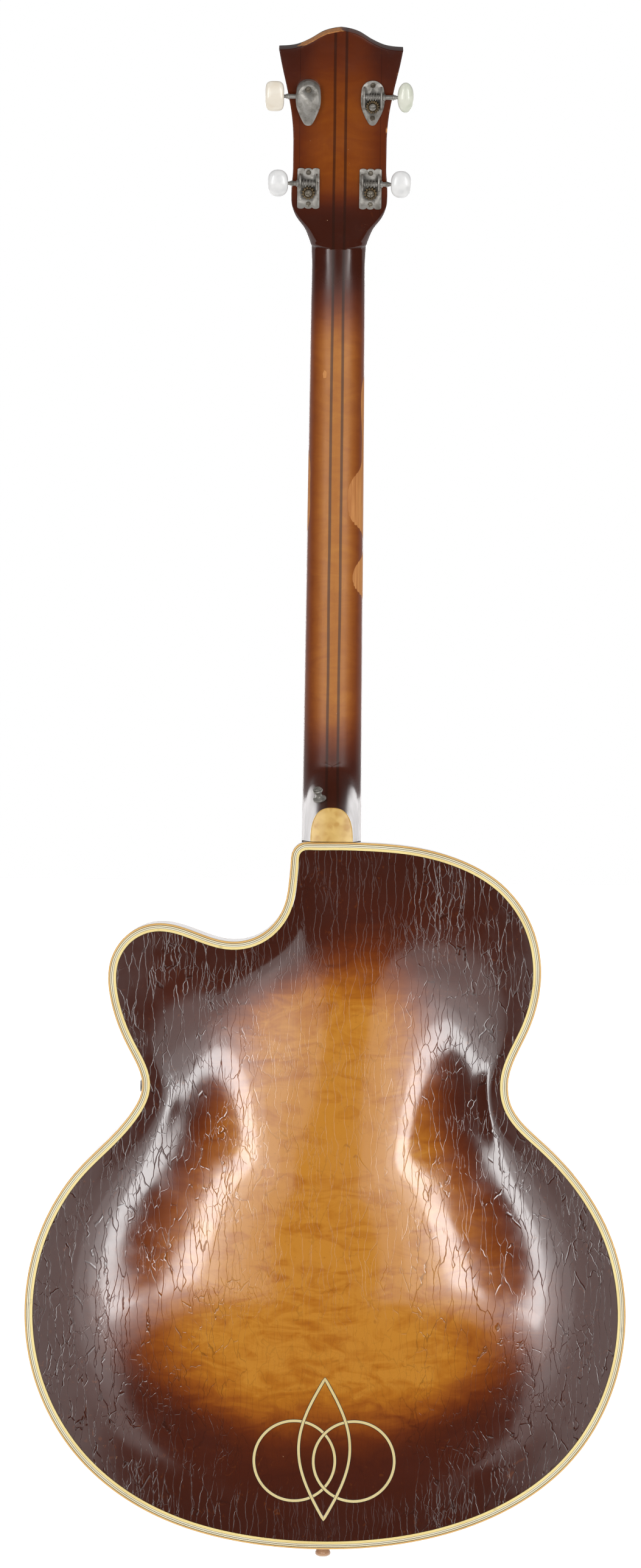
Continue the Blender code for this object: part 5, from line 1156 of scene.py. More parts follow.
def head_rings(v):
    """Half width and depth of each head ring. Its flat grows from a point below the nut."""
    half = flowing(HEAD_SIDE, v)
    flat = np.minimum(flowing(HEAD_FLAT, v), half - EDGE_ROUND)
    grown = np.clip((v - 0.006) / 0.030, 0, 1)
    wall = NECK_WALL + (HEAD_THICKNESS - EDGE_ROUND - NECK_WALL) * grown**1.5
    past = np.maximum(EDGE_ROUND - (CORNER_V - v), 0)
    rounding = EDGE_ROUND - np.sqrt(np.maximum(EDGE_ROUND**2 - past**2, 0))
    deep = HEAD_THICKNESS - rounding
    quarter = np.linspace(0, math.pi / 2, SIDE_COLUMNS - 4)
    walls = np.linspace(0, 1, 5)[:-1]
    down = np.sin(quarter) ** (2 / BACK_POWER)
    across = np.cos(quarter) ** (2 / BACK_POWER)
    wall = np.minimum(wall, deep - EDGE_ROUND)[:, None]
    h = np.concatenate((walls * wall, wall + down * (deep[:, None] - wall)), axis=1)
    out = (half - flat)[:, None] * across
    width = np.concatenate((np.repeat(half[:, None], 4, axis=1), flat[:, None] + out), axis=1)
    return width, h


# %% One skin for neck and head
def around(width, h):
    """x and h of full rings: side, back, other side, front. Input is one side's profile."""
    share = np.sin(np.linspace(math.pi / 2, -math.pi / 2, FLAT_COLUMNS + 2)[1:-1])
    back_x = width[:, -1:] * share
    front_x = width[:, :1] * -share
    x = np.concatenate((width, back_x, -width[:, ::-1], front_x), axis=1)
    back_h = np.repeat(h[:, -1:], FLAT_COLUMNS, axis=1)
    full_h = np.concatenate((h, back_h, h[:, ::-1], np.repeat(h[:, :1], FLAT_COLUMNS, axis=1)), axis=1)
    return x, full_h


neck_s = np.concatenate((np.linspace(0.0003, 0.012, 8), np.linspace(0.014, 0.09, 34),
                         np.linspace(0.095, NUT_S * 0.985, 150)))
neck_tilt = ease(0.0, 0.10, neck_s)
neck_width, neck_h = neck_rings(neck_s, neck_tilt)
neck_x, neck_full = around(neck_width, neck_h)
slants = ((1 - neck_tilt) * math.tan(NECK_ANGLE))[:, None]
neck_points = neck_place(neck_x, neck_s[:, None] + slants * (NECK_BASE + neck_full), NECK_BASE + neck_full)

top_steps = CORNER_V - EDGE_ROUND * np.array((1.0, 0.7, 0.45, 0.25, 0.1, 0.0))
head_v = (np.linspace(0.002, 0.040, 30), np.linspace(0.043, CORNER_V - 0.003, 44), top_steps)
head_v = np.concatenate(head_v)
head_width, head_h = head_rings(head_v)
head_x, head_full = around(head_width, head_h)
lift = ease(HEAD_SIDE[-3, 0], CORNER_V - EDGE_ROUND, head_v)[:, None]
head_points = head_place(head_x, head_v[:, None] + lift * crown_rise(head_x), head_full)
print("neck rings:", len(neck_s), "head rings:", len(head_v))

# %% [markdown]
# ## Wear on the neck
#
# A thumb has rubbed the lacquer off one side of the neck's back, and the other side has a thin
# worn strip. The head's edges are worn to the wood. Wear is a number from 0 to 1 at each point,
# and the finish breaks its edge up with noise. The places are heights up the neck.

# %% Worn places
THUMB_SIDE = np.array((
    (0.700, 0.0240), (0.7185, 0.0205), (0.726, 0.0150), (0.733, 0.0136), (0.740, 0.0152), (0.748, 0.0200),
    (0.758, 0.0212), (0.768, 0.0190), (0.776, 0.0120), (0.785, 0.0092), (0.795, 0.0090), (0.805, 0.0120),
    (0.814, 0.0180), (0.830, 0.0193), (0.880, 0.0194), (0.892, 0.0240)))
OTHER_SIDE = np.array(((0.755, 0.0240), (0.772, 0.0200), (0.800, 0.0192), (0.824, 0.0200), (0.840, 0.0240)))


def neck_wear(points):
    """Each side is worn beyond a distance from the middle that changes with the height. On the
    thumb's side two round bulges reach in. One small spot stands alone."""
    x, z = points[..., 0], points[..., 2]
    thumb = ease(-0.0010, 0.0010, -x - flowing(THUMB_SIDE, z))
    other = ease(-0.0010, 0.0010, x - flowing(OTHER_SIDE, z))
    spot = 1 - ease(0.4, 1.2, np.hypot((x - 0.0091) / 0.0022, (z - 0.8840) / 0.0040))
    return np.clip(np.maximum.reduce((thumb, other, 0.9 * spot)), 0, 1)


columns = neck_x.shape[1]
side_edge = np.zeros(columns)
side_edge[SIDE_COLUMNS - 14:SIDE_COLUMNS + 1] = 1
side_edge[SIDE_COLUMNS + FLAT_COLUMNS - 1:SIDE_COLUMNS + FLAT_COLUMNS + 14] = 1
head_edge = ease(0.050, 0.075, head_v)[:, None] * side_edge
top_edge = ease(CORNER_V - 0.0016, CORNER_V - 0.0002, head_v)[:, None] * np.ones(columns)
crown_bare = 0.88 + 0.50 * ease(-0.004, 0.004, head_x) * (1 - ease(0.024, 0.034, head_x))
head_wear = 0.47 * np.maximum(0.92 * head_edge, crown_bare * top_edge)

rings = np.concatenate((neck_points, head_points))
worn = np.concatenate((neck_wear(neck_points), head_wear))

# %% Where the neck is light and dark
z, across = rings[..., 2], np.abs(rings[..., 0])
neck_light = 0.73 - 0.42 * ease(0.006, 0.022, across)
head_light = 0.43 - 0.24 * ease(0.012, 0.036, across) - 0.27 * ease(1.075, 1.130, z)
neck_burst = neck_light * ease(0.575, 0.640, z) * (1 - ease(0.90, 0.965, z))
volute = ease(0.940, 0.965, z) * (1 - ease(1.000, 1.025, z))
neck_burst = neck_burst + head_light * ease(0.996, 1.028, z) + 0.10 - 0.07 * volute

faces = grid_faces(*rings.shape[:2]).tolist()
faces.append(list(range(columns))[::-1])
last = (len(rings) - 1) * columns
side_plus = np.arange(SIDE_COLUMNS)
side_minus = SIDE_COLUMNS + FLAT_COLUMNS + SIDE_COLUMNS - 1 - np.arange(SIDE_COLUMNS)
back_run = SIDE_COLUMNS + np.arange(FLAT_COLUMNS)[::-1]
front_run = 2 * SIDE_COLUMNS + FLAT_COLUMNS + np.arange(FLAT_COLUMNS)
front = np.concatenate((side_minus[:1], front_run, side_plus[:1])) + last
back = np.concatenate((side_minus[-1:], back_run, side_plus[-1:])) + last
faces += np.stack((front[:-1], front[1:], back[1:], back[:-1]), axis=1).tolist()
faces += [(side_plus + last).tolist(), (side_minus + last).tolist()]
neck_skin = piece("neck_skin", rings, faces, NECK_LACQUER, attributes={
    "burst": neck_burst, "cracking": np.full(z.shape, 0.6), "worn": worn,
    "satin": 1 - ease(0.93, 0.98, z)})
settle(neck_skin, "instrument", "maple", "neck")
print("neck:", len(neck_skin.data.polygons), "faces")

# %% [markdown]
# ## Flat pieces with soft edges
#
# Many fittings are cut from sheet: the head's facing, the tuners' plates, the pickguard. Each is
# a flat outline, given as pairs of numbers. The outline is drawn inward a little near both faces,
# which leaves a narrow bevel that catches the light. A helper moves an outline along its normals.

# %% Moving an outline inward
SOFT_EDGE = ((1.0, 0.0), (0.3, 0.3), (0.0, 1.0))


def drawn_in(outline, distance):
    """Each point of a closed outline moved along its inward normal."""
    way = np.roll(outline, -1, 0) - np.roll(outline, 1, 0)
    way = way / np.maximum(np.linalg.norm(way, axis=1), 1e-12)[:, None]
    x, y = outline.T
    turning = (x * np.roll(y, -1) - np.roll(x, -1) * y).sum()
    inward = np.stack((-way[:, 1], way[:, 0]), 1) * math.copysign(1.0, turning)
    return outline + distance * inward


def cut_sheet(name, outline, low, high, place, finish, bevel=0.0002):
    """A flat piece from low to high. place(a, b, level) makes the points of each ring."""
    levels = [(bevel * d, low + bevel * up) for d, up in SOFT_EDGE]
    levels += [(bevel * d, high - bevel * up) for d, up in SOFT_EDGE[::-1]]
    rings = [place(*drawn_in(outline, d).T, np.full(len(outline), level)) for d, level in levels]
    return skin(name, rings, finish)


def drill(name, radius, low, high, matrix, sides=24):
    """A round tool for a bore of some radius, from low to high along z of a frame."""
    return skin(name, moved(lathe([(radius, low), (radius, high)], sides), matrix), BLACK_FACE)


def rounded_end(x, half, radius):
    """How far a round end has closed at |x|: 1 - sqrt(1 - e^2), with e from 0 to 1 over the radius."""
    past = np.clip((np.abs(x) - (half - radius)) / radius, 0, 1)
    return 1 - np.sqrt(1 - past**2)


def in_frame(matrix):
    """A place function that reads a, b and level as x, y and z of a frame."""
    return lambda a, b, level: moved(np.stack(np.broadcast_arrays(a, b, level), -1), matrix)


# %% [markdown]
# ## The head's black facing
#
# The front of the head carries a thin black sheet, whose edge shows as a dark line round the
# crown. Its outline is the head's own. The four posts come through it.

# %% Facing
VENEER_THICKNESS = 0.0015
POST_RADIUS = 0.0032
POST_REACH = 0.0170
BORE_GAP = 0.0003
UPPER_POST = (0.0238, 0.1116)
LOWER_POST = (0.0231, 0.0464)
POSTS = (
    ("upper_treble", 1, UPPER_POST, "covered"), ("upper_bass", -1, UPPER_POST, "teardrop"),
    ("lower_treble", 1, LOWER_POST, "scalloped"), ("lower_bass", -1, LOWER_POST, "scalloped"),
)


def head_outline():
    """Up one side of the head, over the crown and down the other side, as (x, v) pairs."""
    v = np.linspace(2 * GAP, CORNER_V, 70)
    side = np.stack((flowing(HEAD_SIDE, v), v), 1)
    x = np.linspace(HEAD_CROWN[-1, 0], 0, 44)[1:]
    right = np.concatenate((side, np.stack((x, flowing(HEAD_CROWN, x)), 1)))
    return np.concatenate((right, (right * (-1, 1))[::-1][1:]))


def tuner_axes(side, place, up=0.0, out=0.0):
    """A frame on the head's back over a post: x from treble to bass, y up the head, z out."""
    across, along = place
    origin = head_place(np.array(side * across), np.array(along + up), np.array(HEAD_THICKNESS + out))
    return axes(origin, (-1.0, 0.0, 0.0), HEAD_UP, HEAD_OUT)


def post_drills():
    """One cylinder for each post, through facing and head."""
    return [drill(f"drill_{name}", POST_RADIUS + BORE_GAP, -0.030, 0.004, tuner_axes(side, place), 32)
            for name, side, place, _ in POSTS]


facing = cut_sheet("head_facing", head_outline(), -GAP - VENEER_THICKNESS, -GAP, head_place, BLACK_FACE)
settle(cut_by(facing, post_drills()), "instrument", "black", "head_veneer")
cut_by(neck_skin, post_drills())
print("neck after drilling:", len(neck_skin.data.polygons), "faces")

# %% [markdown]
# ## Slotted and crossed screws
#
# A screw head is a shallow dome with a groove. It is a round grid of rings and spokes whose
# height is the dome's, less a groove where the distance to the groove's line is small. That is
# quicker than cutting, and the groove's edges come out softly rounded, as on old screws.

# %% Domed screw heads
SCREW_SHANK = 0.0013


def screw_head(name, matrix, radius, height, finish, groove=0.00032, cross=False, shank=0.002,
               turned_by=0.5):
    """Height = rim + dome x (1 - (r/R)^2), less a groove; below it a short shank."""
    share = np.concatenate((np.linspace(0.04, 0.97, 26), [1.0]))[:, None]
    angles = full_turn(72)[None, :]
    r = share * radius
    rim = 0.35 * height
    z = rim + (height - rim) * (1 - share**2) - 0.15 * height * (share > 0.99)
    off = np.abs(r * np.sin(angles - turned_by))
    if cross:
        off = np.minimum(off, np.abs(r * np.cos(angles - turned_by)) + 0.2 * radius * (share > 0.7))
    z = z - (0.55 * height) * (1 - ease(groove * 0.8, groove * 1.25, off)) * (share < 0.99)
    dome = turn(angles, r, z)[::-1]
    below = lathe([(radius, 0.0), (SCREW_SHANK, 0.0), (SCREW_SHANK, -shank)], 72)
    rings = np.concatenate((below[::-1], dome))
    return skin(name, moved(rings, matrix), finish, sharp=30)


# %% [markdown]
# ## Tuners
#
# Each tuner is a plate on the back of the head with two upright ears. A worm runs in the ears
# and turns a brass gear on the string's post. Three kinds are mixed on this head, as after many
# repairs: one with a pressed cover, one teardrop plate, and two plates with three-lobed ends. A
# table holds the sizes of each kind, and one set of formulas makes them all.

# %% The tuners' sizes
PLATE_THICKNESS = 0.0012
WORM_UP = 0.0049
GEAR_THICKNESS = 0.0030
CORE_RADIUS = 0.00185
WORM_RADIUS = 0.0029
JOURNAL_RADIUS = 0.0013
STEM_RADIUS = 0.0017
COLLAR_RADIUS = 0.0025
EAR_THICKNESS = 0.0013
EAR_HEIGHT = 0.0080
KINDS = {
    "teardrop": {
        "teeth": 16, "pitch": 0.00185, "centre": 0.0072, "tooth": 0.00075,
        "plate": (0.0189, 0.0147, 0.0085), "ear": (0.0064, -0.0020, 0.0145), "screws": (0.0154, -0.0092),
        "start": 0.0184, "button": (0.0118, 0.0113, 0.0040), "power": 2.0, "pearl": GREEN_PEARL},
    "covered": {
        "teeth": 16, "pitch": 0.00185, "centre": 0.0072, "tooth": 0.00075,
        "plate": (0.0180, 0.0128, 0.0077), "ear": (0.0064, 0.0008, 0.0140), "screws": (),
        "start": 0.0180, "button": (0.0139, 0.0113, 0.0042), "power": 3.4, "pearl": IVORY_PEARL},
    "scalloped": {
        "teeth": 12, "pitch": 0.0024, "centre": 0.0071, "tooth": 0.00095,
        "plate": (0.0180, 0.0128, 0.0083), "ear": (0.0061, 0.0017, 0.0139), "screws": (0.0146, -0.0091),
        "start": 0.0152, "button": (0.0149, 0.0102, 0.0040), "power": 2.3, "pearl": WHITE_PEARL},
}


# %% Plates with ears
def smooth_outline(points, count=140):
    """A closed spline through a few points, as count pairs."""
    run = closed_spline(np.array(points))
    return run(np.arange(count) * len(points) / count)[0]


def round_foot_outline(up, down, half):
    """A round top of radius half, and sides that close to a foot of 0.42 x that radius."""
    top = np.linspace(0, math.pi, 9)
    foot = 0.42 * half
    low = np.radians(200 + 35 * np.arange(5))
    points = list(zip(half * np.cos(top), up - half + half * np.sin(top))) + [(-half, 0.0)]
    points += list(zip(foot * np.cos(low), foot - down + foot * np.sin(low))) + [(half, 0.0)]
    return smooth_outline(points)


def scalloped_outline(up, down, half):
    """Straight sides, and three lobes in a row at each end."""
    lobe = half / 3
    turns = np.radians(np.linspace(12, 168, 12))
    runs = []
    for sign, end in ((1, up), (-1, -down)):
        for k in (1, 0, -1):
            x = sign * (k * 2 * lobe + lobe * np.cos(turns))
            runs.append(np.stack((x, end + sign * lobe * 0.55 * (np.sin(turns) - 1)), 1))
        corner = sign * -half
        runs.append(np.stack((np.full(10, corner), np.linspace(end * 0.8, -end * 0.6, 10)), 1))
    return np.concatenate(runs)


def ear_outline(low, high):
    """An ear's side view: y along, z up, with a rounded top."""
    middle, span = (low + high) / 2, (high - low) / 2
    turns = np.linspace(0.12, math.pi - 0.12, 25)
    top = np.stack((middle + span * np.cos(turns), EAR_HEIGHT - span * 0.5 * (1 - np.sin(turns))), 1)
    foot = ((low, GAP + 0.0006), (high, GAP + 0.0006))
    return np.concatenate((foot, top))


def plate_with_ears(name, side, place, kind, sizes):
    shape = scalloped_outline if kind == "scalloped" else round_foot_outline
    frame_here = tuner_axes(side, place)
    across, low, high = sizes["ear"]
    plate = cut_sheet(f"plate_{name}", shape(*sizes["plate"]), GAP, GAP + PLATE_THICKNESS,
                      in_frame(frame_here), NICKEL, 0.00025)
    hole = drill(f"hole_{name}", POST_RADIUS + BORE_GAP, -0.001, 0.004, frame_here, 32)
    parts = [cut_by(plate, [hole])]
    for sign in (1, -1):
        x = sign * across
        place_ear = lambda a, b, level: moved(np.stack((level, a, b), -1), frame_here)
        ear = cut_sheet(f"ear_{name}_{sign}", ear_outline(low, high), x - EAR_THICKNESS / 2,
                        x + EAR_THICKNESS / 2, place_ear, NICKEL, 0.0002)
        turned = axes((x, sizes["centre"], WORM_UP), (0, 1, 0), (0, 0, 1), (1, 0, 0))
        bore = drill("bore", JOURNAL_RADIUS + BORE_GAP, -0.002, 0.002, frame_here @ turned)
        parts.append(cut_by(ear, [bore]))
    for k, up in enumerate(sizes["screws"]):
        seat = tuner_axes(side, place, up, GAP + PLATE_THICKNESS)
        parts.append(screw_head(f"plate_screw_{name}_{k}", seat, 0.0019, 0.0011, DARK_NICKEL, 0.00026,
                                cross=(k == 1), turned_by=0.4 + 1.1 * k + side * 0.3))
    return joined(f"tuner_base_{name}", parts)


# %% Worm shafts
def worm_radius(x, angle, sizes):
    """The thread's radius: a trapezium in the distance to the nearest turn of the helix."""
    pitch = sizes["pitch"]
    phase = x / pitch - angle / (2 * math.pi)
    off = np.abs(phase - np.round(phase)) * pitch
    middle = sizes["centre"] - sizes["teeth"] * pitch / (2 * math.pi)
    thread = np.clip(middle + (sizes["tooth"] / 2 - off) / 0.25, CORE_RADIUS, WORM_RADIUS)
    fade = 1 - ease(0.0038, 0.0042, np.abs(x))
    return CORE_RADIUS + (thread - CORE_RADIUS) * fade


def worm_shaft(name, side, place, sizes):
    """Rings along x: a journal, the thread, the other journal, a collar, the stem, a bead."""
    across, start = sizes["ear"][0], sizes["start"]
    inside = across - EAR_THICKNESS / 2 - GAP
    outside = across + EAR_THICKNESS / 2 + GAP
    deep = start + sizes["button"][0] * 0.6
    x = np.linspace(-inside + 0.0002, inside - 0.0002, 130)
    low = ((-outside - 0.0004, 0.0010), (-outside - 0.0001, JOURNAL_RADIUS), (-inside, JOURNAL_RADIUS))
    high = ((inside, JOURNAL_RADIUS), (outside, JOURNAL_RADIUS), (outside, COLLAR_RADIUS - 0.0002),
            (outside + 0.0002, COLLAR_RADIUS), (outside + 0.0018, COLLAR_RADIUS),
            (outside + 0.0020, COLLAR_RADIUS - 0.0002), (outside + 0.0020, STEM_RADIUS),
            (start - 0.0040, STEM_RADIUS), (start - 0.0038, 0.0021), (start - 0.0032, 0.0023),
            (start - 0.0026, 0.0021), (start - 0.0024, STEM_RADIUS), (start - 0.0012, STEM_RADIUS),
            (start - 0.0012, JOURNAL_RADIUS), (deep, JOURNAL_RADIUS))
    stations = np.concatenate(([p for p, _ in low], x, [p for p, _ in high]))
    angle = full_turn(48)
    radius = np.concatenate((np.repeat([[r] for _, r in low], 48, 1),
                             worm_radius(-side * x[:, None], angle[None], sizes),
                             np.repeat([[r] for _, r in high], 48, 1)))
    rings = np.stack((np.repeat(-side * stations[:, None], 48, 1), -radius * np.cos(angle),
                      radius * np.sin(angle)), -1)
    return skin(f"worm_{name}", moved(rings, tuner_axes(side, place, sizes["centre"], WORM_UP)), NICKEL)


# %% Gears
def gear(name, side, place, sizes):
    """Where a tooth's flank is at an angle: r x angle off the tooth = tooth/2 - slope x
    (r - pitch radius), solved for r and held between root and tip. Higher rings are turned a
    little, so the teeth lean along the thread."""
    pitch_radius = sizes["teeth"] * sizes["pitch"] / (2 * math.pi)
    tip = sizes["centre"] - CORE_RADIUS - 0.00015
    root = sizes["centre"] - WORM_RADIUS - 0.00020
    lean = sizes["pitch"] / (2 * math.pi * (sizes["centre"] - pitch_radius)) / pitch_radius
    count = sizes["teeth"] * 18
    step = 2 * math.pi / sizes["teeth"]
    angle = full_turn(count)
    off = np.abs((angle / step) % 1 - 0.5) * step
    radius = np.clip((sizes["tooth"] / 2 + 0.30 * pitch_radius) / (off + 0.30), root, tip)
    rings = []
    for z, trim in ((-1.0, 0.0003), (-0.8, 0.0), (-0.3, 0.0), (0.3, 0.0), (0.8, 0.0), (1.0, 0.0003)):
        height = z * GEAR_THICKNESS / 2
        rings.append(turn(math.pi / 2 + angle - height * lean, radius - trim, height))
    half = GEAR_THICKNESS / 2
    face = ((root - 0.0006, half), (0.0037, half - 0.0002), (0.0031, half - 0.0002), (0.0030, half))
    rings += [turn(angle, r, z) for r, z in face]
    frame_here = tuner_axes(side, place, 0.0, WORM_UP)
    wheel = skin(f"wheel_{name}", moved(np.array(rings), frame_here), BRASS)
    seat = tuner_axes(side, place, 0.0, WORM_UP + half)
    cross = sizes["teeth"] == 12
    head = screw_head(f"gear_screw_{name}", seat, 0.0026, 0.0015, DARK_NICKEL if cross else NICKEL,
                      0.00030, cross=cross, shank=0.0005, turned_by=1.1 + side)
    return joined(f"gear_{name}", [wheel, head])


# %% Posts and buttons
STRING_HOLE_RADIUS = 0.0013
BUTTON_CUT = 0.94
BUTTON_ROUND = 0.0009


def post(name, side, place):
    """A turned post with a waist for the string, and a hole across its end."""
    top = WORM_UP - GEAR_THICKNESS / 2 - GAP
    bottom = -HEAD_THICKNESS - POST_REACH
    low, high = bottom + 0.0040, bottom + 0.0120
    z = np.linspace(high, low, 18)
    waist = POST_RADIUS - 0.0003 * np.sin(math.pi * (z - low) / (high - low))
    profile = [(POST_RADIUS, top), *zip(waist, z), (POST_RADIUS, bottom + 0.0009),
               (POST_RADIUS - 0.0003, bottom + 0.0003), (POST_RADIUS - 0.0010, bottom)]
    frame_here = tuner_axes(side, place)
    made = skin(f"post_{name}", moved(lathe(profile), frame_here), NICKEL)
    across = axes((0, 0, bottom + 0.0030), (1, 0, 0), (0, 0, 1), (0, -1, 0))
    return cut_by(made, [drill("string_hole", STRING_HOLE_RADIUS, -0.006, 0.006, frame_here @ across)])


def button(name, side, place, sizes):
    """Ovals of size (1 - |share|^p)^(1/p) along the shaft, with rounded ends."""
    length, tall, thick = sizes["button"]
    share = BUTTON_CUT * np.sin(np.linspace(-math.pi / 2, math.pi / 2, 41))
    size = (1 - np.abs(share) ** sizes["power"]) ** (1 / sizes["power"])
    start = sizes["start"]
    x = start + length / 2 * (1 + share / BUTTON_CUT)
    soft = 1 - 0.30 * rounded_end(share / BUTTON_CUT * length / 2, length / 2, BUTTON_ROUND)
    angle = full_turn(56)[None]
    y = tall * (size * soft)[:, None] * np.cos(angle)
    z = thick * ((0.4 + 0.6 * size) * soft)[:, None] * np.sin(angle)
    rings = np.stack((np.repeat(-side * x[:, None], 56, 1), y, z), -1)
    frame_here = tuner_axes(side, place, sizes["centre"], WORM_UP)
    made = skin(f"button_{name}", moved(rings, frame_here), sizes["pearl"])
    along = axes((0, 0, 0), (0, 1, 0), (0, 0, -side), (-side, 0, 0))
    return cut_by(made, [drill("button_bore", JOURNAL_RADIUS + BORE_GAP, start - 0.001,
                               start + 0.6 * length + GAP, frame_here @ along)])


for name, side, place, kind in POSTS:
    sizes = KINDS[kind]
    settle(plate_with_ears(name, side, place, kind, sizes), "instrument", "nickel", f"tuner_plate_{name}")
    settle(worm_shaft(name, side, place, sizes), f"key_{name}", "nickel", f"worm_shaft_{name}")
    settle(button(name, side, place, sizes), f"key_{name}", "pearl", f"tuner_button_{name}")
    settle(gear(name, side, place, sizes), f"winder_{name}", "brass", f"tuner_gear_{name}")
    settle(post(name, side, place), f"winder_{name}", "nickel", f"tuner_post_{name}")
print("tuners:", [name for name, *_ in POSTS])

# %% [markdown]
# ## The pressed cover
#
# One tuner has a thin pressed cover with a round top and a narrow foot. Its raised flat ends in
# a V. The shell goes up its inside, and down its outside. A notch on one side lets the shaft out.

# %% Cover
COVER_HEIGHT = 0.0096
COVER_WALL = 0.0008
COVER_BEVEL = 0.0018
COVER_UP, COVER_DOWN = 0.0194, 0.0142
COVER_HALF = 0.0090
COVER_SCREW_UP = 0.0132


def cover_outline(grow):
    """A round top, sides that taper, and a narrow round foot."""
    half, foot = COVER_HALF + grow, 0.0042 + grow
    top = np.linspace(0, math.pi, 9)
    low = np.radians(200 + 35 * np.arange(5))
    points = list(zip(half * np.cos(top), COVER_UP - COVER_HALF + half * np.sin(top)))
    points += [(-half * 0.98, 0.0005), (-half * 0.72, -0.0062)]
    points += list(zip(foot * np.cos(low), 0.0042 - COVER_DOWN + foot * np.sin(low)))
    points += [(half * 0.72, -0.0062), (half * 0.98, 0.0005)]
    return smooth_outline(points, 168)


def cover_flat(grow, share=0.84):
    """The raised flat: the outline drawn to its middle, and cut off below by a V."""
    middle = (COVER_UP - COVER_DOWN) / 2
    x, y = cover_outline(grow).T * share
    y = y + middle * (1 - share)
    lowest = -0.0066 + 0.91 * np.abs(x)
    return np.stack((x, np.maximum(y, np.minimum(lowest, 0.0))), 1)


shoulder = COVER_HEIGHT - COVER_BEVEL
flat = cover_flat(0.0)
outside, inside = cover_outline(0.0), cover_outline(-COVER_WALL)
cover_levels = (
    (cover_flat(-COVER_WALL, 0.83), COVER_HEIGHT - COVER_WALL), (inside, shoulder - COVER_WALL),
    (inside, GAP), (outside, GAP), (outside, shoulder - 0.0004),
    (cover_outline(-0.0001), shoulder - 0.0001), (cover_outline(-0.0004), shoulder + 0.0001),
    (flat * 0.25 + outside * 0.75, shoulder + 0.0006),
    (flat * 0.97 + outside * 0.03, COVER_HEIGHT - 0.0001), (drawn_in(flat, 0.0002), COVER_HEIGHT))
rings = [np.insert(outline, 2, z, axis=1) for outline, z in cover_levels]
cover_axes = tuner_axes(1, UPPER_POST)
cover = skin("cover", moved(np.array(rings), cover_axes), NICKEL)
room = COLLAR_RADIUS + BORE_GAP
arch = np.linspace(0, math.pi, 17)
notch = np.stack((0.0072 + room * np.cos(arch), WORM_UP + room * np.sin(arch)), 1)
notch = np.concatenate((notch, ((0.0072 - room, -0.001), (0.0072 + room, -0.001))))
notch = np.stack([np.insert(notch, 0, x, axis=1) for x in (-0.0120, -0.0050)])
hole = drill("screw_hole", SCREW_SHANK + BORE_GAP, 0.005, 0.012, tuner_axes(1, UPPER_POST, COVER_SCREW_UP))
cut_by(cover, [skin("notch", moved(notch, cover_axes), NICKEL), hole])
settle(cover, "instrument", "nickel", "tuner_cover")
seat = tuner_axes(1, UPPER_POST, COVER_SCREW_UP, COVER_HEIGHT + GAP)
settle(screw_head("cover_screw", seat, 0.0021, 0.0010, DARK_NICKEL, 0.00032, shank=0.0136, turned_by=0.55),
       "instrument", "nickel", "tuner_cover_screw")
print("cover:", len(cover.data.polygons), "faces")

# %% [markdown]
# ## Heel cap, strap button and end pin
#
# The heel ends in a cap of yellowed pearl. On the slope above it sits a strap button with a
# domed screw, and a turned pin of horn closes the tail.

# %% Heel cap
CAP_HALF, CAP_LENGTH, CAP_THICKNESS = 0.0158, 0.0252, 0.0020


def heel_loop(half, length, y):
    """A rounded arch on the joint: x = half sin^(2/p), z = length cos^(2/p)."""
    angle = np.linspace(-math.pi / 2, math.pi / 2, 81)
    x = half * np.sign(np.sin(angle)) * np.abs(np.sin(angle)) ** (2 / HEEL_POWER)
    z = JOINT_Z + GAP + length * np.abs(np.cos(angle)) ** (2 / HEEL_POWER)
    return np.stack((x, np.full(len(x), y), z), 1)


cap_levels = ((0.0, 1.0), (0.55, 1.0), (0.80, 0.988), (0.94, 0.965), (1.0, 0.935))
rings = [heel_loop(CAP_HALF * share, CAP_LENGTH * (share + 1) / 2, HEEL_TOP_Y + GAP + up * CAP_THICKNESS)
         for up, share in cap_levels]
settle(skin("heel_cap_pearl", rings, HEEL_PEARL), "instrument", "pearl", "heel_cap")

# %% Strap button and its screw
BUTTON_RADIUS, BUTTON_TALL = 0.0050, 0.0085
strap_axes = axes((0.009154, 0.015849, 0.565803), (-0.923077, 0.384615, 0.0),
                  (-0.32809, -0.787416, 0.521856), (0.200714, 0.481713, 0.853034))
strap_profile = np.array((
    (0.00, 1.00), (0.10, 0.995), (0.16, 0.94), (0.24, 0.70), (0.34, 0.52), (0.46, 0.455),
    (0.60, 0.46), (0.74, 0.60), (0.84, 0.74), (0.93, 0.755), (1.00, 0.70)))
share = np.linspace(0, 1, 50)
outer = [(BUTTON_RADIUS * flowing(strap_profile, t), BUTTON_TALL * t) for t in share]
bore = SCREW_SHANK + BORE_GAP
profile = [(bore, 0.0)] + outer + [(bore, BUTTON_TALL)]
settle(skin("strap_knob", moved(lathe(profile, 56), strap_axes), NICKEL, closed=True),
       "instrument", "nickel", "strap_button")
seat = strap_axes @ axes((0, 0, BUTTON_TALL + GAP), (1, 0, 0), (0, 1, 0), (0, 0, 1))
settle(screw_head("strap_screw", seat, 0.0030, 0.0016, NICKEL, 0.00034, shank=0.0250, turned_by=0.9),
       "instrument", "nickel", "strap_button_screw")

# %% End pin
PIN_RADIUS = 0.0058
PIN_PROUD = TAIL_Z - GAP
pin_profile = np.array(((0.00, 0.62), (0.10, 0.90), (0.28, 1.00), (0.55, 0.86), (0.78, 0.66), (0.93, 0.95),
                        (1.00, 0.95)))
share = np.linspace(0, 1, 60)
profile = [(PIN_RADIUS * flowing(pin_profile, t), PIN_PROUD * t) for t in share]
profile += [(0.0040, PIN_PROUD), (0.0040, TAIL_Z + 0.0200)]
settle(skin("turned_pin", lathe(profile, 56), PIN_HORN), "instrument", "cream", "end_pin")
print("strap button and pin done")

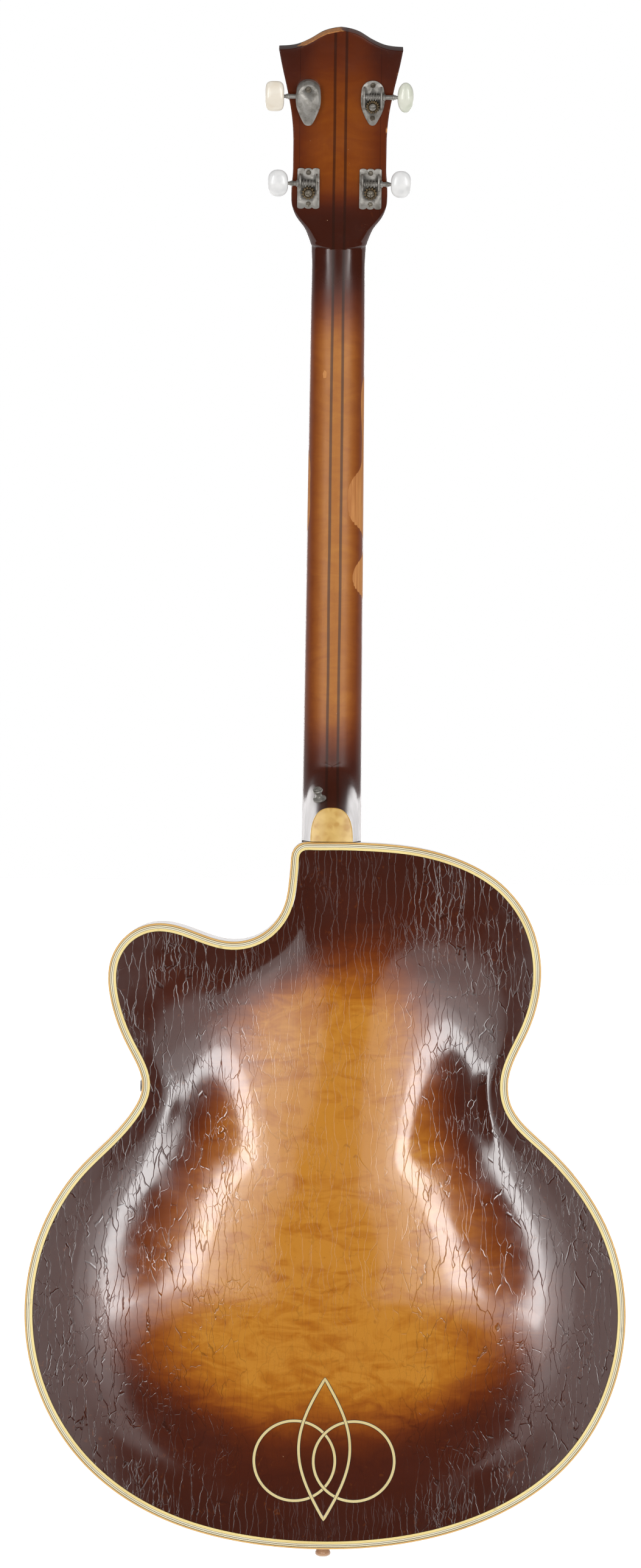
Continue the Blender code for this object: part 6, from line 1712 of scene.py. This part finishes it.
# %% [markdown]
# ## Fingerboard, frets and nut
#
# The front is not in the photograph, so it follows common practice: a slightly domed board of
# rosewood with twenty frets, small pearl dots and a bone nut with a groove for each string.

# %% Fingerboard
BOARD_CROWN = 0.0009
FRET_COUNT = 20


def fret_distance(count):
    """Each fret takes a twelfth of an octave off the string: scale x (1 - 2^(-n/12))."""
    return SCALE_LENGTH * (1 - 2 ** (-np.asarray(count, float) / 12))


BOARD_END_S = float(NUT_S - fret_distance(FRET_COUNT) - 0.0080)
BRIDGE_S = NUT_S - SCALE_LENGTH


def half_width(s):
    return NECK_HALVES[1] + (NECK_HALVES[0] - NECK_HALVES[1]) * (NUT_S - s) / NUT_S


s = np.linspace(BOARD_END_S, NUT_S - GAP, 60)[:, None]
across = np.linspace(-1, 1, 25)[None]
face = neck_place(across * half_width(s), s, BOARD_CROWN * across**2)
under = neck_place(across[:, ::-1] * half_width(s), s, BOARD_THICKNESS)
board = skin("board", np.concatenate((face, under), 1), ROSEWOOD, sharp=30)
settle(board, "instrument", "rosewood", "fingerboard")

# %% Frets and dots
FRET_HEIGHT, FRET_WIDTH = 0.0010, 0.0026


def fret(count):
    """A half oval bead across the board, with its ends filed round."""
    place = float(NUT_S - fret_distance(count))
    across = np.linspace(-1, 1, 41)[:, None]
    turns = np.linspace(0, math.pi, 13)[None]
    end = np.sqrt(np.clip(1 - ((np.abs(across) - 0.965) / 0.035).clip(0, 1) ** 2, 0.02, 1))
    h = BOARD_CROWN * across**2 + 0.0003 - (FRET_HEIGHT + 0.0003) * np.sin(turns) * end
    points = neck_place(across * half_width(place), place + FRET_WIDTH / 2 * np.cos(turns), h)
    return skin(f"fret_{count}", points, STEEL)


frets = joined("frets", [fret(count) for count in range(1, FRET_COUNT + 1)])
settle(frets, "instrument", "rosewood")

DOT_RADIUS = 0.0035
dots = []
for count in (3, 5, 7, 9, 12, 15, 17, 19):
    middle = float(NUT_S - (fret_distance(count) + fret_distance(count - 1)) / 2)
    for x in ((-0.010, 0.010) if count == 12 else (0,)):
        disc = lathe([(DOT_RADIUS, 0.0), (DOT_RADIUS, 1.0), (DOT_RADIUS * 0.9, 1.1)], 32)
        local_x = x + disc[..., 0]
        h = BOARD_CROWN * (local_x / half_width(middle)) ** 2 + 0.0002 - 0.00025 * disc[..., 2]
        dots.append(skin(f"dot_{count}_{x}", neck_place(local_x, middle + disc[..., 1], h), WHITE_PEARL))
settle(joined("board_dots", dots), "instrument", "pearl")
print("frets and dots:", FRET_COUNT, len(dots))

# %% Nut
STRING_DIAMETERS = (0.00267, 0.00216, 0.00165, 0.00114)
NUT_SPACING = 0.0105
BRIDGE_SPACING = 0.0145
NUT_HEIGHT = 0.0022
nut_x = np.linspace(-NECK_HALVES[1], NECK_HALVES[1], 241)
top = np.full(len(nut_x), BOARD_CROWN - NUT_HEIGHT - 0.0008)
for k, diameter in enumerate(STRING_DIAMETERS):
    radius = diameter / 2
    off = np.abs(nut_x - (k - 1.5) * NUT_SPACING)
    middle = BOARD_CROWN - NUT_HEIGHT - GAP - radius
    groove = middle + np.sqrt(np.clip((radius + 0.0002) ** 2 - off**2, 0, None))
    top = np.where(off < radius + 0.0002, np.maximum(top, groove), top)
top = top + 0.0008 * rounded_end(nut_x, NECK_HALVES[1], 0.0008)
low_s, high_s = NUT_S, NUT_S + NUT_THICKNESS - GAP
loop = ((low_s, None), (low_s, 0.0005), (low_s + 0.0005, 0.0), (high_s - 0.0008, 0.0003), (high_s, 0.0012),
        (high_s, None))
columns_of_nut = [neck_place(nut_x, np.full(len(nut_x), at), np.full(len(nut_x), BOARD_THICKNESS)
                             if deeper is None else top + deeper) for at, deeper in loop]
settle(skin("carved_nut", np.stack(columns_of_nut, 1), BONE, sharp=32), "instrument", "cream", "nut")

# %% [markdown]
# ## Bridge
#
# The bridge is not glued. Its base follows the top's curve, and two threaded posts carry the
# saddle on round nuts with milled edges. Turning the nuts lifts the saddle.

# %% Base and saddle
BRIDGE_ACTION = 0.0045
BRIDGE_Z = float(neck_place(0.0, BRIDGE_S, 0.0)[2])


def saddle_contact(k):
    """The middle of a string over the saddle."""
    radius = STRING_DIAMETERS[k] / 2
    return neck_place((k - 1.5) * BRIDGE_SPACING, BRIDGE_S, -BRIDGE_ACTION - radius)


CREST = float(np.mean([saddle_contact(k)[1] + STRING_DIAMETERS[k] / 2 for k in (1, 2)])) + GAP
SADDLE_LOW = CREST + 0.0115
WHEEL_FAR = SADDLE_LOW + GAP
BASE_HALF, BASE_WIDE = 0.0600, 0.0120
base_top = float(plate_level(0.0, BRIDGE_Z, -1, TOP_ARCH)) - 0.0050

share = np.linspace(-1, 1, 81)
x = share * BASE_HALF
crown = base_top + 0.0030 * np.abs(share) ** 3
half = BASE_WIDE / 2
around_base = []
for wide, up in ((-1, None), (1, None), (0.94, 0.0022), (0.86, 0.0004), (0.72, 0.0), (-0.72, 0.0),
                 (-0.86, 0.0004), (-0.94, 0.0022)):
    z = np.full_like(x, BRIDGE_Z + half * wide)
    seat = plate_level(x, z, -1, TOP_ARCH) - 2 * GAP
    y = seat if up is None else np.minimum(crown + up, seat - 0.0004)
    around_base.append(np.stack((x, y, z), 1))
base = skin("base", np.stack(around_base, 1), ROSEWOOD, sharp=32)


def bridge_axes(x):
    """A frame on a bridge post: z points out of the top."""
    return axes((x, 0.0, BRIDGE_Z), (1, 0, 0), (0, 0, 1), (0, -1, 0))


def post_bores(low, high):
    return [drill(f"post_bore_{side}", THREAD_RADIUS + BORE_GAP, low, high, bridge_axes(side * POST_SPREAD))
            for side in (1, -1)]


POST_SPREAD, THREAD_RADIUS = 0.0320, 0.0016
SADDLE_HALF, SADDLE_WIDE = 0.0400, 0.0090
settle(cut_by(base, post_bores(0.045, 0.065)), "instrument", "rosewood", "bridge_base")

x = np.linspace(-1, 1, 321) * SADDLE_HALF
drop = 0.0025 * np.clip(np.abs(x) / SADDLE_HALF - 0.6, 0, 1) / 0.4
ridge = CREST + drop
for k, diameter in enumerate(STRING_DIAMETERS):
    off = np.abs(x - (k - 1.5) * BRIDGE_SPACING)
    radius = diameter / 2 + 0.0002
    groove = np.sqrt(np.clip(radius**2 - off**2, 0, None)) * 0.45
    ridge = ridge + groove
loops = []
for wide, up in ((-1.0, None), (1.0, None), (0.96, 0.0070), (0.62, 0.0018), (0.40, 0.0004), (0.30, 0.0),
                 (-0.30, 0.0), (-0.40, 0.0004), (-0.62, 0.0018), (-0.96, 0.0070)):
    y = np.full_like(x, SADDLE_LOW) if up is None else ridge + up
    loops.append(np.stack((x, y, np.full_like(x, BRIDGE_Z + wide * SADDLE_WIDE / 2)), 1))
saddle = skin("saddle_wood", np.stack(loops, 1), ROSEWOOD, sharp=32)
cut_by(saddle, post_bores(-SADDLE_LOW - 0.002, -CREST - 0.003))
settle(saddle, "saddle", "rosewood", "bridge_saddle")

# %% Threaded posts and milled wheels
WHEEL_RADIUS, WHEEL_THICKNESS = 0.0075, 0.0035
WHEEL_RIDGES, RIDGE_DEPTH = 40, 0.00035
THREAD_PITCH, THREAD_DEPTH = 0.0008, 0.00022


def threaded_post(x):
    """A fine helix: the radius falls and rises once in each turn of the thread.

    The post ends inside the saddle, low enough that the saddle can come down 3 mm.
    """
    low = -float(plate_level(x, BRIDGE_Z, -1, TOP_ARCH)) + 0.0016
    high = -CREST - 0.0065
    z = np.linspace(low, high, 300)[:, None]
    angle = full_turn(32)[None]
    phase = (z / THREAD_PITCH - angle / (2 * math.pi)) % 1
    radius = THREAD_RADIUS - THREAD_DEPTH * (1 - np.abs(2 * phase - 1))
    return moved(turn(angle, radius, z), bridge_axes(x))


def milled_wheel(x):
    """A ring with a bore. Its rim has forty ridges: the radius falls with a pointed wave."""
    angle = full_turn(320)
    ridges = np.abs((angle * WHEEL_RIDGES / (2 * math.pi)) % 1 - 0.5) * 2
    high, low = -WHEEL_FAR, -WHEEL_FAR - WHEEL_THICKNESS
    loop = ((0, high), (0.6, high), (0.94, high), (1.0, high - 0.0005), (1.0, low + 0.0005), (0.94, low),
            (0.6, low), (0, low))
    bore_radius = THREAD_RADIUS + BORE_GAP
    rings = []
    for share, z in loop:
        radius = bore_radius + share * (WHEEL_RADIUS - bore_radius)
        rings.append(turn(angle, radius - RIDGE_DEPTH * ridges * (share == 1.0), z))
    return moved(np.array(rings), bridge_axes(x))


for side, sign in (("treble", 1), ("bass", -1)):
    made = skin(f"thread_{side}", threaded_post(sign * POST_SPREAD), BRASS)
    settle(made, "instrument", "brass", f"bridge_post_{side}")
    made = skin(f"wheel_of_{side}_side", milled_wheel(sign * POST_SPREAD), BRASS, closed=True, sharp=30)
    settle(made, f"wheel_{side}", "brass", f"bridge_wheel_{side}")
print("bridge at z =", round(BRIDGE_Z, 4))

# %% [markdown]
# ## Tailpiece
#
# A bent metal plate runs from the tail end to a bar that holds the strings' ends. It is a thin
# section carried along a bent path, and it widens on the way. One screw holds its foot.

# %% Plate and bar
TAIL_BAR = (0.0660, 0.0740, 0.1060, 0.1140)
TAIL_THICK = 0.0020
TAIL_HALVES = (0.0090, 0.0310)
TAIL_SCREW_Y = 0.0155 - EDGE_Y
bar_middle = -(TAIL_BAR[0] + TAIL_BAR[1]) / 2
rim_z = TAIL_Z - GAP - TAIL_THICK / 2
tail_path = np.array((
    (-0.0088, rim_z), (-EDGE_Y - 0.0005, rim_z), (-EDGE_Y - 0.0055, rim_z + 0.0035),
    (-EDGE_Y - 0.0180, TAIL_Z + 0.0250), (bar_middle + 0.0030, TAIL_Z + 0.0700),
    (bar_middle, TAIL_Z + TAIL_BAR[2] + TAIL_THICK)))


def rounded_path(points, radius=0.0035):
    """A path whose corners are replaced by short curves: each is a blend of its two legs."""
    runs = [points[:1]]
    for before, corner, after in zip(points[:-2], points[1:-1], points[2:]):
        legs = [before - corner, after - corner]
        ends = [corner + leg * min(0.45, radius / np.linalg.norm(leg)) for leg in legs]
        t = np.linspace(0, 1, 7)[:, None]
        runs.append((1 - t) ** 2 * ends[0] + 2 * t * (1 - t) * corner + t**2 * ends[1])
    return np.concatenate(runs + [points[-1:]])


def path_normals(path):
    """Unit normals to the left of a flat path."""
    way = np.gradient(path, axis=0)
    way = way / np.linalg.norm(way, axis=1)[:, None]
    return np.stack((-way[:, 1], way[:, 0]), 1)


def run_along(path):
    """The length run at each point of a path."""
    return np.append(0, np.cumsum(np.linalg.norm(np.diff(path, axis=0), axis=1)))


bent = rounded_path(tail_path)
length = run_along(bent)
fine = np.linspace(0, length[-1], 70)
bent = np.stack([np.interp(fine, length, column) for column in bent.T], 1)
normal = path_normals(bent)
grown = ease(0.10, 1.0, fine / fine[-1])
half = TAIL_HALVES[0] + (TAIL_HALVES[1] - TAIL_HALVES[0]) * grown
loop = ((-1, -0.3), (-1, 0.3), (-0.985, 0.5), (-0.9, 0.5), (-0.86, 0.62), (-0.80, 0.5), (0, 0.5),
        (0.80, 0.5), (0.86, 0.62), (0.9, 0.5), (0.985, 0.5), (1, 0.3), (1, -0.3), (0.985, -0.5),
        (0, -0.5), (-0.985, -0.5))
rings = np.stack([np.insert(bent + up * TAIL_THICK * normal * -1, 0, across * half, axis=1)
                  for across, up in loop], 1)
tail_plate = skin("tail_plate", rings, NICKEL, sharp=30)
tool = axes((0.0, TAIL_SCREW_Y, 0.0), (1, 0, 0), (0, 1, 0), (0, 0, 1))
cut_by(tail_plate, [drill("tail_drill", SCREW_SHANK + BORE_GAP, -0.004, 0.014, tool)])

bar_half = TAIL_HALVES[1] + 0.0015
x = np.linspace(-bar_half, bar_half, 221)
small = 1 - 0.45 * rounded_end(x, bar_half, 0.002)
slot = np.zeros_like(x)
for k, diameter in enumerate(STRING_DIAMETERS):
    off = np.abs(x - (k - 1.5) * BRIDGE_SPACING)
    slot = np.maximum(slot, 1 - ease(diameter * 0.55, diameter * 0.75, off))
turns = full_turn(32)
middle_z = TAIL_Z + (TAIL_BAR[2] + TAIL_BAR[3]) / 2
wide, tall = (TAIL_BAR[1] - TAIL_BAR[0]) / 2, (TAIL_BAR[3] - TAIL_BAR[2]) / 2
cos, sin = np.cos(turns), np.sin(turns)
y = bar_middle + wide * np.sign(cos) * np.abs(cos) ** 0.5 * small[:, None]
z = middle_z + tall * np.sign(sin) * np.abs(sin) ** 0.5 * small[:, None]
y = y + np.where(y < bar_middle, (0.0016 * slot)[:, None] * (z > middle_z), 0.0)
bar = skin("tail_bar", np.stack((np.broadcast_to(x[:, None], y.shape), y, z), -1), NICKEL)
settle(joined("tailpiece_metal", [tail_plate, bar]), "instrument", "nickel", "tailpiece")
seat = axes((0.0, TAIL_SCREW_Y, TAIL_Z - 2 * GAP - TAIL_THICK), (1, 0, 0), (0, -1, 0), (0, 0, -1))
settle(screw_head("tail_screw", seat, 0.0032, 0.0016, DARK_NICKEL, 0.00034, shank=0.0140), "instrument",
       "nickel", "tailpiece_screw")

# %% [markdown]
# ## Pickguard and its bracket
#
# The guard is a flat sheet of black celluloid with a cream edge. It stands clear of the top, and
# a bent strip holds it off the rib.

# %% Pickguard
GUARD_ACROSS = (0.0262, 0.0262, 0.0400, 0.0620, 0.0800, 0.0860, 0.0800, 0.0640, 0.0440)
GUARD_SHARES = (0.2996, 0.9301, 0.9551, 0.9301, 0.8240, 0.6680, 0.4807, 0.3246, 0.2372)
GUARD_LEVEL, GUARD_THICKNESS = 0.0010, 0.0025
GUARD_PLIES = ((0.0005, colour(30, 26, 22)), (0.0012, colour(222, 206, 150)), (0.0010, colour(24, 21, 19)))
GUARD_FINISH = celluloid("guard_plies", GUARD_PLIES)


def even_run(points, count, closed=True):
    """Points at even steps along straight pieces."""
    points = np.array(points, float)
    if closed:
        points = np.concatenate((points, points[:1]))
    run = run_along(points)
    steps = np.linspace(0, run[-1], count, endpoint=not closed)
    return np.stack([np.interp(steps, run, column) for column in points.T], 1)


def guard_outline():
    """Straight along the strings, and a spline round the rest, from corner to corner."""
    beside = half_width(BOARD_END_S) + GAP
    corners = [(beside, 0.2060 * BRIDGE_S), (beside, BOARD_END_S)]
    curve = np.array([(x, share * BRIDGE_S) for x, share in zip(GUARD_ACROSS, GUARD_SHARES)])
    soft = closed_spline(curve)(np.linspace(1, len(curve) - 1, 150))[0]
    return even_run(np.concatenate((corners, curve[:1], soft)), 260)


outline = guard_outline()
insets = (0.0, 0.0003, 0.0005, 0.0011, 0.0017, 0.0022, 0.0028)
rings, depths = [], []
far = GUARD_LEVEL + GUARD_THICKNESS
for level, depth in [(far, 0.0)] + [(GUARD_LEVEL + 0.0003 * (d == 0.0), d) for d in insets]:
    rings.append(neck_place(*drawn_in(outline, depth).T, level))
    depths.append(np.full(len(outline), min(depth, 0.0026)))
guard = skin("guard", rings, GUARD_FINISH, sharp=60, attributes={"depth": np.array(depths)})
settle(guard, "instrument", "black", "pickguard")

# %% Bracket
low_u, high_u = 7.0, 12.0
rib_side = inset(np.linspace(low_u, high_u, 400), 0.0)
bracket_z = JOINT_Z + 0.5801 * BRIDGE_S * math.cos(NECK_ANGLE)
ends = (bracket_z - 0.0040, bracket_z + 0.0040)
order = np.argsort(rib_side[:, 1])
rib_out = [float(np.interp(z, rib_side[order, 1], rib_side[order, 0])) for z in ends]
thick = 0.0015
out = max(rib_out) + GAP + thick / 2
arm_y = float(neck_place(0.0, (ends[1] - JOINT_Z) / math.cos(NECK_ANGLE), far)[1]) + GAP + thick / 2
path = np.array(((0.0560, arm_y), (out - 0.0120, arm_y), (out, arm_y + 0.0160), (out, 0.0225 - EDGE_Y)))
path = rounded_path(path, 0.0050)
normal = path_normals(path)
loop = ((-0.5, ends[0] + 0.0002), (-0.35, ends[0]), (0.35, ends[0]), (0.5, ends[0] + 0.0002),
        (0.5, ends[1] - 0.0002), (0.35, ends[1]), (-0.35, ends[1]), (-0.5, ends[1] - 0.0002))
rings = np.stack([np.insert(path + across * thick * normal, 2, z, axis=1) for across, z in loop], 1)
settle(skin("bracket_strip", rings, NICKEL), "instrument", "nickel", "pickguard_bracket")
print("bracket stands", round(out, 4), "m from the middle")

# %% [markdown]
# ## Strings
#
# Each string is held by the tail bar, bends over saddle and nut, and winds down its post. It is
# a tube: at each point of the path, a circle across the direction. It carries the length run so
# far, which the finish turns into the windings. The stretch over the saddle rides on the saddle,
# the stretch past the nut on the instrument and the coil on its post's winder; the stretches in
# between stand alone.

# %% Tubes along a path
NUT_RELIEF = 0.0020
WIND_UP = 0.0120
WIND_TURNS = 2.0


STRING_SIDES = 14


def tube(name, path, radius, reference, start=0.0):
    """Circles across a path, each turned to a fixed reference direction."""
    path = np.asarray(path, float)
    way = np.gradient(path, axis=0)
    way = way / np.linalg.norm(way, axis=1)[:, None]
    one = np.cross(way, reference)
    one = one / np.linalg.norm(one, axis=1)[:, None]
    two = np.cross(way, one)
    angle = full_turn(STRING_SIDES)[None, :, None]
    rings = path[:, None] + radius * (np.cos(angle) * one[:, None] + np.sin(angle) * two[:, None])
    along = start + run_along(path)
    return skin(name, rings, STRING, attributes={"along": np.repeat(along, STRING_SIDES)}), float(along[-1])


def spaced(points, step=0.004):
    """A path through straight pieces, with points about one step apart."""
    points = np.array(points)
    return even_run(points, max(3, int(run_along(points)[-1] / step)), closed=False)


def winding(side, place, radius, nut_x):
    """A helix down the post, which starts where the string from the nut touches it."""
    across, up = place
    wind = POST_RADIUS + BORE_GAP + radius
    away = np.array((side * nut_x, -NUT_RELIEF))
    towards = np.array((across - wind, up)) - away
    towards = towards / np.linalg.norm(towards)
    first = math.atan2(towards[0], -towards[1])
    turned = np.linspace(0, WIND_TURNS, int(WIND_TURNS * 40) + 1)
    angle = first - turned * 2 * math.pi
    h = -WIND_UP + (2 * radius + 0.0005) * np.clip(turned - 2 / 12, 0, None)
    return head_place(side * (across + wind * np.cos(angle)), up + wind * np.sin(angle), h)


STRINGS = (("e", -1, LOWER_POST), ("a", -1, UPPER_POST), ("d", 1, UPPER_POST), ("g", 1, LOWER_POST))
POST_NAMES = ("lower_bass", "upper_bass", "upper_treble", "lower_treble")
BALL_PROFILE = ((0.0008, -0.0022), (0.0023, -0.0018), (0.0026, -0.0010), (0.0026, 0.0010),
                (0.0023, 0.0018), (0.0008, 0.0022))
for k, (letter, side, place) in enumerate(STRINGS):
    radius = STRING_DIAMETERS[k] / 2
    nut_across, bridge_across = (k - 1.5) * NUT_SPACING, (k - 1.5) * BRIDGE_SPACING
    tail = np.array((bridge_across, bar_middle, TAIL_Z + TAIL_BAR[3] + GAP))
    over = saddle_contact(k)
    before, after = over + (0.0, 0.0004, -0.0040), over + (0.0, 0.0, 0.0030)
    over_nut = BOARD_CROWN - NUT_HEIGHT - GAP - radius
    nut_points = [neck_place(nut_across, NUT_S + at, over_nut) for at in (-0.0020, NUT_THICKNESS * 0.7)]
    tail_run, used = tube(f"tail_run_{letter}", spaced([tail, before]), radius, (1, 0, 0))
    crest_run, used = tube(f"crest_run_{letter}", spaced([before, over, after], 0.001), radius,
                           (1, 0, 0), used)
    play_run, used = tube(f"play_run_{letter}", spaced([after, nut_points[0]]), radius, (1, 0, 0),
                          used)
    wound = winding(side, place, radius, nut_across)
    nut_run, used = tube(f"nut_run_{letter}", spaced([*nut_points, wound[0]], 0.002), radius,
                         (1, 0, 0), used)
    coil, used = tube(f"coil_{letter}", wound, radius, tuple(HEAD_OUT), used)
    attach(crest_run, "saddle")
    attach(nut_run, "instrument")
    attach(coil, f"winder_{POST_NAMES[k]}")
    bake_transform(tail_run)
    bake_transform(play_run)
    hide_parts(f"string_{letter}")
    below_bar = (bridge_across, bar_middle - 0.0006, TAIL_Z + TAIL_BAR[2] - 0.0026)
    settle(skin(f"ball_{letter}", lathe(BALL_PROFILE, 28) + below_bar, BRASS), "instrument", "brass")
    print(letter, "string:", round(used, 3), "m")

# %% [markdown]
# ## What is inside
#
# Linings, blocks, tone bars and the neck's bar stay as they are in the plain model. Only light
# through the f-holes and a cut-away view would show them, but they get real finishes too.

# %% Finishes for the plain pieces
INSIDE = {
    SPRUCE: ("lining_back_treble", "lining_back_bass", "lining_top_treble", "lining_top_bass",
             "tone_bar_treble", "tone_bar_bass"),
    BLOCK_WOOD: ("neck_block", "tail_block"),
    STEEL: ("neck_reinforcing_bar",),
}
for finish, names in INSIDE.items():
    for name in names:
        for slot_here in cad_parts[name].material_slots:
            slot_here.material = finish
print("inside:", sum(len(names) for names in INSIDE.values()), "pieces")

# %% [markdown]
# ## Floor, light and camera
#
# The guitar hangs upright in a studio. On each side of the camera stand four tall lights that
# share their outer edge. The narrow one is bright and the wide ones are dim, so the bands on the
# arched back are crisp on one side and fade on the other. The background is white only for the
# camera and for mirrors, so it adds no light to the colours. A pale floor takes the shadow.

# %% A floor that looks white and keeps its shadow
FLOOR_Z = -0.3500
BLACK, WHITE = (0.0, 0.0, 0.0, 1.0), (1.0, 1.0, 1.0, 1.0)


def floor_finish():
    """Diffuse white paint, lifted by a little light that only the camera and mirrors see."""
    made, shader, where = new_finish("pale_floor", Roughness=0.8, Emission_Strength=1.0)
    ray = wires(add_node(where, "ShaderNodeLightPath"))
    seen = most(most(ray["Is Camera Ray"], ray["Is Glossy Ray"]), ray["Is Transmission Ray"])
    fill(shader, {"Base Color": blend(noise(where, 3.0, 3.0), colour(236, 236, 234), colour(228, 228, 226)),
                  "Emission Color": blend(seen, BLACK, (0.80, 0.80, 0.80, 1.0))})
    return made


corner = np.array(((-30, -60), (30, -60), (30, 0.6), (-30, 0.6)), float)
floor = piece("floor", np.insert(corner, 2, FLOOR_Z, axis=1), [(0, 1, 2, 3)], floor_finish())
floor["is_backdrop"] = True

# %% [markdown]
# The room is grey for plain surfaces and white for the camera. A mirror sees it white on the
# strings' side. Above, and on the side where the lights stand, it is nearly dark there, so that
# the edges of the lights show.

# %% World
world = bpy.data.worlds.new("studio")
bpy.context.scene.world = world
world.use_nodes = True
tree = world.node_tree
tree.nodes.clear()


def background(shade, strength=1.0):
    """Light of one colour from everywhere."""
    return Wire(add_node(tree, "ShaderNodeBackground", {"Color": shade, "Strength": strength}).outputs[0])


def either(share, first, second):
    """The first light where the share is 0, the second where it is 1."""
    return Wire(add_node(tree, "ShaderNodeMixShader", {0: share, 1: first, 2: second}).outputs[0])


direction = Wire(add_node(tree, "ShaderNodeTexCoord").outputs["Generated"])
above = rise(split(direction, "Z"), 0.18, 0.40) * 0.85
dim = most(rise(split(direction, "Y"), -0.35, 0.15), above)
room_shade = blend(dim, WHITE, (0.05, 0.05, 0.05, 1.0))
ray = wires(add_node(tree, "ShaderNodeLightPath"))
room = either(ray["Is Glossy Ray"], background((0.62, 0.62, 0.64, 1.0), 0.85), background(room_shade))
room = either(most(ray["Is Camera Ray"], ray["Is Transmission Ray"]), room, background(WHITE))
add_node(tree, "ShaderNodeOutputWorld", {"Surface": room})


# %% Soft boxes
def soft_box(name, place, target, wide, tall, power):
    """A tall area light that faces a target."""
    data = bpy.data.lights.new(name, "AREA")
    data.shape = "RECTANGLE"
    data.size, data.size_y = wide, tall
    data.energy = power
    made = bpy.data.objects.new(name, data)
    out = Vector(place) - Vector(target)
    made.matrix_world = Matrix.Translation(place) @ out.to_track_quat("Z", "Y").to_matrix().to_4x4()
    bpy.context.scene.collection.objects.link(made)
    return made


OUTER_EDGE = 1.0200
BACK_BOXES = ((0.20, 1.40, 6.5), (0.36, 1.54, 2.6), (0.56, 1.66, 2.6), (0.78, 1.78, 5.2))
for sign in (1, -1):
    for k, (wide, tall, power) in enumerate(BACK_BOXES):
        across = sign * (OUTER_EDGE - wide / 2)
        soft_box(f"back_box_{sign}_{k}", (across, 2.34 + 0.01 * k, 0.50), (0, 0, 0.45), wide, tall, power)
    soft_box(f"front_box_{sign}", (sign * 1.1000, -2.3000, 0.7000), (0, 0, 0.55), 0.36, 1.35, 13.0)

# %% Camera
ROLL = math.radians(0.6963)
camera_data = bpy.data.cameras.new("photo_camera")
camera_data.lens = 121.87
camera_data.sensor_width = 36.0
camera_data.clip_end = 50.0
camera = bpy.data.objects.new("photo_camera", camera_data)
right, up = (-math.cos(ROLL), 0.0, math.sin(ROLL)), (math.sin(ROLL), 0.0, math.cos(ROLL))
camera.matrix_world = Matrix(axes((0.0087, 3.9700, 0.5773), right, up, (0.0, 1.0, 0.0)).tolist())
bpy.context.scene.collection.objects.link(camera)
bpy.context.scene.camera = camera
bpy.context.scene.view_settings.view_transform = "Standard"

# %% [markdown]
# ## Sizes and the end
#
# The boxes of the plain model and of the visual model are both printed. The visual model must
# fit the plain model's box.

# %% Print the sizes
full_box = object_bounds()
sizes = {"cad": [list(map(float, corner)) for corner in plain_box],
         "visual": [list(map(float, corner)) for corner in full_box]}
print(sizes)
